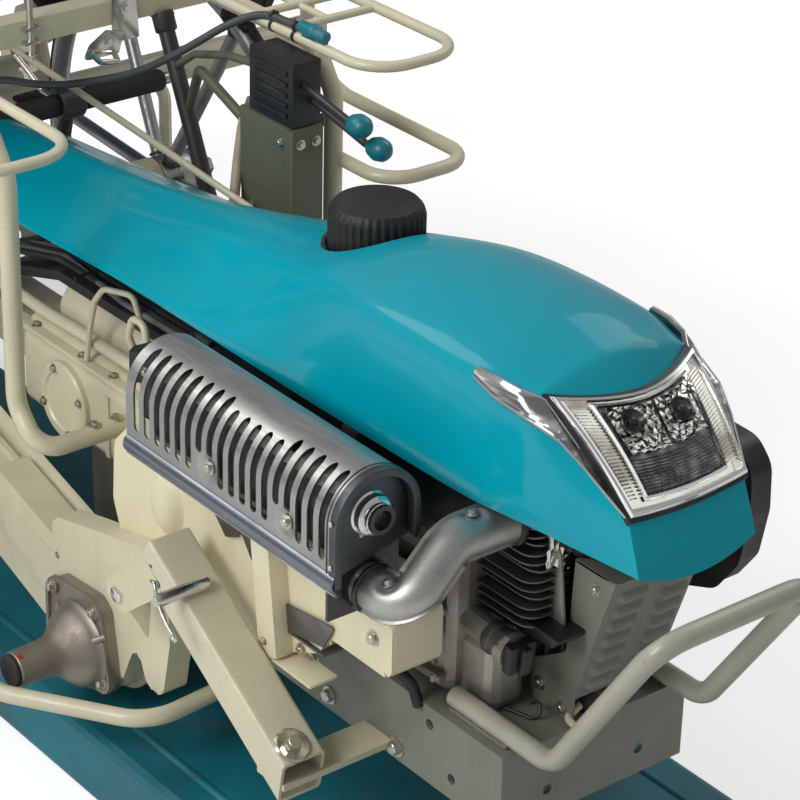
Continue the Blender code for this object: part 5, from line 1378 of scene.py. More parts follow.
# Fuel cap: a moulded black cap, knurled round its side, that sits in the well of the crown. Its dished
# top has a low grip across it.
CAP_RADIUS = 0.042
CAP_LOW = 0.5523
CAP_HIGH = 0.6
bm = bmesh.new()
knurl_steps = 144
cap_rings = []
for level, reach, notch in (
    (0, 0.9, 0), (0.05, 0.97, 0.5), (0.12, 1.0, 1), (0.8, 1.0, 1), (0.92, 0.965, 0.6), (1.0, 0.9, 0),
    (0.985, 0.7, 0), (0.94, 0.6, 0), (0.93, 0.3, 0), (0.935, 0.04, 0),
):
    ring = []
    for step in range(knurl_steps):
        angle = 2 * math.pi * step / knurl_steps
        tooth = 0.0011 * notch * (1 if step % 4 in (0, 1) else -0.4)
        reach_here = CAP_RADIUS * reach - 0.0011 + tooth
        ring.append(bm.verts.new((
            CAP_PLACE[0] + reach_here * math.cos(angle), CAP_PLACE[1] + reach_here * math.sin(angle),
            CAP_LOW + (CAP_HIGH - CAP_LOW) * level,
        )))
    cap_rings.append(ring)
skin(bm, cap_rings)
cap_black = moulded("cap_black", (0.005, 0.0065, 0.0055), (0.022, 0.024, 0.02), 0.5)
fuel_cap = finished("knurled_fuel_cap", bm, cap_black, 0, 35)
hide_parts("fuel_cap")
bm = turned(
    bmesh.new(),
    ((0, 0.0462), (0.0006, 0.0475), (0.004, 0.0475), (0.0046, 0.0462), (0.0046, 0.044), (0, 0.044)),
    (*CAP_PLACE, 0.556), (0.06, 0, 1), 64,
)
finished("cap_well_seal", bm, black_plastic)


# Head lamp: a clear polycarbonate window over a bright frame, bowed across the nose. Behind it are faceted
# reflectors with two dark cups, ribbed side strips and a smoked lower panel. A long bright wedge on each
# side of the hood belongs to it.
def on_lamp(across, up, out):
    """A point of the lamp: across from -1 at the right edge to 1, up from 0 to 1, out in metres."""
    bow = 1 - abs(across) ** 1.8
    foot = Vector((0.912 + 0.003 * bow, 0.06 * across, 0.501 - 0.003 * bow))
    top = Vector((0.828 + 0.025 * bow, 0.071 * across, 0.571 - 0.0055 * bow))
    belly = Vector((0.6, 0, 0.8)) * (0.004 * math.sin(math.pi * up))
    facing = Vector((0.62, 0.22 * across * up, 0.76)).normalized()
    return foot.lerp(top, up) + belly + facing * out


def lamp_sheet(bm, corners, columns, row_count, level, thick=0.0):
    """A patch of the lamp between four (across, up) corners, at level(u, v) metres outwards."""
    rows = []
    for row in range(row_count + 1):
        v = row / row_count
        line = []
        for column in range(columns + 1):
            u = column / columns
            low = Vector(corners[0]).lerp(Vector(corners[1]), u)
            high = Vector(corners[3]).lerp(Vector(corners[2]), u)
            at = low.lerp(high, v)
            line.append(bm.verts.new(on_lamp(at.x, at.y, level(u, v))))
        rows.append(line)
    faces = []
    for line, after_line in zip(rows, rows[1:]):
        for column in range(columns):
            faces.append(bm.faces.new((
                line[column], line[column + 1], after_line[column + 1], after_line[column],
            )))
    if thick:
        bmesh.ops.solidify(bm, geom=faces, thickness=thick)
    return bm


def lamp_band(bm, outer, inner, levels):
    """A closed band of the lamp's frame between two (across, up) outlines of equal count, over levels."""
    rows = []
    for start, stop in zip(outer, inner):
        row = []
        for index, (share, level) in enumerate(levels):
            at = Vector(start).lerp(Vector(stop), share)
            row.append(bm.verts.new(on_lamp(at.x, at.y, level)))
        rows.append(row)
    count = len(levels)
    for row, after_row in zip(rows, rows[1:] + rows[:1]):
        for index in range(count):
            after = (index + 1) % count
            bm.faces.new((row[index], row[after], after_row[after], after_row[index]))
    return bm


def lamp_outline(right, left, low, high, steps=12):
    path = [(right + (left - right) * step / steps, low) for step in range(steps)]
    path += [(left, low + (high - low) * step / steps) for step in range(steps)]
    path += [(left + (right - left) * step / steps, high) for step in range(steps)]
    path += [(right, high + (low - high) * step / steps) for step in range(steps)]
    return path


smoke = Finish("smoked_reflector", 0.22, 0.8)
smoke.slot = "bright_chrome"
smoke_cells = smoke.node("ShaderNodeTexVoronoi", {"feature": "F1"}, {"Vector": smoke.place, "Scale": 90.0}, 0)
smoke_tone = smoke.between(smoke_cells, 0.0, 0.6)
smoke.feed("Base Color", smoke.blend(smoke_tone, (0.22, 0.22, 0.205), (0.06, 0.058, 0.054)))
smoke.relief(smoke_tone, 0.0005)
facets = Finish("faceted_reflector", 0.1, 1)
facets.slot = "bright_chrome"
facet_cells = facets.node(
    "ShaderNodeTexVoronoi", {"feature": "F1", "distance": "CHEBYCHEV"},
    {"Vector": facets.place, "Scale": 170.0}, 0,
)
facet_tone = facets.between(facet_cells, 0.1, 0.8)
facets.feed("Base Color", facets.blend(facet_tone, (0.8, 0.79, 0.74), (0.2, 0.2, 0.19)))
facets.relief(facet_tone, 0.003)
ivory = Finish("bright_lamp_trim", 0.16, 1)
ivory.slot = "bright_chrome"
ivory_cloud = ivory.between(ivory.noise(34, 2, ivory.stretched((1, 0.35, 1))), 0.4, 0.62)
ivory.feed("Base Color", ivory.blend(ivory_cloud, (0.78, 0.77, 0.7), (0.36, 0.34, 0.28)))
ivory.feed("Roughness", ivory.between(ivory_cloud, 0, 1, 0.1, 0.24))
bm = lamp_sheet(
    bmesh.new(), ((-0.985, 0.012), (0.985, 0.012), (0.985, 0.985), (-0.985, 0.985)), 20, 12, lambda u,
    v: 0.0006, 0.0034,
)
lamp_back = finished("lamp_back", bm, ivory)
bm = lamp_sheet(
    bmesh.new(), ((-0.66, 0.13), (0.66, 0.13), (0.64, 0.9), (-0.64, 0.9)), 14, 10, lambda u, v: 0.003, 0.002,
)
finished("lamp_bowl", bm, smoke)
bm = bmesh.new()
for start, stop in ((-0.58, -0.03), (0.03, 0.58)):
    for column in range(8):
        left = start + (stop - start) * column / 8
        right = start + (stop - start) * (column + 1) / 8
        lamp_sheet(
            bm,
            (
                (left, 0.45 + 0.02 * (column % 2)), (right, 0.45 + 0.02 * ((column + 1) % 2)), (right, 0.875),
                (left, 0.875),
            ),
            1, 6, lambda u, v: 0.0052 + 0.0034 * (2 * v - 1) ** 2 + 0.001 * u, 0.0008,
        )
finished("lamp_reflectors", bm, facets)
bm = bmesh.new()
for across, rise in ((-0.37, 0.735), (0.31, 0.7)):
    turned(
        bm,
        (
            (0, 0.0098), (0.0036, 0.0102), (0.0044, 0.0094), (0.003, 0.008), (0.0012, 0.0048), (0.004, 0.0036),
            (0.0052, 0.0018),
        ),
        on_lamp(across, rise, 0.0066), on_lamp(across, rise, 1) - on_lamp(across, rise, 0), 32,
    )
dark_cup = moulded("dark_lamp_cup", (0.014, 0.012, 0.011), (0.045, 0.04, 0.036), 0.2)
dark_cup.slot = "bright_chrome"
finished("lamp_cups", bm, dark_cup)
bm = bmesh.new()
for ridge in range(11):
    low = 0.15 + 0.29 * ridge / 11
    high = 0.15 + 0.29 * (ridge + 0.5) / 11
    lamp_sheet(
        bm, ((-0.6, low), (0.6, low), (0.6, high), (-0.6, high)), 14, 1, lambda u,
        v: 0.0062 + 0.0012 * math.sin(math.pi * u), 0.0008,
    )
for arc in range(5):
    path = [
        on_lamp(
            -0.5 + 0.1 * arc + 0.05 * math.sin(step / 3), 0.16 + 0.15 * step / 10,
            0.0082 + 0.0012 * math.sin(math.pi * (0.1 * arc)),
        )
        for step in range(11)
    ]
    swept(bm, path, 0.00035, 6)
finished("lamp_smoked_bars", bm, smoke)
bm = bmesh.new()
for side in (-1, 1):
    for step in range(26):
        low = 0.13 + 0.76 * step / 26
        high = 0.13 + 0.76 * (step + 0.5) / 26
        corners = ((side * 0.72, low), (side * 0.885, low), (side * 0.885, high), (side * 0.72, high))
        lamp_sheet(
            bm, corners if side > 0 else (corners[1], corners[0], corners[3], corners[2]), 1, 1, lambda u,
            v: 0.0052, 0.0012,
        )
finished("lamp_side_bars", bm, ivory)
bm = bmesh.new()
lamp_band(
    bm, lamp_outline(-1.0, 1.0, -0.005, 1.0), lamp_outline(-0.93, 0.93, 0.05, 0.955),
    ((0, 0.0002), (0, 0.0058), (0.35, 0.0082), (0.9, 0.0082), (1, 0.0064), (1, 0.0002)),
)
lamp_band(
    bm, lamp_outline(-0.69, 0.69, 0.1, 0.93), lamp_outline(-0.63, 0.63, 0.145, 0.895),
    ((0, 0.003), (0, 0.006), (0.5, 0.0076), (1, 0.0052), (1, 0.003)),
)
bezel = finished("lamp_frame", bm, chrome)
bm = lamp_band(
    bmesh.new(), lamp_outline(-1.03, 1.03, -0.03, 1.035), lamp_outline(-0.99, 0.99, 0.0, 0.995),
    ((0, -0.003), (0, 0.0028), (1, 0.0036), (1, -0.003)),
)
finished("lamp_seal", bm, black_plastic)
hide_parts("headlight_body")
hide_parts("headlight_body")
clear = Finish("clear_polycarbonate", 0.02)
clear.slot = "clear_lens"
clear.shader.inputs["Transmission Weight"].default_value = 1
clear.shader.inputs["IOR"].default_value = 1.2
clear_dust = clear.between(clear.noise(60, 4), 0.5, 0.8)
clear.feed("Base Color", clear.blend(clear_dust * 0.3, (0.97, 0.98, 0.98), (0.8, 0.82, 0.8)))
clear.feed("Roughness", clear.between(clear_dust, 0, 1, 0.01, 0.1))
bm = lamp_sheet(
    bmesh.new(), ((-0.94, 0.045), (0.94, 0.045), (0.94, 0.96), (-0.94, 0.96)), 24, 12, lambda u,
    v: 0.01 + 0.0018 * math.sin(math.pi * u) * math.sin(math.pi * v), 0.001,
)
window = finished("lamp_window", bm, clear)
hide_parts("headlight_lens")
WEDGE_LOW = (
    (0.765, -0.0905, 0.57), (0.791, -0.0915, 0.563), (0.828, -0.088, 0.5575), (0.856, -0.081, 0.55),
    (0.877, -0.0745, 0.535), (0.895, -0.0675, 0.518), (0.911, -0.061, 0.503),
)
WEDGE_HIGH = (
    (0.767, -0.09, 0.579), (0.79, -0.088, 0.5795), (0.811, -0.0835, 0.5765), (0.828, -0.072, 0.571),
    (0.858, -0.0675, 0.5475), (0.885, -0.064, 0.5245), (0.911, -0.0605, 0.5035),
)


def wedge_rows(side, columns=30, rise=6):
    """The wedge as rows of points from its low line to its high line, on one side of the hood."""
    rows = []
    for column in range(columns + 1):
        at = column / columns * (len(WEDGE_LOW) - 1)
        index = min(int(at), len(WEDGE_LOW) - 2)
        low = Vector(WEDGE_LOW[index]).lerp(Vector(WEDGE_LOW[index + 1]), at - index)
        high = Vector(WEDGE_HIGH[index]).lerp(Vector(WEDGE_HIGH[index + 1]), at - index)
        rows.append([
            (lambda p: Vector((p.x, -p.y * side, p.z)))(low.lerp(high, step / rise))
            for step in range(rise + 1)
        ])
    return rows


wedge_look = Finish("bright_wedge", 0.12, 0.9)
wedge_look.slot = "bright_chrome"
wedge_lines = wedge_look.between(wedge_look.noise(26, 2, wedge_look.stretched((0.45, 1, 3.2))), 0.4, 0.6)
wedge_look.feed("Base Color", wedge_look.blend(wedge_lines, (0.82, 0.82, 0.8), (0.27, 0.28, 0.28)))
wedge_look.feed("Roughness", wedge_look.between(wedge_lines, 0, 1, 0.08, 0.22))
wedge_look.relief(wedge_lines, 0.0006)
bm = bmesh.new()
rims = bmesh.new()
for side in (-1, 1):
    rows = wedge_rows(side)
    out = Vector((0.1, side, 0.28)).normalized()
    layers = []
    for depth, swell in ((-0.002, 0), (0.0016, 0.0012)):
        layers.append([
            [
                bm.verts.new(point + out * (depth + swell * math.sin(math.pi * min(1, max(0, step / 6)))))
                for step, point in enumerate(row)
            ]
            for row in rows
        ])
    for layer in layers:
        skin(bm, layer, False, False)
    under, over = layers
    for row_index in range(len(rows) - 1):
        for edge in (0, 6):
            bm.faces.new((
                under[row_index][edge], under[row_index + 1][edge], over[row_index + 1][edge],
                over[row_index][edge],
            ))
    for end in (0, len(rows) - 1):
        for index in range(6):
            bm.faces.new((under[end][index], under[end][index + 1], over[end][index + 1], over[end][index]))
    low_line = [row[0] + out * 0.0016 for row in rows]
    high_line = [row[6] + out * 0.0018 for row in rows]
    swept(rims, low_line, 0.0011, 8)
    swept(rims, high_line[:22], 0.0007, 8)
finished("lamp_wedges", bm, wedge_look)
finished("lamp_wedge_rims", rims, chrome)


# Swing cases: the chain cases run from the pivot back to the wheels. Each is two pressed cream shells with
# a flanged joint, a boxed cheek with rounded edges that carries the lift link, and a bolted top cover.
SIDES = ((-1, "right"), (1, "left"))
PIVOT = (0.33, 0.14)
AXLE = (-0.22, 0.3)
CASE_INNER = 0.118
CASE_OUTER = 0.163
SEAT = 0.0003


def capsule(start, stop, start_radius, stop_radius, steps=18):
    first = Vector((start[0], 0, start[1]))
    last = Vector((stop[0], 0, stop[1]))
    along = (last - first).normalized()
    across = Vector((-along.z, 0, along.x))
    outline = []
    for centre, radius, turn in ((first, start_radius, 1), (last, stop_radius, -1)):
        for step in range(steps + 1):
            angle = math.pi * step / steps
            point = centre + (across * math.cos(angle) - along * math.sin(angle)) * radius * turn
            outline.append((point.x, point.z))
    return outline


def sided(bm, side):
    """Puts a shape that was built on the left of the machine on its given side."""
    if side < 0:
        for vert in bm.verts:
            vert.co.y = -vert.co.y
    return bm


def rounded_rim(bm, level, offset, steps=5):
    """Rounds the edges that lie at one distance across the machine."""
    edges = [e for e in bm.edges if all(abs(v.co.y - level) < 0.00005 for v in e.verts)]
    bmesh.ops.bevel(
        bm, geom=edges, offset=offset, segments=steps, profile=0.5, affect="EDGES", clamp_overlap=True,
    )
    return bm


CHEEK_OUTLINE = (
    (0.29, 0.11), (0.262, 0.18), (0.266, 0.236), (0.276, 0.246), (0.425, 0.282), (0.456, 0.272),
    (0.458, 0.2), (0.446, 0.142), (0.432, 0.134), (0.418, 0.142), (0.404, 0.176), (0.378, 0.12),
)
CHEEK_HOLE = ((0.366, 0.216), (0.43, 0.232), (0.424, 0.186), (0.41, 0.196))


def holed_plate(outline, hole, low_y, high_y, edge):
    """A thick sheet with one hole through it, its outer edges rolled over."""
    sheet = plate(outline, 1, low_y, high_y)
    rounded_rim(sheet, high_y, edge)
    bmesh.ops.recalc_face_normals(sheet, faces=sheet.faces)
    hole_cut = plate(hole, 1, low_y - 0.02, high_y + 0.02)
    bmesh.ops.recalc_face_normals(hole_cut, faces=hole_cut.faces)
    shapes = []
    for shape, label in ((sheet, "sheet"), (hole_cut, "hole")):
        mesh = bpy.data.meshes.new(label)
        shape.to_mesh(mesh)
        shape.free()
        holder = bpy.data.objects.new(label, mesh)
        bpy.context.scene.collection.objects.link(holder)
        shapes.append(holder)
    punch = shapes[0].modifiers.new("hole", "BOOLEAN")
    punch.operation = "DIFFERENCE"
    punch.solver = "EXACT"
    punch.object = shapes[1]
    made = bpy.data.meshes.new_from_object(shapes[0].evaluated_get(bpy.context.evaluated_depsgraph_get()))
    for spare in shapes:
        bpy.data.objects.remove(spare, do_unlink=True)
    bm = bmesh.new()
    bm.from_mesh(made)
    bpy.data.meshes.remove(made)
    return bm


middle = (CASE_INNER + CASE_OUTER) / 2
case_run = (Vector((*AXLE, 0)) - Vector((*PIVOT, 0))).normalized()
for side, label in SIDES:
    shell = plate(capsule(PIVOT, AXLE, 0.05, 0.036), 1, CASE_INNER, CASE_OUTER)
    rounded_rim(shell, CASE_OUTER, 0.01)
    rounded_rim(shell, CASE_INNER, 0.01)
    gather(shell, plate(capsule(PIVOT, AXLE, 0.056, 0.042), 1, middle - 0.003, middle + 0.003))
    turned(
        shell, ((0, 0.044), (0.01, 0.03), (0.04, 0.026), (0.0985, 0.0255), (0.0995, 0.022), (0.0995, 0.012)),
        (AXLE[0], CASE_OUTER + 0.007, AXLE[1]), (0, 1, 0), 40,
    )
    cheek = holed_plate(
        rounded(CHEEK_OUTLINE, 0.01, 5), rounded(CHEEK_HOLE, 0.006, 4), 0.146, CASE_OUTER + 0.008, 0.0034,
    )
    gather(shell, cheek)
    case = finished("chain_case_" + label, sided(shell, side), cream, 0, 40)
    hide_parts("swing_case_" + label)
    cover = plate(
        rounded(
            (
                (0.148, 0.18), (0.268, 0.146), (0.286, 0.156), (0.284, 0.206), (0.27, 0.216), (0.16, 0.246),
                (0.146, 0.238),
            ),
            0.01,
        ),
        1, 0.132, CASE_OUTER + 0.0042,
    )
    rounded_rim(cover, CASE_OUTER + 0.0042, 0.003)
    gather(
        cover,
        plate(
            rounded(((0.176, 0.182), (0.262, 0.158), (0.264, 0.198), (0.18, 0.22)), 0.008), 1, 0.15,
            CASE_OUTER + 0.0058,
        ),
    )
    finished("chain_case_cover_" + label, sided(cover, side), cream, 0, 40)
    around = []
    for share in (0.14, 0.3, 0.46, 0.62, 0.78):
        centre = Vector((*PIVOT, 0)).lerp(Vector((*AXLE, 0)), share)
        out = 0.053 - 0.014 * share
        for turn in (1, -1):
            if share < 0.5 and turn > 0:
                continue
            place = centre + Vector((-case_run.y, case_run.x, 0)) * out * turn
            around.append(((place.x, side * (middle + 0.003), place.y), (0, side, 0), 0.0034))
    around += [
        ((x, side * (CASE_OUTER + 0.0042), z), (0, side, 0), 0.004)
        for x, z in ((0.158, 0.19), (0.276, 0.16), (0.273, 0.204), (0.16, 0.236))
    ]
    screws("chain_case_screws_" + label, around, zinc)


# Pivot caps: sand-cast aluminium flanges with a raised rim and four corner screws. A round hub runs out to
# a bare snout with a dark rubber plug in its end; a dab of red marks it as checked.
CAP_FLANGE = (
    (0.283, 0.092), (0.368, 0.104), (0.378, 0.116), (0.366, 0.19), (0.352, 0.2), (0.292, 0.194), (0.27, 0.18),
    (0.268, 0.112),
)
CAP_SCREWS = ((0.2835, 0.1075), (0.364, 0.1165), (0.3535, 0.1865), (0.2825, 0.1805))
red_mark = Finish("red_paint_mark", 0.5)
red_mark.feed("Base Color", red_mark.blend(red_mark.noise(400), (0.55, 0.02, 0.02), (0.35, 0.01, 0.01)))
warm_cast = cast("warm_cast_aluminium", (0.335, 0.3, 0.255), (0.17, 0.135, 0.1), 0.46, 0.00025)
rubber = moulded("hub_plug_rubber", (0.016, 0.015, 0.014), (0.06, 0.055, 0.05), 0.62)
for side, label in SIDES:
    base = CASE_OUTER + 0.008 + SEAT
    flange = plate(rounded(CAP_FLANGE, 0.011, 5), 1, base, base + 0.01)
    rounded_rim(flange, base + 0.01, 0.0016, 3)
    centre = Vector((sum(p[0] for p in CAP_FLANGE) / 8, sum(p[1] for p in CAP_FLANGE) / 8))
    outer = rounded(CAP_FLANGE, 0.011, 5)
    inner = [tuple(Vector(p).lerp(centre, 0.1)) for p in outer]
    rows = []
    for start, stop in zip(outer, inner):
        inside = Vector(start).lerp(Vector(stop), 0.12)
        rows.append([
            flange.verts.new((p[0], y, p[1]))
            for p, y in (
                (inside, base + 0.0088), (inside, base + 0.0125), (stop, base + 0.0125), (stop, base + 0.0088),
            )
        ])
    for row, after_row in zip(rows, rows[1:] + rows[:1]):
        for index in range(4):
            after = (index + 1) % 4
            flange.faces.new((row[index], row[after], after_row[after], after_row[index]))
    turned(flange, (
        (0.008, 0.0435), (0.013, 0.043), (0.015, 0.0405), (0.019, 0.0395), (0.025, 0.0365), (0.031, 0.0315),
        (0.036, 0.0262),
        (0.04, 0.0225), (0.045, 0.0198), (0.052, 0.0183), (0.084, 0.017), (0.085, 0.016),
    ), (PIVOT[0], base, PIVOT[1]), (0, 1, 0), 48)
    for x, z in CAP_SCREWS:
        turned(flange, ((0.006, 0.0088), (0.0128, 0.008), (0.0136, 0.007)), (x, base, z), (0, 1, 0), 20)
    for angle in (35, 150, 265):
        spoke = Vector((math.cos(math.radians(angle)), 0, math.sin(math.radians(angle))))
        start = Vector((PIVOT[0], base + 0.022, PIVOT[1])) + spoke * 0.03
        stop = Vector((PIVOT[0], base + 0.01, PIVOT[1])) + spoke * 0.048
        swept(flange, [start, start.lerp(stop, 0.5), stop], [0.004, 0.0036, 0.003], 10)
    cap = finished("pivot_casting_" + label, sided(flange, side), warm_cast, 0, 40)
    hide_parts("pivot_cap_" + label)
    plug = turned(
        bmesh.new(),
        (
            (0.08, 0.014), (0.086, 0.0158), (0.0885, 0.016), (0.09, 0.0148), (0.0893, 0.0105), (0.088, 0.007),
            (0.0878, 0.002),
        ),
        (PIVOT[0], base, PIVOT[1]), (0, 1, 0), 40,
    )
    finished("hub_plug_" + label, sided(plug, side), rubber)
    screws(
        "pivot_cap_screws_" + label,
        [((x, side * (base + 0.0134), z), (0, side, 0), 0.0042) for x, z in CAP_SCREWS], zinc, socket=0.5,
        sides=20, washer=1.2,
    )
mark = turned(bmesh.new(), ((-0.0003, 0.003), (0.0004, 0.0026)), (0.3365, -0.252, 0.1562), (0.38, 0, 0.92), 10)
finished("check_mark", mark, red_mark)


# Lift links: square cream tube, open at its lower end, from the cheek down to the bed. A clevis pin with a
# spring clip locks the top, and a dished washer under a hex bolt holds the foot.
PIN_HEIGHT = 0.3125
LINK_TOP = Vector((0.5, 0, 0.312))
LINK_LOW = Vector((0.668, 0, 0.206))
link_run = (LINK_LOW - LINK_TOP).normalized()
link_up = Vector((-link_run.z, 0, link_run.x))
LINK_INNER = CASE_OUTER + 0.008 + SEAT
LINK_OUTER = LINK_INNER + 0.044
plated = metal("bright_zinc", (0.72, 0.71, 0.66), (0.4, 0.38, 0.3), 0.2, 300, 0.00003, spots=0.3)
for side, label in SIDES:
    link_middle = (LINK_INNER + LINK_OUTER) / 2
    half_wide = (LINK_OUTER - LINK_INNER) / 2
    half_high = 0.019
    section = rounded(
        ((-half_wide, -half_high), (half_wide, -half_high), (half_wide, half_high), (-half_wide, half_high)),
        0.0055, 5,
    )
    bore = rounded(
        (
            (-half_wide + 0.003, -half_high + 0.003), (half_wide - 0.003, -half_high + 0.003),
            (half_wide - 0.003, half_high - 0.003), (-half_wide + 0.003, half_high - 0.003),
        ),
        0.0035, 5,
    )
    bm = bmesh.new()
    rings = []
    for outline, reach in ((section, -0.019), (section, 0.2176), (bore, 0.2176), (bore, 0.15)):
        ring = []
        for across, up in outline:
            slant = 0.008 * (up / half_high) if reach > 0 else 0
            ring.append(bm.verts.new(
                LINK_TOP + link_run * (reach + slant) + Vector((0, link_middle + across, 0)) - link_up * up
            ))
        rings.append(ring)
    skin(bm, rings)
    gather(
        bm,
        plate(
            rounded(((0.429, 0.254), (0.453, 0.246), (0.516, 0.296), (0.492, 0.32), (0.429, 0.27)), 0.006), 1,
            LINK_OUTER - 0.006, LINK_OUTER + 0.0007,
        ),
    )
    gather(
        bm,
        plate(
            rounded(((0.429, 0.254), (0.453, 0.246), (0.516, 0.296), (0.492, 0.32), (0.429, 0.27)), 0.006), 1,
            LINK_INNER + 0.0006, LINK_INNER + 0.005,
        ),
    )
    gather(bm, block((0.649, 0.1003, 0.19), (0.687, LINK_OUTER - 0.002, 0.196)))
    link = finished("link_tube_" + label, sided(bm, side), cream, 0, 40)
    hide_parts("lift_link_" + label)
    pin = bmesh.new()
    swept(
        pin,
        [
            Vector((0.543, 0.188, PIN_HEIGHT)), Vector((0.543, 0.1885, PIN_HEIGHT)),
            Vector((0.543, 0.238, PIN_HEIGHT)), Vector((0.543, 0.2415, PIN_HEIGHT)),
        ],
        [0.005, 0.006, 0.006, 0.0046], 20,
    )
    turned(
        pin, ((0, 0.0075), (0.003, 0.0075), (0.004, 0.0062)), (0.445, LINK_INNER - 0.0002 + 0.044, 0.262),
        (0, 1, 0), 24,
    )
    swept(pin, [Vector((0.445, 0.166, 0.262)), Vector((0.445, 0.216, 0.262))], 0.0052, 20)
    clip = [
        (0.53, 0.236, 0.324), (0.536, 0.2372, 0.3262), (0.54, 0.2385, 0.32), (0.5452, 0.24, PIN_HEIGHT),
        (0.552, 0.2408, 0.305),
        (0.56, 0.2415, 0.299), (0.569, 0.241, 0.2925), (0.5715, 0.24, 0.287), (0.567, 0.2395, 0.2862),
        (0.5615, 0.24, 0.293),
        (0.554, 0.239, 0.3), (0.545, 0.2375, 0.309), (0.536, 0.236, 0.317),
    ]
    swept(pin, rounded_path(clip, 0.004, 3), 0.0017, 10)
    finished("link_pins_" + label, sided(pin, side), plated)
    washer = turned(
        bmesh.new(), ((0, 0.0158), (0.0016, 0.016), (0.003, 0.014), (0.0022, 0.01), (0.0014, 0.005)),
        LINK_TOP + link_run * 0.196 + Vector((0, link_middle + 0.004, 0)) + link_up * 0.0188, link_up, 36,
    )
    finished("link_washer_" + label, sided(washer, side), plated)
    foot_bolt = LINK_TOP + link_run * 0.196 + Vector((0, link_middle + 0.004, 0)) + link_up * 0.0205
    screws(
        "link_bolt_" + label, [((foot_bolt.x, foot_bolt.y * side, foot_bolt.z), tuple(link_up), 0.0066)], zinc,
        washer=1.15,
    )
    screws(
        "link_hole_" + label,
        [
            ((0.508, side * LINK_OUTER, 0.303), (0, side, 0), 0.0036),
            ((0.498, side * LINK_OUTER, 0.316), (0, side, 0), 0.0016),
        ],
        dark_steel, sides=16, washer=1.0, high=0.15,
    )


# Bow tubes: cream steel tube bent round the front of each swing case, to keep mud and banks off it.
BOW_PATH = (
    (0.455, 0.094, 0.1797), (0.455, 0.094, 0.132), (0.462, 0.196, 0.13), (0.33, 0.276, 0.124),
    (0.15, 0.262, 0.14), (0.12, 0.215, 0.197), (0.12, 0.1633, 0.197),
)
for side, label in SIDES:
    bow = tube("bow_bar_" + label, [(x, y * side, z) for x, y, z in BOW_PATH], 0.0082, 0.05, cream, 20)
    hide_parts("bow_tube_" + label)


# Seedling racks: welded loops of cream rod at each side of the hood, on legs of bent tube that stand on the
# gear case. The left one has a lower hoop.
RAIL_INNER = 0.158
RAIL_OUTER = 0.268
RAIL_HEIGHT = 0.62
RACK_LOOP = (
    (-0.12, RAIL_INNER, RAIL_HEIGHT), (0.315, RAIL_INNER, RAIL_HEIGHT), (0.315, RAIL_OUTER, RAIL_HEIGHT),
    (-0.12, RAIL_OUTER, RAIL_HEIGHT),
)
LEG_PATH = (
    (-0.06, 0.18, 0.60875), (0.196, 0.18, 0.60875), (0.226, 0.18, 0.566), (0.226, 0.18, 0.345),
    (0.262, 0.18, 0.31), (0.262, 0.0853, 0.31),
)
HOOP_PATH = (
    (0.226, 0.186, 0.5), (0.304, 0.186, 0.5), (0.304, 0.29, 0.5), (0.086, 0.29, 0.5),
    (0.064, RAIL_OUTER, 0.548), (0.064, RAIL_OUTER, RAIL_HEIGHT),
)
for side, label in SIDES:
    bm = swept(bmesh.new(), rounded_path(RACK_LOOP, 0.042), 0.0054, 16)
    for at in (-0.1148, -0.065, 0.0, 0.068, 0.125, 0.175):
        swept(bm, [Vector((at, RAIL_INNER, 0.6195)), Vector((at, RAIL_OUTER, 0.6195))], 0.0042, 12)
    swept(bm, [Vector((-0.115, 0.213, 0.6185)), Vector((0.175, 0.213, 0.6185))], 0.0036, 12)
    swept(bm, rounded_path(LEG_PATH, 0.03), 0.0092, 20)
    if side > 0:
        swept(bm, rounded_path(HOOP_PATH, 0.036), 0.0068, 16)
    for at in (0.045, 0.15):
        turned(
            bm, ((-0.004, 0.0052), (-0.002, 0.0075), (0.002, 0.0075), (0.004, 0.0052)), (at, 0.17, 0.6175),
            (0, 1, -0.6), 12,
        )
    rack = finished("rack_" + label, sided(bm, side), cream, 0, 50)
    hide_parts("seedling_rack_" + label)
    screws(
        "leg_screws_" + label,
        [((0.262, side * 0.0953, 0.3195), (0, 0, 1), 0.004), ((0.262, side * 0.12, 0.3192), (0, 0, 1), 0.004)],
        zinc,
    )


# Floats: three blow-moulded hulls in dull dark teal, scuffed and muddy, that carry the machine over mud.
# Broad ribs are pressed into their decks.
float_teal = Finish("float_teal", 0.5, 0, 0.05)
float_teal.slot = "teal_float"
float_cloud = float_teal.between(float_teal.noise(4.5, 6), 0.36, 0.66)
float_mud = float_teal.between(float_teal.noise(16, 6) - float_teal.height() * 0.7, 0.5, 0.72)
float_base = float_teal.blend(float_cloud, (0.0, 0.07, 0.09), (0.0, 0.165, 0.215))
float_teal.feed("Base Color", float_teal.blend(float_mud * 0.5, float_base, (0.06, 0.085, 0.085)))
float_teal.feed("Roughness", float_teal.between(float_cloud + float_mud, 0, 2, 0.32, 0.75))
float_teal.relief(float_teal.noise(46, 4) * 0.7 + float_teal.noise(500, 2) * 0.3, 0.0005)
dress(float_teal, "centre_float", "side_float_right", "side_float_left")
bm = bmesh.new()
for side in (-1, 1):
    for start, stop in ((0.06, 0.3), (0.36, 0.62), (0.68, 0.8)):
        swept(bm, rounded_path([(start, side * 0.165, 0.0715), (stop, side * 0.165, 0.0715)], 0.01), 0.0052, 10)
finished("float_ribs", bm, float_teal)


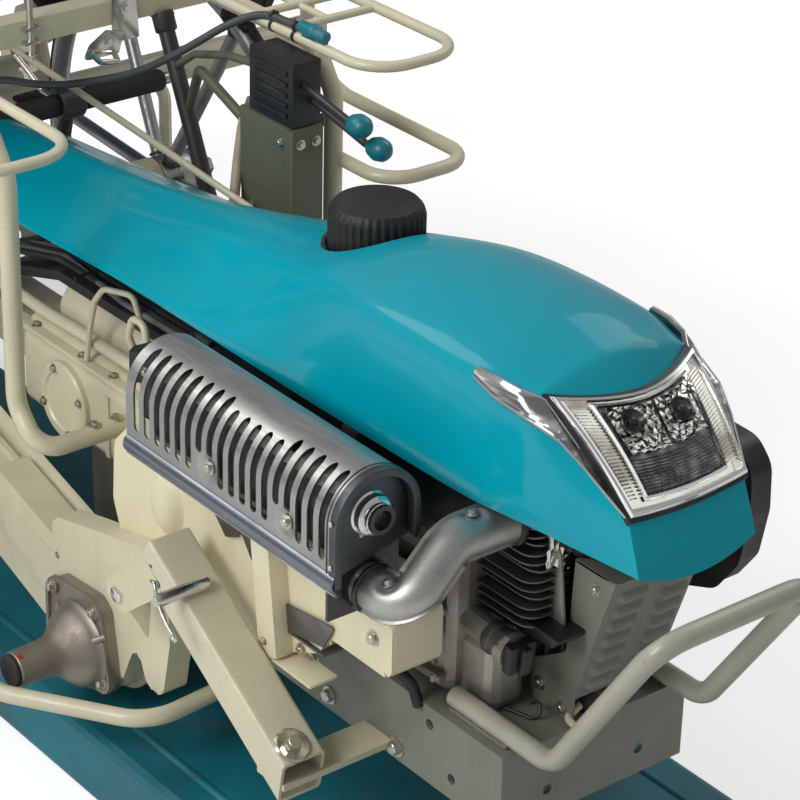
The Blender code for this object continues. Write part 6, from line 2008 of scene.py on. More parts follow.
# Recoil and flywheel cover: a moulded black plastic bowl on the engine's left, screwed to the crankcase,
# with slots for the cooling air and a raised ring round the starter.
COVER_OUTLINE = (
    (0.64, 0.335), (0.8, 0.335), (0.845, 0.352), (0.868, 0.385), (0.876, 0.43),
    (0.874, 0.47), (0.856, 0.488), (0.72, 0.492), (0.665, 0.478), (0.64, 0.44),
)
bowl = plate(rounded(COVER_OUTLINE, 0.024, 6), 1, 0.1065, 0.132)
rounded_rim(bowl, 0.132, 0.011, 6)
rounded_rim(bowl, 0.1065, 0.003, 3)
gather(bowl, block((0.644, 0.0953, 0.35), (0.796, 0.11, 0.448)))
turned(
    bowl,
    ((-0.006, 0.052), (0.001, 0.0515), (0.0022, 0.049), (0.0022, 0.044), (0.0008, 0.0425), (-0.006, 0.0425)),
    (0.762, 0.1318, 0.415), (0, 1, 0), 56,
)
turned(bowl, ((-0.004, 0.0175), (0.0018, 0.0165), (0.0026, 0.014)), (0.762, 0.1318, 0.415), (0, 1, 0), 32)
for number in range(16):
    angle = 2 * math.pi * number / 16
    away = Vector((math.cos(angle), 0, math.sin(angle)))
    centre = Vector((0.762, 0.1312, 0.415))
    swept(
        bowl, [centre + away * 0.0205, centre + away * 0.03, centre + away * 0.0395], [0.0011, 0.0016, 0.0011],
        10,
    )
for number in range(7):
    low = 0.35 + 0.014 * number
    swept(
        bowl,
        [
            Vector((0.656, 0.1316, low)), Vector((0.666, 0.1322, low)), Vector((0.688, 0.1322, low)),
            Vector((0.696, 0.1316, low)),
        ],
        [0.0008, 0.0018, 0.0018, 0.0008], 10,
    )
starter_cover = finished("starter_cover", bowl, black_plastic, 0, 40)
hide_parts("engine_cover")
dress(black_plastic, "fuel_tank")
screws(
    "starter_cover_screws",
    [
        ((x, 0.1318, z), (0, 1, 0), 0.0042)
        for x, z in ((0.662, 0.346), (0.846, 0.366), (0.858, 0.474), (0.676, 0.47))
    ],
    zinc,
)


# Gear case: a cast iron housing in cream enamel behind the engine, narrower above, tapered below, with a
# bolted seam, a round bearing boss each side, a dipstick, and a filler plug on top.
def tapered(rows, front, rear):
    """Lofts a housing along the machine: each row is (half width, height) at the rear, then at the front."""
    bm = bmesh.new()
    rings = []
    for x, row in ((rear, [p[0] for p in rows]), (front, [p[1] for p in rows])):
        ring = [bm.verts.new((x, -half, z)) for half, z in row] + [
            bm.verts.new((x, half, z))
            for half, z in reversed(row)
        ]
        rings.append(ring)
    for index in range(len(rings[0])):
        after = (index + 1) % len(rings[0])
        bm.faces.new((rings[0][index], rings[0][after], rings[1][after], rings[1][index]))
    bm.faces.new(rings[0])
    bm.faces.new(rings[1])
    return bm


GEAR_CASE_HALF = 0.085
case_low = tapered(
    (
        ((0.05, 0.236), (0.066, 0.236)), ((GEAR_CASE_HALF, 0.266), (GEAR_CASE_HALF, 0.256)),
        ((GEAR_CASE_HALF, 0.33), (GEAR_CASE_HALF, 0.33)), ((0.074, 0.352), (0.074, 0.352)),
    ),
    0.4294, 0.08,
)
bmesh.ops.bevel(
    case_low, geom=case_low.edges[:], offset=0.006, segments=4, profile=0.5, affect="EDGES", clamp_overlap=True,
)
case_top = tapered(
    (((0.062, 0.345), (0.062, 0.345)), ((0.062, 0.372), (0.062, 0.386)), ((0.048, 0.392), (0.05, 0.4))), 0.429,
    0.11,
)
bmesh.ops.bevel(
    case_top, geom=case_top.edges[:], offset=0.007, segments=4, profile=0.5, affect="EDGES", clamp_overlap=True,
)
gather(case_low, case_top)
for side in (-1, 1):
    turned(
        case_low,
        ((-0.01, 0.04), (0.005, 0.0398), (0.007, 0.0375), (0.007, 0.03), (0.0052, 0.0285), (0.0052, 0.01)),
        (0.16, side * GEAR_CASE_HALF, 0.292), (0, side, 0), 48,
    )
    for x in (0.232, 0.3, 0.368):
        gather(
            case_low,
            plate(
                ((x - 0.003, 0.262), (x + 0.003, 0.262), (x + 0.003, 0.326), (x - 0.003, 0.326)), 1,
                *sorted((side * 0.0835, side * 0.0872)),
            ),
        )
housing = finished("gear_housing", case_low, cream, 0, 40)
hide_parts("gear_case")
seam = bmesh.new()
for side in (-1, 1):
    gather(
        seam,
        plate(
            ((0.078, 0.3405), (0.4285, 0.3405), (0.4285, 0.3465), (0.078, 0.3465)), 1,
            *sorted((side * 0.07, side * 0.0885)),
        ),
    )
finished("gear_housing_seam", seam, cream, 0.0012)
bolts = [
    ((x, side * 0.08, 0.3465), (0, 0, 1), 0.0036)
    for side in (-1, 1)
    for x in (0.1, 0.182, 0.235, 0.318, 0.384)
]
for side in (-1, 1):
    for angle in (20, 110, 200, 290):
        bolts.append((
            (
                0.16 + 0.0335 * math.cos(math.radians(angle)), side * 0.092,
                0.292 + 0.0335 * math.sin(math.radians(angle)),
            ),
            (0, side, 0), 0.0032,
        ))
screws("gear_housing_bolts", bolts, zinc)
plug = turned(
    bmesh.new(),
    (
        (-0.003, 0.015), (0.003, 0.015), (0.004, 0.0128), (0.004, 0.011), (0.013, 0.0105), (0.0145, 0.009),
        (0.015, 0.003),
    ),
    (0.15, -0.018, 0.3945), (0, 0, 1), 28,
)
turned(
    plug, ((0, 0.0052), (0.02, 0.0048), (0.022, 0.0078), (0.026, 0.0078), (0.028, 0.006)), (0.205, 0.03, 0.395),
    (0, 0, 1), 24,
)
finished("gear_oil_filler", plug, black_plastic)


# Rails along the gear case: a bent cream pipe guides the cables forward on the right, with two welded wire
# hooks over it. A thin dark tray above it keeps mud off the cables; its black is also painted shade for the gear
# case's top under the hood.
tube(
    "cable_guide_pipe",
    (
        (-0.01, -0.071, 0.352), (0.034, -0.071, 0.3605), (0.11, -0.0725, 0.361), (0.18, -0.073, 0.364),
        (0.25, -0.073, 0.364), (0.29, -0.073, 0.369), (0.34, -0.0715, 0.392), (0.38, -0.06, 0.394),
    ),
    0.0062, 0.03, cream,
)
tube(
    "cable_guide_foot", ((-0.012, -0.071, 0.352), (-0.03, -0.045, 0.325), (-0.04, -0.018, 0.296)), 0.006, 0.02,
    cream,
)
tube(
    "cable_hook_rear",
    (
        (0.193, -0.0825, 0.348), (0.201, -0.083, 0.385), (0.21, -0.0825, 0.416), (0.218, -0.078, 0.43),
        (0.246, -0.064, 0.43), (0.252, -0.058, 0.398),
    ),
    0.0029, 0.009, cream, 12,
)
tube(
    "cable_hook_front",
    (
        (0.262, -0.07, 0.37), (0.262, -0.08, 0.4), (0.269, -0.08, 0.421), (0.289, -0.08, 0.421),
        (0.293, -0.08, 0.395), (0.292, -0.072, 0.37),
    ),
    0.0036, 0.009, cream, 12,
)
tab = plate(
    rounded(((0.268, 0.364), (0.292, 0.364), (0.294, 0.392), (0.283, 0.4035), (0.272, 0.392)), 0.004), 1,
    -0.079, -0.0765,
)
finished("cable_hook_tab", tab, cream, 0.0008)
# The tray's black is partly painted shade for the gear case's top under the hood.
tray = bmesh.new()
rows = []
for x, wide, high in (
    (-0.085, 0.034, 0.322), (0.02, 0.052, 0.372), (0.11, 0.06, 0.4022), (0.24, 0.06, 0.403),
    (0.33, 0.058, 0.4034),
):
    rows.append([
        tray.verts.new((x, y * wide, high + lift))
        for y, lift in (
            (-1, -0.01), (-1, 0.0), (-0.9, 0.002), (0.9, 0.002), (1, 0.0), (1, -0.01), (0.97, -0.01),
            (0.97, -0.0015), (-0.97, -0.0015), (-0.97, -0.01),
        )
    ])
skin(tray, rows)
finished("cable_tray", tray, black_plastic, 0.0004)


# Control cables: black and grey sheathed steel cables that run in a loose bundle from the frame's spine,
# over the tray and under the hood, to the engine and the side clutches.
CABLES_END = 0.428
sheath = moulded("cable_sheath_black", (0.014, 0.014, 0.014), (0.075, 0.075, 0.07), 0.42, 900, 0.00003)
grey_sheath = moulded("cable_sheath_grey", (0.115, 0.113, 0.108), (0.22, 0.215, 0.2), 0.46, 900, 0.00003)
CABLE_RUNS = (
    (
        "a", sheath, 0.0034,
        (
            (-0.2, -0.012, 0.3036), (-0.1, -0.02, 0.33), (0.01, -0.045, 0.383), (0.1, -0.052, 0.4095),
            (0.22, -0.05, 0.4095), (0.33, -0.046, 0.4095), (CABLES_END, -0.03, 0.418),
        ),
    ),
    (
        "b", grey_sheath, 0.003,
        (
            (-0.2, -0.004, 0.3033), (-0.1, -0.01, 0.332), (0.01, -0.037, 0.384), (0.1, -0.044, 0.4092),
            (0.22, -0.057, 0.41), (0.33, -0.053, 0.409), (CABLES_END, -0.038, 0.416),
        ),
    ),
    (
        "c", sheath, 0.0028,
        (
            (-0.2, 0.004, 0.3031), (-0.11, -0.002, 0.33), (0.0, -0.028, 0.382), (0.1, -0.036, 0.409),
            (0.22, -0.04, 0.4088), (0.33, -0.038, 0.409), (CABLES_END, -0.022, 0.418),
        ),
    ),
    (
        "d", grey_sheath, 0.0026,
        (
            (-0.2, 0.011, 0.3029), (-0.11, 0.006, 0.33), (0.0, -0.018, 0.38), (0.1, -0.028, 0.4088),
            (0.22, -0.03, 0.4086), (0.33, -0.03, 0.4088), (CABLES_END, -0.014, 0.42),
        ),
    ),
    (
        "e", sheath, 0.0036,
        (
            (-0.2, 0.019, 0.3038), (-0.12, 0.02, 0.325), (-0.01, 0.02, 0.375), (0.1, 0.022, 0.4098),
            (0.22, 0.02, 0.4098), (0.33, 0.01, 0.4098), (CABLES_END, 0.0, 0.42),
        ),
    ),
)
for label, finish, radius, points in CABLE_RUNS:
    tube("control_cable_" + label, points, radius, 0.06, finish, 12)
ties = bmesh.new()
for x, y, z, wide in ((-0.185, 0.003, 0.306, 0.022), (0.15, -0.03, 0.41, 0.036)):
    swept(
        ties,
        [
            Vector((x, y - wide, z - 0.004)), Vector((x, y - wide, z + 0.002)), Vector((x, y, z + 0.0045)),
            Vector((x, y + wide, z + 0.002)), Vector((x, y + wide, z - 0.004)),
        ],
        0.0012, 8,
    )
finished("cable_clips", ties, black_plastic)


# Axle tube: cast aluminium between the two swing cases, with a bolted flange at each end and a clamp
# round the middle.
dress(warm_cast, "axle_tube")
bm = bmesh.new()
for side in (-1, 1):
    turned(
        bm, ((0, 0.038), (0.001, 0.039), (0.007, 0.039), (0.008, 0.0375)), (-0.22, side * 0.1085, 0.3),
        (0, side, 0), 40,
    )
turned(
    bm, ((-0.016, 0.0335), (-0.015, 0.0352), (0.015, 0.0352), (0.016, 0.0335)), (-0.22, 0, 0.3), (0, 1, 0), 40,
)
finished("axle_tube_collars", bm, warm_cast, 0, 40)
screws(
    "axle_tube_bolts",
    [
        (
            (
                -0.22 + 0.0345 * math.cos(math.radians(a)), side * 0.1088,
                0.3 + 0.0345 * math.sin(math.radians(a)),
            ),
            (0, -side, 0), 0.003,
        )
        for side in (-1, 1)
        for a in (30, 90, 150, 210, 270, 330)
    ],
    zinc,
)


# Main frame: welded square and round tube in cream enamel. Weld beads show at each joint, and the cross tube's
# open ends carry the marker cheeks.
dress(cream, "main_frame", "rear_beam")


def weld(bm, points, radius=0.0022, closed=False):
    """A ropy weld bead along a joint."""
    dense = []
    count = len(points) if closed else len(points) - 1
    for index in range(count):
        start, stop = Vector(points[index]), Vector(points[(index + 1) % len(points)])
        steps = max(2, int((stop - start).length / 0.0022))
        dense += [start.lerp(stop, step / steps) for step in range(steps)]
    if not closed:
        dense.append(Vector(points[-1]))
    radii = [radius * (0.82 + 0.18 * math.sin(index * 1.9)) for index in range(len(dense))]
    return swept(bm, dense, radii, 8, closed)


def circle(centre, out, radius, count=24):
    turn = Vector(out).normalized().to_track_quat("Z", "Y").to_matrix()
    return [
        Vector(centre) + turn @ Vector((
            radius * math.cos(2 * math.pi * n / count), radius * math.sin(2 * math.pi * n / count), 0,
        ))
        for n in range(count)
    ]


bm = bmesh.new()
weld(bm, ((-0.534, -0.0255, 0.2505), (-0.534, 0.0255, 0.2505)))
weld(bm, ((-0.535, -0.0255, 0.2998), (-0.535, 0.0255, 0.2998)))
for side in (-1, 1):
    weld(bm, ((-0.534, side * 0.0255, 0.2505), (-0.534, side * 0.0255, 0.2995)))
    weld(bm, ((-0.525, side * 0.08, 0.279), (-0.48, side * 0.034, 0.279)))
    weld(bm, circle((-0.5345, side * 0.4675, 0.275), (1, 0, 0), 0.0092), closed=True)
    weld(bm, ((-0.573, side * 0.686, 0.29), (-0.573, side * 0.7, 0.2905)))
finished("frame_welds", bm, dark_casting)
weld_paint = bmesh.new()
for side in (-1, 1):
    weld(weld_paint, ((-0.0575, side * 0.17, 0.5985), (-0.0325, side * 0.17, 0.5985)))
    weld(weld_paint, ((-0.0575, side * 0.19, 0.5985), (-0.0325, side * 0.19, 0.5985)))
finished("beam_welds", weld_paint, cream)


# Rear beam fittings: plastic end plugs, a galvanised strap with a hook that holds a spare rope, and a thin
# zinc drop rod that steadies the table.
caps = bmesh.new()
for side in (-1, 1):
    gather(
        caps,
        block(
            (-0.057, min(side * 0.478, side * 0.4835), 0.5745),
            (-0.033, max(side * 0.478, side * 0.4835), 0.5985),
        ),
    )
finished("beam_end_plugs", caps, black_plastic, 0.0015)
strap = bmesh.new()
gather(
    strap,
    plate(rounded(((0.098, 0.604), (0.098, 0.556), (0.13, 0.556), (0.126, 0.604)), 0.003), 0, -0.032, -0.03),
)
gather(strap, block((-0.06, 0.1, 0.6035), (-0.03, 0.126, 0.6055)))
gather(
    strap,
    plate(
        rounded(((0.062, 0.545), (0.104, 0.545), (0.11, 0.566), (0.09, 0.572), (0.07, 0.56)), 0.004), 0, -0.03,
        -0.0278,
    ),
)
swept(
    strap,
    rounded_path(
        [(-0.03, 0.098, 0.548), (-0.012, 0.092, 0.544), (-0.01, 0.07, 0.548), (-0.012, 0.06, 0.56)], 0.006, 4,
    ),
    0.003, 12,
)
finished("beam_strap", strap, plated, 0.0005)
screws(
    "beam_strap_screws",
    [((-0.0295, 0.114, 0.59), (1, 0, 0), 0.0046), ((-0.0278, 0.092, 0.56), (1, 0, 0), 0.004)], plated,
)
tube(
    "beam_drop_rod",
    (
        (-0.029, 0.003, 0.56), (-0.029, 0.003, 0.622), (-0.029, 0.003, 0.66), (-0.1, 0.003, 0.742),
        (-0.132, 0.003, 0.757),
    ),
    0.0034, 0.02, zinc, 12,
)
screws("beam_rod_nuts", [((-0.029, 0.003, 0.566), (0, 0, -1), 0.0042)], zinc)
rod_hold = bmesh.new()
gather(
    rod_hold, block((-0.0325, -0.006, 0.576), (-0.025, 0.012, 0.58)),
    block((-0.0325, -0.006, 0.59), (-0.025, 0.012, 0.594)),
)
finished("beam_rod_clip", rod_hold, zinc, 0.0006)


# Struts and levers on the left: a black strut from the beam down to the swing case, a cross shaft in a black
# sleeve on two black posts, and a cream control rod that runs beside the hood.
SHAFT_PLACE = -0.14
SHAFT_HEIGHT = 0.454
black_steel = enamel("black_enamel", (0.018, 0.018, 0.019), (0.07, 0.068, 0.06), 0.4, 0.15, 0.6)
black_steel.slot = "steel"
bm = bmesh.new()
strut_top, strut_low = Vector((-0.036, 0.161, 0.5738)), Vector((0.136, 0.148, 0.25))
swept(bm, [strut_top, strut_top.lerp(strut_low, 0.5), strut_low], 0.0085, 20)
turned(bm, ((0, 0.0115), (0.018, 0.0115), (0.02, 0.01)), strut_top, strut_low - strut_top, 20)
gather(bm, block((-0.056, 0.15, 0.57), (-0.03, 0.172, 0.5738)))
gather(
    bm, plate(rounded(((0.122, 0.262), (0.15, 0.25), (0.158, 0.232), (0.126, 0.24)), 0.004), 1, 0.144, 0.152),
)
for side in (-1, 1):
    post = [
        Vector((SHAFT_PLACE, side * 0.112, SHAFT_HEIGHT)), Vector((-0.15, side * 0.11, 0.41)),
        Vector((-0.196, side * 0.098, 0.338)), Vector((-0.206, side * 0.096, 0.3265)),
    ]
    swept(bm, rounded_path(post, 0.03, 6), 0.008, 18)
    turned(
        bm, ((-0.014, 0.015), (-0.012, 0.017), (0.012, 0.017), (0.014, 0.015)),
        (SHAFT_PLACE, side * 0.112, SHAFT_HEIGHT), (0, 1, 0), 28,
    )
finished("left_strut_and_posts", bm, black_steel, 0, 40)
shaft = bmesh.new()
swept(
    shaft, [Vector((SHAFT_PLACE, -0.205, SHAFT_HEIGHT)), Vector((SHAFT_PLACE, 0.235, SHAFT_HEIGHT))], 0.0065,
    18,
)
finished("cross_shaft", shaft, zinc)
sleeve = bmesh.new()
for start, stop in ((0.128, 0.228), (-0.098, 0.098), (-0.198, -0.128)):
    swept(
        sleeve,
        [
            Vector((SHAFT_PLACE, start, SHAFT_HEIGHT)), Vector((SHAFT_PLACE, start + 0.003, SHAFT_HEIGHT)),
            Vector((SHAFT_PLACE, stop - 0.003, SHAFT_HEIGHT)), Vector((SHAFT_PLACE, stop, SHAFT_HEIGHT)),
        ],
        [0.01, 0.0118, 0.0118, 0.01], 24,
    )
finished("cross_shaft_sleeves", sleeve, rubber)
rod_points = [
    Vector((-0.205, 0.088, 0.4985)), Vector((0.0, 0.0875, 0.485)), Vector((0.215, 0.093, 0.465)),
    Vector((0.24, 0.093, 0.442)), Vector((0.24, 0.07, 0.396)),
]
tube("control_rod", rod_points, 0.0036, 0.02, cream, 16)
rod_end = bmesh.new()
swept(
    rod_end,
    rounded_path(
        [
            (-0.196, 0.088, 0.498), (-0.208, 0.088, 0.4988), (-0.214, 0.092, 0.492), (-0.176, 0.103, 0.458),
            (-0.15, 0.106, 0.4545),
        ],
        0.006, 4,
    ),
    0.0034, 12,
)
turned(
    rod_end, ((-0.006, 0.0062), (-0.005, 0.007), (0.005, 0.007), (0.006, 0.0062)), (0.24, 0.07, 0.399),
    (0, 0, 1), 16,
)
finished("control_rod_ends", rod_end, zinc)


# Side clutch levers: a black moulded gate on an olive-grey pressed bracket, left of the tank. Two black arms
# with teal knobs come forward from it, and a flat link ties it to the strut.
BRACKET_INNER = 0.1195
gate = block((0.17, 0.1215, 0.548), (0.24, 0.1545, 0.612))
for number in range(5):
    gather(gate, block((0.178, 0.119, 0.556 + number * 0.0105), (0.232, 0.1222, 0.5605 + number * 0.0105)))
gather(gate, block((0.205, 0.1255, 0.43), (0.238, 0.15, 0.55)))
gather(
    gate, block((0.208, 0.12, 0.325), (0.234, 0.128, 0.436)),
    block((0.208, 0.0853, 0.325), (0.234, 0.128, 0.34)),
)
lever_gate = finished("lever_gate", gate, black_plastic, 0.003, 40)
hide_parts("lever_box")
olive = enamel("olive_grey_enamel", (0.115, 0.115, 0.075), (0.075, 0.075, 0.055), 0.45, 0.1, 0.7)
bracket = block((0.158, BRACKET_INNER, 0.432), (0.2395, 0.1245, 0.547))
gather(
    bracket, block((0.158, BRACKET_INNER, 0.432), (0.162, 0.156, 0.547)),
    block((0.158, 0.151, 0.432), (0.2395, 0.156, 0.547)),
    block((0.158, BRACKET_INNER, 0.543), (0.2395, 0.156, 0.547)),
)
gather(bracket, block((0.2385, BRACKET_INNER, 0.432), (0.2425, 0.156, 0.547)))
gather(bracket, block((0.19, BRACKET_INNER, 0.425), (0.2395, 0.1275, 0.434)))
finished("lever_bracket", bracket, olive, 0.0016)
link_bar = bmesh.new()
swept(
    link_bar,
    rounded_path(
        [
            (0.012, 0.16, 0.4835), (0.06, 0.14, 0.548), (0.094, 0.1375, 0.539), (0.15, 0.136, 0.52),
            (0.168, 0.133, 0.5),
        ],
        0.01, 4,
    ),
    0.0052, 14,
)
swept(
    link_bar,
    rounded_path(
        [(-0.01, 0.16, 0.525), (0.05, 0.142, 0.56), (0.11, 0.139, 0.578), (0.172, 0.138, 0.586)], 0.01, 4,
    ),
    0.004, 14,
)
finished("lever_links", link_bar, olive)
screws(
    "lever_bracket_screws",
    [
        ((0.2427, y, z), (1, 0, 0), 0.0036)
        for y, z in ((0.129, 0.44), (0.147, 0.44), (0.129, 0.532), (0.147, 0.532))
    ] + [((0.176, 0.1193, 0.45), (0, -1, 0), 0.0038), ((0.224, 0.1193, 0.53), (0, -1, 0), 0.0038)],
    zinc,
)
knob_teal = moulded("knob_teal", (0.0, 0.16, 0.2), (0.03, 0.17, 0.2), 0.36, 500, 0.00004, 0.2)
knobs = bmesh.new()
arms = bmesh.new()
for path in (
    ((0.236, 0.136, 0.59), (0.262, 0.134, 0.586), (0.312, 0.132, 0.578), (0.33, 0.13, 0.58)),
    ((0.236, 0.146, 0.572), (0.268, 0.146, 0.566), (0.322, 0.145, 0.556), (0.342, 0.144, 0.558)),
):
    swept(arms, rounded_path(path, 0.01, 4), 0.0038, 14)
    end = Vector(path[-1])
    turned(
        knobs,
        ((-0.014, 0.006), (-0.008, 0.0095), (0, 0.0115), (0.008, 0.0105), (0.014, 0.0068), (0.0155, 0.0025)),
        end, (1, -0.1, 0.12), 24,
    )
finished("lever_arms", arms, black_steel)
finished("lever_knobs", knobs, knob_teal, 0, 50)


# Hose beside the lever gate: a pale rubber fuel hose, pushed on a barbed stub. It runs down to the tank's
# left rail.
pale_rubber = moulded("pale_rubber", (0.42, 0.34, 0.24), (0.3, 0.25, 0.19), 0.5)
tube(
    "fuel_vent_hose",
    ((0.15, 0.132, 0.535), (0.146, 0.13, 0.515), (0.15, 0.122, 0.485), (0.172, 0.1, 0.44), (0.21, 0.08, 0.403)),
    0.0052, 0.02, pale_rubber,
)
stub = turned(
    bmesh.new(), ((-0.004, 0.0058), (0.004, 0.0062), (0.006, 0.004), (0.018, 0.004)), (0.15, 0.132, 0.533),
    (0.35, 0.05, 0.9), 20,
)
finished("fuel_vent_stub", stub, zinc)


# Wheels: paddy wheels of galvanised round steel. Six dished spokes are welded to a turned hub, and twelve
# black rubber lugs, moulded over a rubber hoop, grip the mud. A flanged nut holds each hub on its axle.
HUB_CENTRE = (-0.22, 0.3, 0.3)
galvanised = metal("galvanised_steel", (0.4, 0.41, 0.41), (0.2, 0.2, 0.19), 0.42, 260, 0.00006, spots=0.5)
lug_look = moulded("lug_rubber", (0.02, 0.02, 0.02), (0.105, 0.095, 0.075), 0.66, 520, 0.00016)
lug_look.slot = "lug_rubber"


def hoop(bm, centre, radius, thick, steps=120, around=14):
    """A ring of round section about the wheel's axle."""
    rows = []
    for step in range(steps):
        angle = 2 * math.pi * step / steps
        row = []
        for part in range(around):
            turn = 2 * math.pi * part / around
            reach = radius + thick * math.cos(turn)
            row.append(bm.verts.new((
                centre[0] + reach * math.cos(angle), centre[1] + thick * math.sin(turn),
                centre[2] + reach * math.sin(angle),
            )))
        rows.append(row)
    skin(bm, rows + rows[:1], True, False)
    return bm


def lug(angle):
    """One paddle: a tapered rubber bar with a rib down its face and a collar round the hoop."""
    bm = bmesh.new()
    rows = []
    for reach, half, thick in (
        (0.258, 0.026, 0.0085), (0.266, 0.0305, 0.0072), (0.284, 0.032, 0.0056), (0.2985, 0.0318, 0.0038),
        (0.2998, 0.03, 0.0024),
    ):
        row = []
        for turn in range(24):
            around = 2 * math.pi * turn / 24
            wide = half * math.copysign(abs(math.cos(around)) ** 0.35, math.cos(around))
            deep = thick * math.copysign(abs(math.sin(around)) ** 0.5, math.sin(around))
            row.append(bm.verts.new((reach, wide, deep)))
        rows.append(row)
    skin(bm, rows)
    for across in (-0.016, 0.0, 0.016):
        swept(
            bm,
            [Vector((0.262, across, 0.0075)), Vector((0.27, across, 0.0072)), Vector((0.2955, across, 0.004))],
            [0.0024, 0.0022, 0.0012], 8,
        )
        swept(
            bm,
            [
                Vector((0.262, across, -0.0075)), Vector((0.27, across, -0.0072)),
                Vector((0.2955, across, -0.004)),
            ],
            [0.0024, 0.0022, 0.0012], 8,
        )
    turned(
        bm, ((-0.017, 0.0066), (-0.015, 0.0082), (0.015, 0.0082), (0.017, 0.0066)), (0.2545, 0, 0), (0, 0, 1),
        18,
    )
    bm.transform(Matrix.Translation(HUB_CENTRE) @ Matrix.Rotation(-angle, 4, "Y"))
    return bm


for side, label in SIDES:
    body = "wheel_" + label
    rim = hoop(bmesh.new(), HUB_CENTRE, 0.244, 0.011)
    turned(rim, (
        (-0.0298, 0.019), (-0.03, 0.0235), (-0.0285, 0.025), (-0.012, 0.0255), (-0.009, 0.03), (0.005, 0.03),
        (0.008, 0.0255),
        (0.0285, 0.025), (0.03, 0.0235), (0.0298, 0.019),
    ), HUB_CENTRE, (0, 1, 0), 48)
    beads = bmesh.new()
    for number in range(6):
        angle = 2 * math.pi * number / 6
        away = Vector((math.cos(angle), 0, math.sin(angle)))
        inner = Vector(HUB_CENTRE) + Vector((0, -0.016, 0)) + away * 0.024
        outer = Vector(HUB_CENTRE) + away * 0.2445
        swept(rim, [inner, inner.lerp(outer, 0.5), outer], 0.0075, 18)
        weld(beads, circle(inner + away * 0.0035, outer - inner, 0.008, 20), 0.002, True)
        weld(
            beads, circle(outer - (outer - inner).normalized() * 0.0118, outer - inner, 0.0078, 20), 0.0019,
            True,
        )
    wheel = finished("paddy_wheel_" + label, sided(rim, side), galvanised, 0, 40, body=body)
    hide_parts("wheel_frame_" + label)
    finished("wheel_welds_" + label, sided(beads, side), dark_casting, 0, 50, body=body)
    rubber_ring = hoop(bmesh.new(), HUB_CENTRE, 0.259, 0.0048, 120, 12)
    for number in range(12):
        gather(rubber_ring, lug(2 * math.pi * number / 12))
    lugs = finished("paddy_lugs_" + label, sided(rubber_ring, side), lug_look, 0, 40, body=body)
    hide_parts("wheel_lugs_" + label)
    nut = turned(
        bmesh.new(), ((-0.001, 0.0185), (0.002, 0.0185), (0.003, 0.0165)), (-0.22, 0.3302, 0.3), (0, 1, 0), 36,
    )
    finished("hub_washer_" + label, sided(nut, side), zinc, body=body)
    screws(
        "hub_nut_" + label, [((-0.22, side * 0.3328, 0.3), (0, side, 0), 0.0108)], zinc, washer=1.1, body=body,
    )
    screws("hub_pin_" + label, [((-0.22 + 0.0255, side * 0.318, 0.3), (1, 0, 0), 0.004)], zinc, body=body)


# Seedling table: moulded blue plastic in four lanes. Fences part the lanes, long ribs keep the mats of
# seedlings sliding, and a lip with feed slots closes the low edge.
TABLE_HIGH = Vector((-0.15, 0, 0.79))
TABLE_FOOT = Vector((-0.68, 0, 0.365))
table_run = (TABLE_HIGH - TABLE_FOOT).normalized()
table_up = Vector((-table_run.z, 0, table_run.x))
TABLE_LENGTH = (TABLE_HIGH - TABLE_FOOT).length
table_blue = Finish("table_blue", 0.36, 0, 0.1)
table_blue.slot = "table_plastic"
table_soil = table_blue.between(table_blue.noise(9, 6), 0.48, 0.74)
table_scratch = table_blue.between(table_blue.noise(30, 3, table_blue.stretched((1, 9, 1))), 0.6, 0.75)
table_base = table_blue.blend(table_blue.noise(3), (0.02, 0.125, 0.3), (0.03, 0.165, 0.36))
table_base = table_blue.blend(table_soil * 0.55, table_base, (0.13, 0.15, 0.16))
table_blue.feed("Base Color", table_blue.blend(table_scratch * 0.4, table_base, (0.16, 0.26, 0.38)))
table_blue.feed("Roughness", table_blue.between(table_soil + table_scratch * 0.4, 0, 1.4, 0.26, 0.7))
table_blue.relief(table_blue.noise(600, 2) * 0.6 + table_scratch * 0.4, 0.00006)


def on_table(along, across, lift):
    return TABLE_FOOT + table_run * along + Vector((0, across, 0)) + table_up * lift


def table_bar(bm, along, across, lift, taper=0.0):
    """A bar on the table between two places along, across and above it."""
    points = []
    for a in along:
        for c in across:
            for h in lift:
                points.append(bm.verts.new(on_table(
                    a, c + (taper * (1 if c == across[0] else -1) if h == lift[1] else 0), h,
                )))
    for face in ((0, 1, 3, 2), (4, 6, 7, 5), (0, 4, 5, 1), (2, 3, 7, 6), (0, 2, 6, 4), (1, 5, 7, 3)):
        bm.faces.new([points[i] for i in face])
    return bm


TABLE_HALF = 0.575
bm = table_bar(bmesh.new(), (0, TABLE_LENGTH), (-TABLE_HALF, TABLE_HALF), (0.0, 0.004))
for number in range(5):
    middle = -TABLE_HALF + 0.2875 * number
    start, stop = max(middle - 0.0022, -TABLE_HALF), min(middle + 0.0022, TABLE_HALF)
    if number == 0:
        stop = -0.571
    if number == 4:
        start = 0.571
    table_bar(bm, (0.002, TABLE_LENGTH - 0.002), (start, stop), (0.0035, 0.0295), 0.0006)
    if number < 4:
        for rib in range(1, 8):
            at = middle + 0.2875 * rib / 8
            table_bar(bm, (0.045, TABLE_LENGTH - 0.015), (at - 0.0021, at + 0.0021), (0.0036, 0.0072), 0.0009)
        for at in (0.03, 0.33, 0.62):
            table_bar(bm, (at, at + 0.004), (middle + 0.004, middle + 0.2835), (0.0036, 0.0054), 0.0)
        for at in range(6):
            begin = middle + 0.016 + 0.0435 * at
            table_bar(bm, (0.001, 0.005), (begin, begin + 0.032), (0.0036, 0.017), 0.0012)
table_bar(bm, (TABLE_LENGTH - 0.006, TABLE_LENGTH - 0.0005), (-0.574, 0.574), (0.003, 0.012))
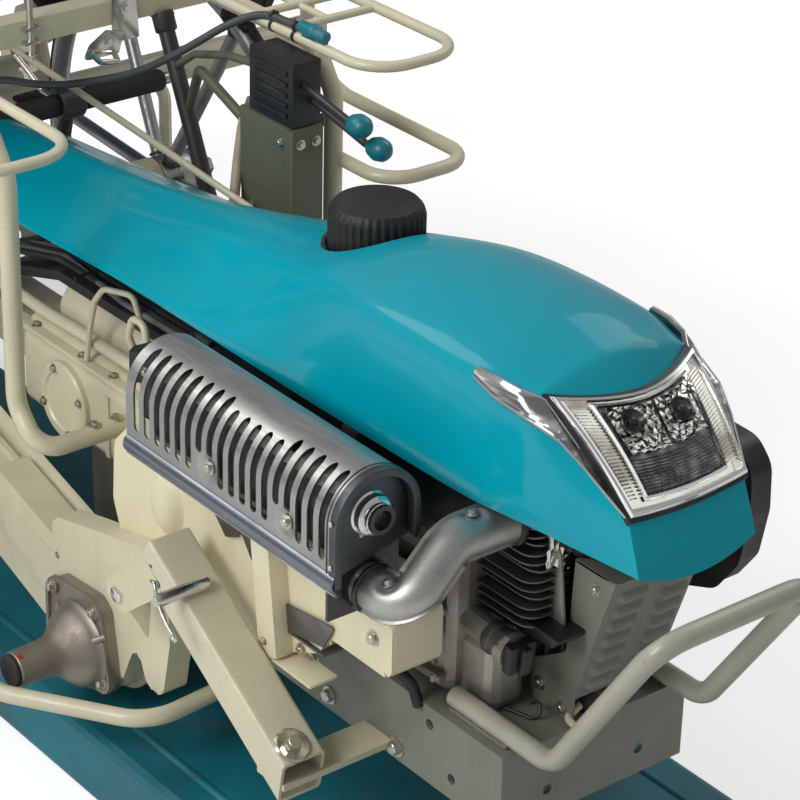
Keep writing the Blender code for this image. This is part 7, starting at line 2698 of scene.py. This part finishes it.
for number in range(9):
    at = -0.52 + 0.13 * number
    table_bar(bm, (0.12, TABLE_LENGTH - 0.12), (at - 0.0015, at + 0.0015), (-0.0002, 0.003))
table = finished("table_lanes", bm, table_blue, 0, 30, body="table")
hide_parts("seedling_table")
bm = bmesh.new()
for number in range(4):
    middle = -TABLE_HALF + 0.2875 * (number + 0.5)
    for at in (0.16, 0.21):
        swept(bm, [on_table(at, middle - 0.134, 0.0235), on_table(at, middle + 0.134, 0.0235)], 0.0026, 12)
    for across in (-0.1, -0.05, 0.0, 0.05, 0.1):
        swept(
            bm,
            rounded_path(
                [
                    on_table(0.045, middle + across, 0.0215), on_table(0.06, middle + across, 0.0235),
                    on_table(0.225, middle + across, 0.0262),
                ],
                0.01, 4,
            ),
            0.0018, 10,
        )
finished("table_mat_rods", bm, plated, body="table")


# Table rail: two cream tubes under the table on bent struts, with nylon sliders on the low one. Weld beads
# hold the struts, and plugs close the tubes.
RAIL_LOW = TABLE_FOOT + table_run * 0.06 - table_up * 0.0123
RAIL_HIGH = TABLE_HIGH - table_run * 0.09 - table_up * 0.0123
dress(cream, "table_rail")
bm = bmesh.new()
tips = bmesh.new()
for across in (-0.36, 0.36):
    weld(bm, circle(RAIL_LOW + Vector((0, across, 0)) + table_run * 0.0125, table_run, 0.01, 20), 0.002, True)
    weld(bm, circle(RAIL_HIGH + Vector((0, across, 0)) - table_run * 0.0125, table_run, 0.01, 20), 0.002, True)
for centre in (RAIL_LOW, RAIL_HIGH):
    for side in (-1, 1):
        turned(
            tips, ((-0.002, 0.0105), (0.0005, 0.0122), (0.002, 0.0122), (0.0034, 0.0095), (0.0036, 0.003)),
            centre + Vector((0, side * 0.56, 0)), (0, side, 0), 24,
        )
finished("rail_welds", bm, cream)
finished("rail_plugs", tips, black_plastic)


# Planting cases: cream chain cases behind the cross tube, with a bolted side seam and bearing housings.
# Cranks are plain steel, and the planting arms are aluminium with a steel fork and a hooked plant stopper.
ARM_HALF = 0.0118
CRANK = (-0.77, 0.235)
for side, label in SIDES:
    middle = side * 0.3
    start = (-0.555 - 0.021 - 0.036 - 0.0003, 0.275)
    bm = plate(capsule((start[0], start[1]), CRANK, 0.036, 0.029), 1, middle - 0.0235, middle + 0.0235)
    rounded_rim(bm, middle + 0.0235, 0.006)
    rounded_rim(bm, middle - 0.0235, 0.006)
    gather(bm, plate(capsule(start, CRANK, 0.0358, 0.0288), 1, middle - 0.003, middle + 0.003))
    for turn in (-1, 1):
        turned(
            bm, ((-0.004, 0.0245), (0.0004, 0.0245), (0.001, 0.0232), (0.001, 0.014), (-0.002, 0.013)),
            (CRANK[0], middle + turn * 0.0232, CRANK[1]), (0, turn, 0), 36,
        )
        turned(
            bm, ((-0.004, 0.025), (0.0002, 0.025), (0.0008, 0.0236)),
            (start[0], middle + turn * 0.0232, start[1]), (0, turn, 0), 36,
        )
    case = finished("planting_housing_" + label, bm, cream, 0, 40)
    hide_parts("planting_case_" + label)
    run = (Vector(CRANK) - Vector(start)).normalized()
    places = []
    for share in (0.25, 0.5, 0.75):
        centre = Vector(start).lerp(Vector(CRANK), share)
        for turn in (-1, 1):
            spot = centre + Vector((-run.y, run.x)) * turn * (0.029 - 0.006 * share)
            places.append(((spot.x, middle + side * 0.0232, spot.y), (0, side, 0), 0.0028))
    places += [
        (
            (start[0] + 0.019 * math.cos(a), middle + side * 0.0238, start[1] + 0.019 * math.sin(a)),
            (0, side, 0), 0.0026,
        )
        for a in (0.5, 2.6, 4.7)
    ]
    screws("planting_housing_screws_" + label, places, zinc)

    crank = bmesh.new()
    reach = 0.15 - 0.012 - 0.0006
    turned(crank, ((-reach, 0.01), (reach, 0.01)), (CRANK[0], middle, CRANK[1]), (0, 1, 0), 32)
    for turn in (-1, 1):
        turned(crank, (
            (reach - 0.008, 0.0465), (reach - 0.0072, 0.048), (reach - 0.0008, 0.048), (reach, 0.047),
            (reach, 0.03), (reach - 0.0012, 0.029), (reach - 0.0012, 0.018), (reach, 0.017), (reach, 0.01),
        ), (CRANK[0], middle, CRANK[1]), (0, turn, 0), 56)
        turned(
            crank, ((reach - 0.008, 0.008), (reach + 0.025, 0.008), (reach + 0.0262, 0.007)),
            (CRANK[0], middle, CRANK[1] + 0.035), (0, turn, 0), 28,
        )
        turned(
            crank, ((-0.006, 0.015), (-0.005, 0.016), (0.005, 0.016), (0.006, 0.015)),
            (CRANK[0], middle + turn * 0.04, CRANK[1]), (0, 1, 0), 32,
        )
    shaft_piece = finished("crank_shaft_" + label, crank, zinc, 0, 40, body="crank_" + label)
    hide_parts("crank_" + label)
    screws(
        "crank_screws_" + label,
        [
            (
                (
                    CRANK[0] + 0.038 * math.cos(a), middle + turn * (reach - 0.008),
                    CRANK[1] + 0.038 * math.sin(a),
                ),
                (0, -turn, 0), 0.003,
            )
            for turn in (-1, 1)
            for a in (0.3, 2.4, 3.9, 5.4)
        ],
        dark_steel, socket=0.5, sides=20, washer=1.0, high=0.3, body="crank_" + label,
    )

ARM_SIDE = (
    (0.055, 0.03), (0.02, 0.05), (-0.02, 0.03), (-0.052, -0.04), (-0.06, -0.095),
    (-0.056, -0.152), (-0.046, -0.1), (-0.034, -0.06), (0.0, -0.026), (0.05, 0.005),
)
for side, label in SIDES:
    for turn, place in ((-1, "inner"), (1, "outer")):
        middle = side * 0.3 + turn * side * 0.15
        pin_z = CRANK[1] + 0.035
        shell = ARM_SIDE[:4] + ((-0.0545, -0.066), (-0.0385, -0.07)) + ARM_SIDE[7:]
        bm = plate(
            rounded([(CRANK[0] + x, pin_z + z) for x, z in shell], 0.007, 4), 1, middle - ARM_HALF,
            middle + ARM_HALF,
        )
        for level in (middle - ARM_HALF, middle + ARM_HALF):
            rounded_rim(bm, level, 0.003, 4)
        for out in (-1, 1):
            turned(
                bm, ((-0.003, 0.0158), (0.0004, 0.0155), (0.0008, 0.014), (0.0008, 0.0095)),
                (CRANK[0], middle + out * 0.011, pin_z), (0, out, 0), 32,
            )
        fork = bmesh.new()
        for tine in (-0.0078, 0.0078):
            points = [
                (CRANK[0] - 0.047, middle + tine * 0.6, pin_z - 0.062),
                (CRANK[0] - 0.053, middle + tine, pin_z - 0.095),
                (CRANK[0] - 0.056, middle + tine, pin_z - 0.1505),
            ]
            swept(fork, [Vector(p) for p in points], [0.003, 0.0028, 0.0014], 12)
        gather(
            fork,
            block(
                (CRANK[0] - 0.0585, middle - 0.011, pin_z - 0.09),
                (CRANK[0] - 0.044, middle + 0.011, pin_z - 0.062),
            ),
        )
        swept(
            fork,
            [
                Vector((CRANK[0] - 0.0405, middle, pin_z - 0.055)),
                Vector((CRANK[0] - 0.045, middle, pin_z - 0.09)),
                Vector((CRANK[0] - 0.052, middle, pin_z - 0.128)),
            ],
            [0.003, 0.0028, 0.002], 12,
        )
        arm = finished(
            "planting_arm_" + place + "_casting_" + label, bm, aluminium, 0, 40, body="arms_" + label,
        )
        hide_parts(f"planting_arm_{label}_{place}")
        finished("planting_fork_" + place + "_" + label, fork, plated, 0.0006, body="arms_" + label)
        out = turn * side
        screws(
            "planting_arm_screws_" + place + "_" + label,
            [
                ((CRANK[0] + x, middle + out * ARM_HALF, pin_z + z), (0, out, 0), 0.0028)
                for x, z in ((0.038, 0.024), (-0.03, -0.012), (-0.042, -0.052), (0.0, 0.034))
            ],
            zinc, body="arms_" + label,
        )


# Handlebar: black enamelled tube with soft ribbed grips, plated clutch levers on cast perches, and a moulded
# panel across it that carries the throttle and the gear lever.
dress(black_steel, "handlebar")
handle_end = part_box("handlebar")[0][0] + 0.0165
HANDLE_HIGH = 0.89
grip_look = moulded("grip_rubber", (0.022, 0.022, 0.023), (0.09, 0.088, 0.08), 0.6, 900, 0.0001)
grip_look.slot = "lug_rubber"
grips = bmesh.new()
levers = bmesh.new()
perches = bmesh.new()
for side in (-1, 1):
    profile = [(0, 0.013), (0.001, 0.0168)]
    for ring in range(22):
        at = 0.004 + ring * 0.005
        profile += [(at, 0.017), (at + 0.0014, 0.0178), (at + 0.0034, 0.0178), (at + 0.0048, 0.017)]
    profile += [(0.117, 0.0172), (0.119, 0.0205), (0.1215, 0.0205), (0.123, 0.018), (0.1232, 0.013)]
    turned(grips, profile, (handle_end, side * 0.096, HANDLE_HIGH), (0, side, 0), 36)
    swept(
        levers,
        rounded_path(
            [
                (handle_end + 0.004, side * 0.256, HANDLE_HIGH - 0.006),
                (handle_end + 0.03, side * 0.247, HANDLE_HIGH), (handle_end + 0.03, side * 0.134, HANDLE_HIGH),
            ],
            0.015, 6,
        ),
        0.005, 16,
    )
    turned(
        levers, ((-0.006, 0.004), (-0.004, 0.0064), (0.002, 0.0068), (0.005, 0.005), (0.0062, 0.002)),
        (handle_end + 0.03, side * 0.131, HANDLE_HIGH), (0, -side, 0), 18,
    )
    turned(
        perches, ((-0.012, 0.015), (-0.011, 0.0162), (0.011, 0.0162), (0.012, 0.015)),
        (handle_end, side * 0.243, HANDLE_HIGH), (0, side, 0), 28,
    )
    gather(
        perches,
        block(
            (handle_end + 0.002, min(side * 0.235, side * 0.253), HANDLE_HIGH - 0.01),
            (handle_end + 0.022, max(side * 0.235, side * 0.253), HANDLE_HIGH + 0.006),
        ),
    )
finished("handle_grips", grips, grip_look, 0, 40)
finished("handle_levers", levers, plated)
finished("handle_perches", perches, dark_casting, 0.0012)
panel = block((-0.918, -0.131, 0.7745), (-0.799, 0.131, 0.8))
for number in range(6):
    gather(panel, block((-0.9 + number * 0.015, -0.112, 0.7995), (-0.8945 + number * 0.015, -0.04, 0.8012)))
finished("handle_panel", panel, black_plastic, 0.0042, 40)
throttle = turned(
    bmesh.new(), ((-0.002, 0.018), (0.002, 0.018), (0.004, 0.016), (0.006, 0.006)), (-0.85, 0.085, 0.8),
    (0, 0, 1), 36,
)
swept(
    throttle, rounded_path([(-0.85, 0.085, 0.804), (-0.856, 0.088, 0.82), (-0.87, 0.094, 0.833)], 0.006, 4),
    0.0028, 12,
)
turned(
    throttle, ((-0.006, 0.004), (-0.004, 0.007), (0.004, 0.007), (0.006, 0.004)), (-0.8715, 0.0945, 0.8345),
    (-0.6, 0.2, 0.6), 20,
)
swept(
    throttle, rounded_path([(-0.858, -0.01, 0.799), (-0.852, -0.01, 0.826), (-0.86, -0.008, 0.852)], 0.006, 4),
    0.0032, 12,
)
turned(
    throttle, ((-0.012, 0.006), (-0.006, 0.0095), (0.004, 0.0105), (0.01, 0.008), (0.0125, 0.003)),
    (-0.861, -0.0078, 0.856), (-0.2, 0.05, 1), 24,
)
finished("panel_levers", throttle, black_plastic, 0, 40)
tube(
    "handle_cable_left",
    (
        (handle_end + 0.006, 0.24, 0.88), (handle_end + 0.02, 0.27, 0.83), (-0.9, 0.296, 0.74),
        (-0.878, 0.28, 0.68), (-0.85, 0.2, 0.5), (-0.829, 0.105, 0.34), (-0.76, 0.075, 0.28),
        (-0.61, 0.075, 0.28),
    ),
    0.003, 0.04, sheath, 10,
)
tube(
    "handle_cable_right",
    (
        (handle_end + 0.006, -0.24, 0.88), (handle_end + 0.02, -0.27, 0.83), (-0.9, -0.296, 0.74),
        (-0.878, -0.28, 0.68), (-0.85, -0.2, 0.5), (-0.829, -0.105, 0.34), (-0.76, -0.075, 0.28),
        (-0.61, -0.075, 0.28),
    ),
    0.003, 0.04, sheath, 10,
)


# Line markers: plated rods that fold up beside the table, each on a knuckle pin between two cheeks. A small
# disc at the tip scratches the line in the mud.
dress(plated, "marker_right", "marker_left")
for side, label in SIDES:
    bm = bmesh.new()
    at = side * 0.73
    turned(
        bm, ((-0.015, 0.0075), (-0.014, 0.009), (0.014, 0.009), (0.015, 0.0075)), (-0.555, at, 0.305),
        (0, 0, 1), 24,
    )
    turned(
        bm, ((-0.004, 0.01), (-0.003, 0.0125), (0.003, 0.0125), (0.004, 0.01)), (-0.555, at, 0.8), (0, 0, 1),
        24,
    )
    turned(
        bm, ((-0.006, 0.007), (0.0, 0.0085), (0.006, 0.0076), (0.0085, 0.004)), (-0.555, at, 0.8265), (0, 0, 1),
        20,
    )
    finished("marker_tip_" + label, bm, black_plastic, body="marker_" + label)
    screws(
        "marker_pin_" + label, [((-0.5552 + turn * 0.02, at, 0.275), (turn, 0, 0), 0.0058) for turn in (-1, 1)],
        zinc,
    )


# Under the hood's right edge: a dark sheet between the hood and the muffler, put there as painted shade for the
# gap under the hood, with two fuel and breather hoses, a brown lead and their clips.
bm = bmesh.new()
rows = []
for x, lift in ((0.345, -0.006), (0.365, 0.0), (0.5, 0.002), (0.64, 0.001), (0.672, -0.012)):
    rows.append([
        bm.verts.new((x, y, 0.44 + lift + up))
        for y, up in (
            (-0.134, -0.03), (-0.1335, 0.0), (-0.128, 0.0035), (-0.045, -0.002), (-0.045, -0.0042),
            (-0.1275, 0.0013), (-0.1315, -0.001), (-0.132, -0.03),
        )
    ])
skin(bm, rows)
for x in (0.39, 0.44, 0.49, 0.54, 0.59, 0.63):
    gather(bm, block((x - 0.0016, -0.13, 0.4395), (x + 0.0016, -0.092, 0.4462)))
for x in (0.372, 0.63):
    gather(
        bm, block((x - 0.01, -0.1335, 0.3775), (x + 0.01, -0.1315, 0.432)),
        block((x - 0.01, -0.1335, 0.378), (x + 0.01, -0.118, 0.38)),
    )
finished("heat_baffle", bm, black_plastic, 0.0005)
tube(
    "fuel_hose",
    (
        (0.372, -0.1, 0.448), (0.43, -0.116, 0.45), (0.52, -0.119, 0.458), (0.6, -0.119, 0.46),
        (0.668, -0.112, 0.448), (0.69, -0.09, 0.425),
    ),
    0.0052, 0.03, rubber,
)
tube(
    "breather_pipe",
    (
        (0.36, -0.106, 0.445), (0.42, -0.127, 0.447), (0.54, -0.129, 0.449), (0.64, -0.127, 0.447),
        (0.684, -0.116, 0.425), (0.69, -0.095, 0.4),
    ),
    0.0036, 0.03, sheath,
)
brown_lead = moulded("brown_lead", (0.2, 0.07, 0.02), (0.22, 0.12, 0.06), 0.4)
tube(
    "ignition_lead_brown",
    (
        (0.548, -0.1, 0.446), (0.572, -0.124, 0.456), (0.6, -0.129, 0.47), (0.628, -0.124, 0.474),
        (0.65, -0.114, 0.464), (0.662, -0.102, 0.444),
    ),
    0.0016, 0.012, brown_lead, 10,
)
bm = bmesh.new()
for x, y, z, size in (
    (0.44, -0.116, 0.451, 0.0064), (0.655, -0.114, 0.452, 0.0064), (0.47, -0.128, 0.448, 0.0046),
    (0.6, -0.128, 0.4485, 0.0046),
):
    turned(
        bm, ((-0.003, size - 0.0008), (-0.0028, size), (0.0028, size), (0.003, size - 0.0008)), (x, y, z),
        (1, -0.05, 0.06), 24,
    )
    gather(bm, block((x - 0.002, y - 0.0012, z + size - 0.0006), (x + 0.002, y + 0.0012, z + size + 0.0034)))
finished("hose_clips", bm, plated)
screws("heat_baffle_screws", [((x, -0.134, 0.424), SIDE_OUT, 0.0034) for x in (0.372, 0.63)], zinc)


# On the bed, in front of the engine: a bent cream rest rod with its end in a clip, a black wire hook and two
# split pins through the bumper's feet.
tube(
    "rest_rod",
    (
        (0.7955, 0.03, 0.2578), (0.798, 0.018, 0.278), (0.813, 0.0, 0.264), (0.818, -0.024, 0.259),
        (0.833, -0.026, 0.2585),
    ),
    0.0034, 0.008, cream, 12,
)
tube(
    "black_wire_hook",
    (
        (0.76, -0.056, 0.2572), (0.776, -0.053, 0.2575), (0.799, -0.046, 0.2572), (0.804, -0.04, 0.26),
        (0.798, -0.036, 0.27), (0.79, -0.038, 0.264),
    ),
    0.0016, 0.006, black_steel, 10,
)
bm = bmesh.new()
for y in (0.04, 0.072):
    swept(bm, [Vector((0.798, y, 0.2568)), Vector((0.822, y + 0.002, 0.2568))], 0.0016, 10)
    turned(bm, ((-0.001, 0.0042), (0.001, 0.0042)), (0.7965, y, 0.2568), (0, 1, 0), 16)
finished("bed_split_pins", bm, plated)


# The long control cable: a stiff black sheathed cable clipped on the spine. It passes under the rear beam,
# rises beside the hood in one easy sag, and lies along the left rack's inner rail to a teal connector.
CABLE_THICK = 0.008
cable_points = (
    (-0.39, 0.02, 0.3047), (-0.355, 0.021, 0.3048), (-0.31, 0.028, 0.326), (-0.26, 0.042, 0.4),
    (-0.225, 0.053, 0.455),
    (-0.185, 0.059, 0.478), (-0.132, 0.063, 0.488), (-0.082, 0.068, 0.501), (-0.024, 0.078, 0.523),
    (0.023, 0.088, 0.543),
    (0.06, 0.1, 0.566), (0.087, 0.115, 0.587), (0.113, 0.137, 0.611), (0.14, 0.155, 0.6265),
    (0.175, RAIL_INNER, 0.6296), (0.21, RAIL_INNER, 0.6296),
)
smooth = [Vector(p) for p in cable_points]
for turn in range(3):
    rounder = [smooth[0]]
    for start, stop in zip(smooth, smooth[1:]):
        rounder += [start.lerp(stop, 0.25), start.lerp(stop, 0.75)]
    smooth = rounder + [smooth[-1]]
bm = swept(bmesh.new(), smooth, CABLE_THICK / 2, 16)
cable_look = moulded("long_cable_sheath", (0.05, 0.056, 0.055), (0.13, 0.125, 0.105), 0.4, 900, 0.00003)
long_cable = finished("long_control_cable", bm, cable_look)
cable_length = sum((b - a).length for a, b in zip(smooth, smooth[1:]))
plug_body = turned(
    bmesh.new(),
    (
        (-0.02, 0.0046), (-0.018, 0.0062), (-0.002, 0.0066), (0.0, 0.008), (0.006, 0.008), (0.008, 0.0062),
        (0.02, 0.0058), (0.022, 0.004),
    ),
    (0.222, RAIL_INNER, 0.632), (1, 0, 0), 24,
)
gather(
    plug_body, block((0.208, 0.1545, 0.624), (0.22, 0.1615, 0.63)),
    block((0.23, 0.155, 0.625), (0.242, 0.161, 0.63)),
)
connector = finished("long_cable_connector", plug_body, knob_teal, 0.0006)
bm = bmesh.new()
turned(
    bm, ((-0.005, 0.0046), (-0.0045, 0.0056), (0.0045, 0.0056), (0.005, 0.0046)), (-0.37, 0.0204, 0.3048),
    (1, 0.03, 0), 24,
)
gather(bm, block((-0.376, 0.01, 0.3002), (-0.364, 0.024, 0.302)))
for x in (0.16, 0.196):
    turned(
        bm, ((-0.002, 0.0044), (-0.0018, 0.0052), (0.0018, 0.0052), (0.002, 0.0044)), (x, RAIL_INNER, 0.6296),
        (1, 0, 0), 20,
    )
    turned(
        bm, ((-0.002, 0.0056), (-0.0018, 0.0064), (0.0018, 0.0064), (0.002, 0.0056)), (x, RAIL_INNER, 0.62),
        (1, 0, 0), 20,
    )
finished("long_cable_ties", bm, black_plastic)
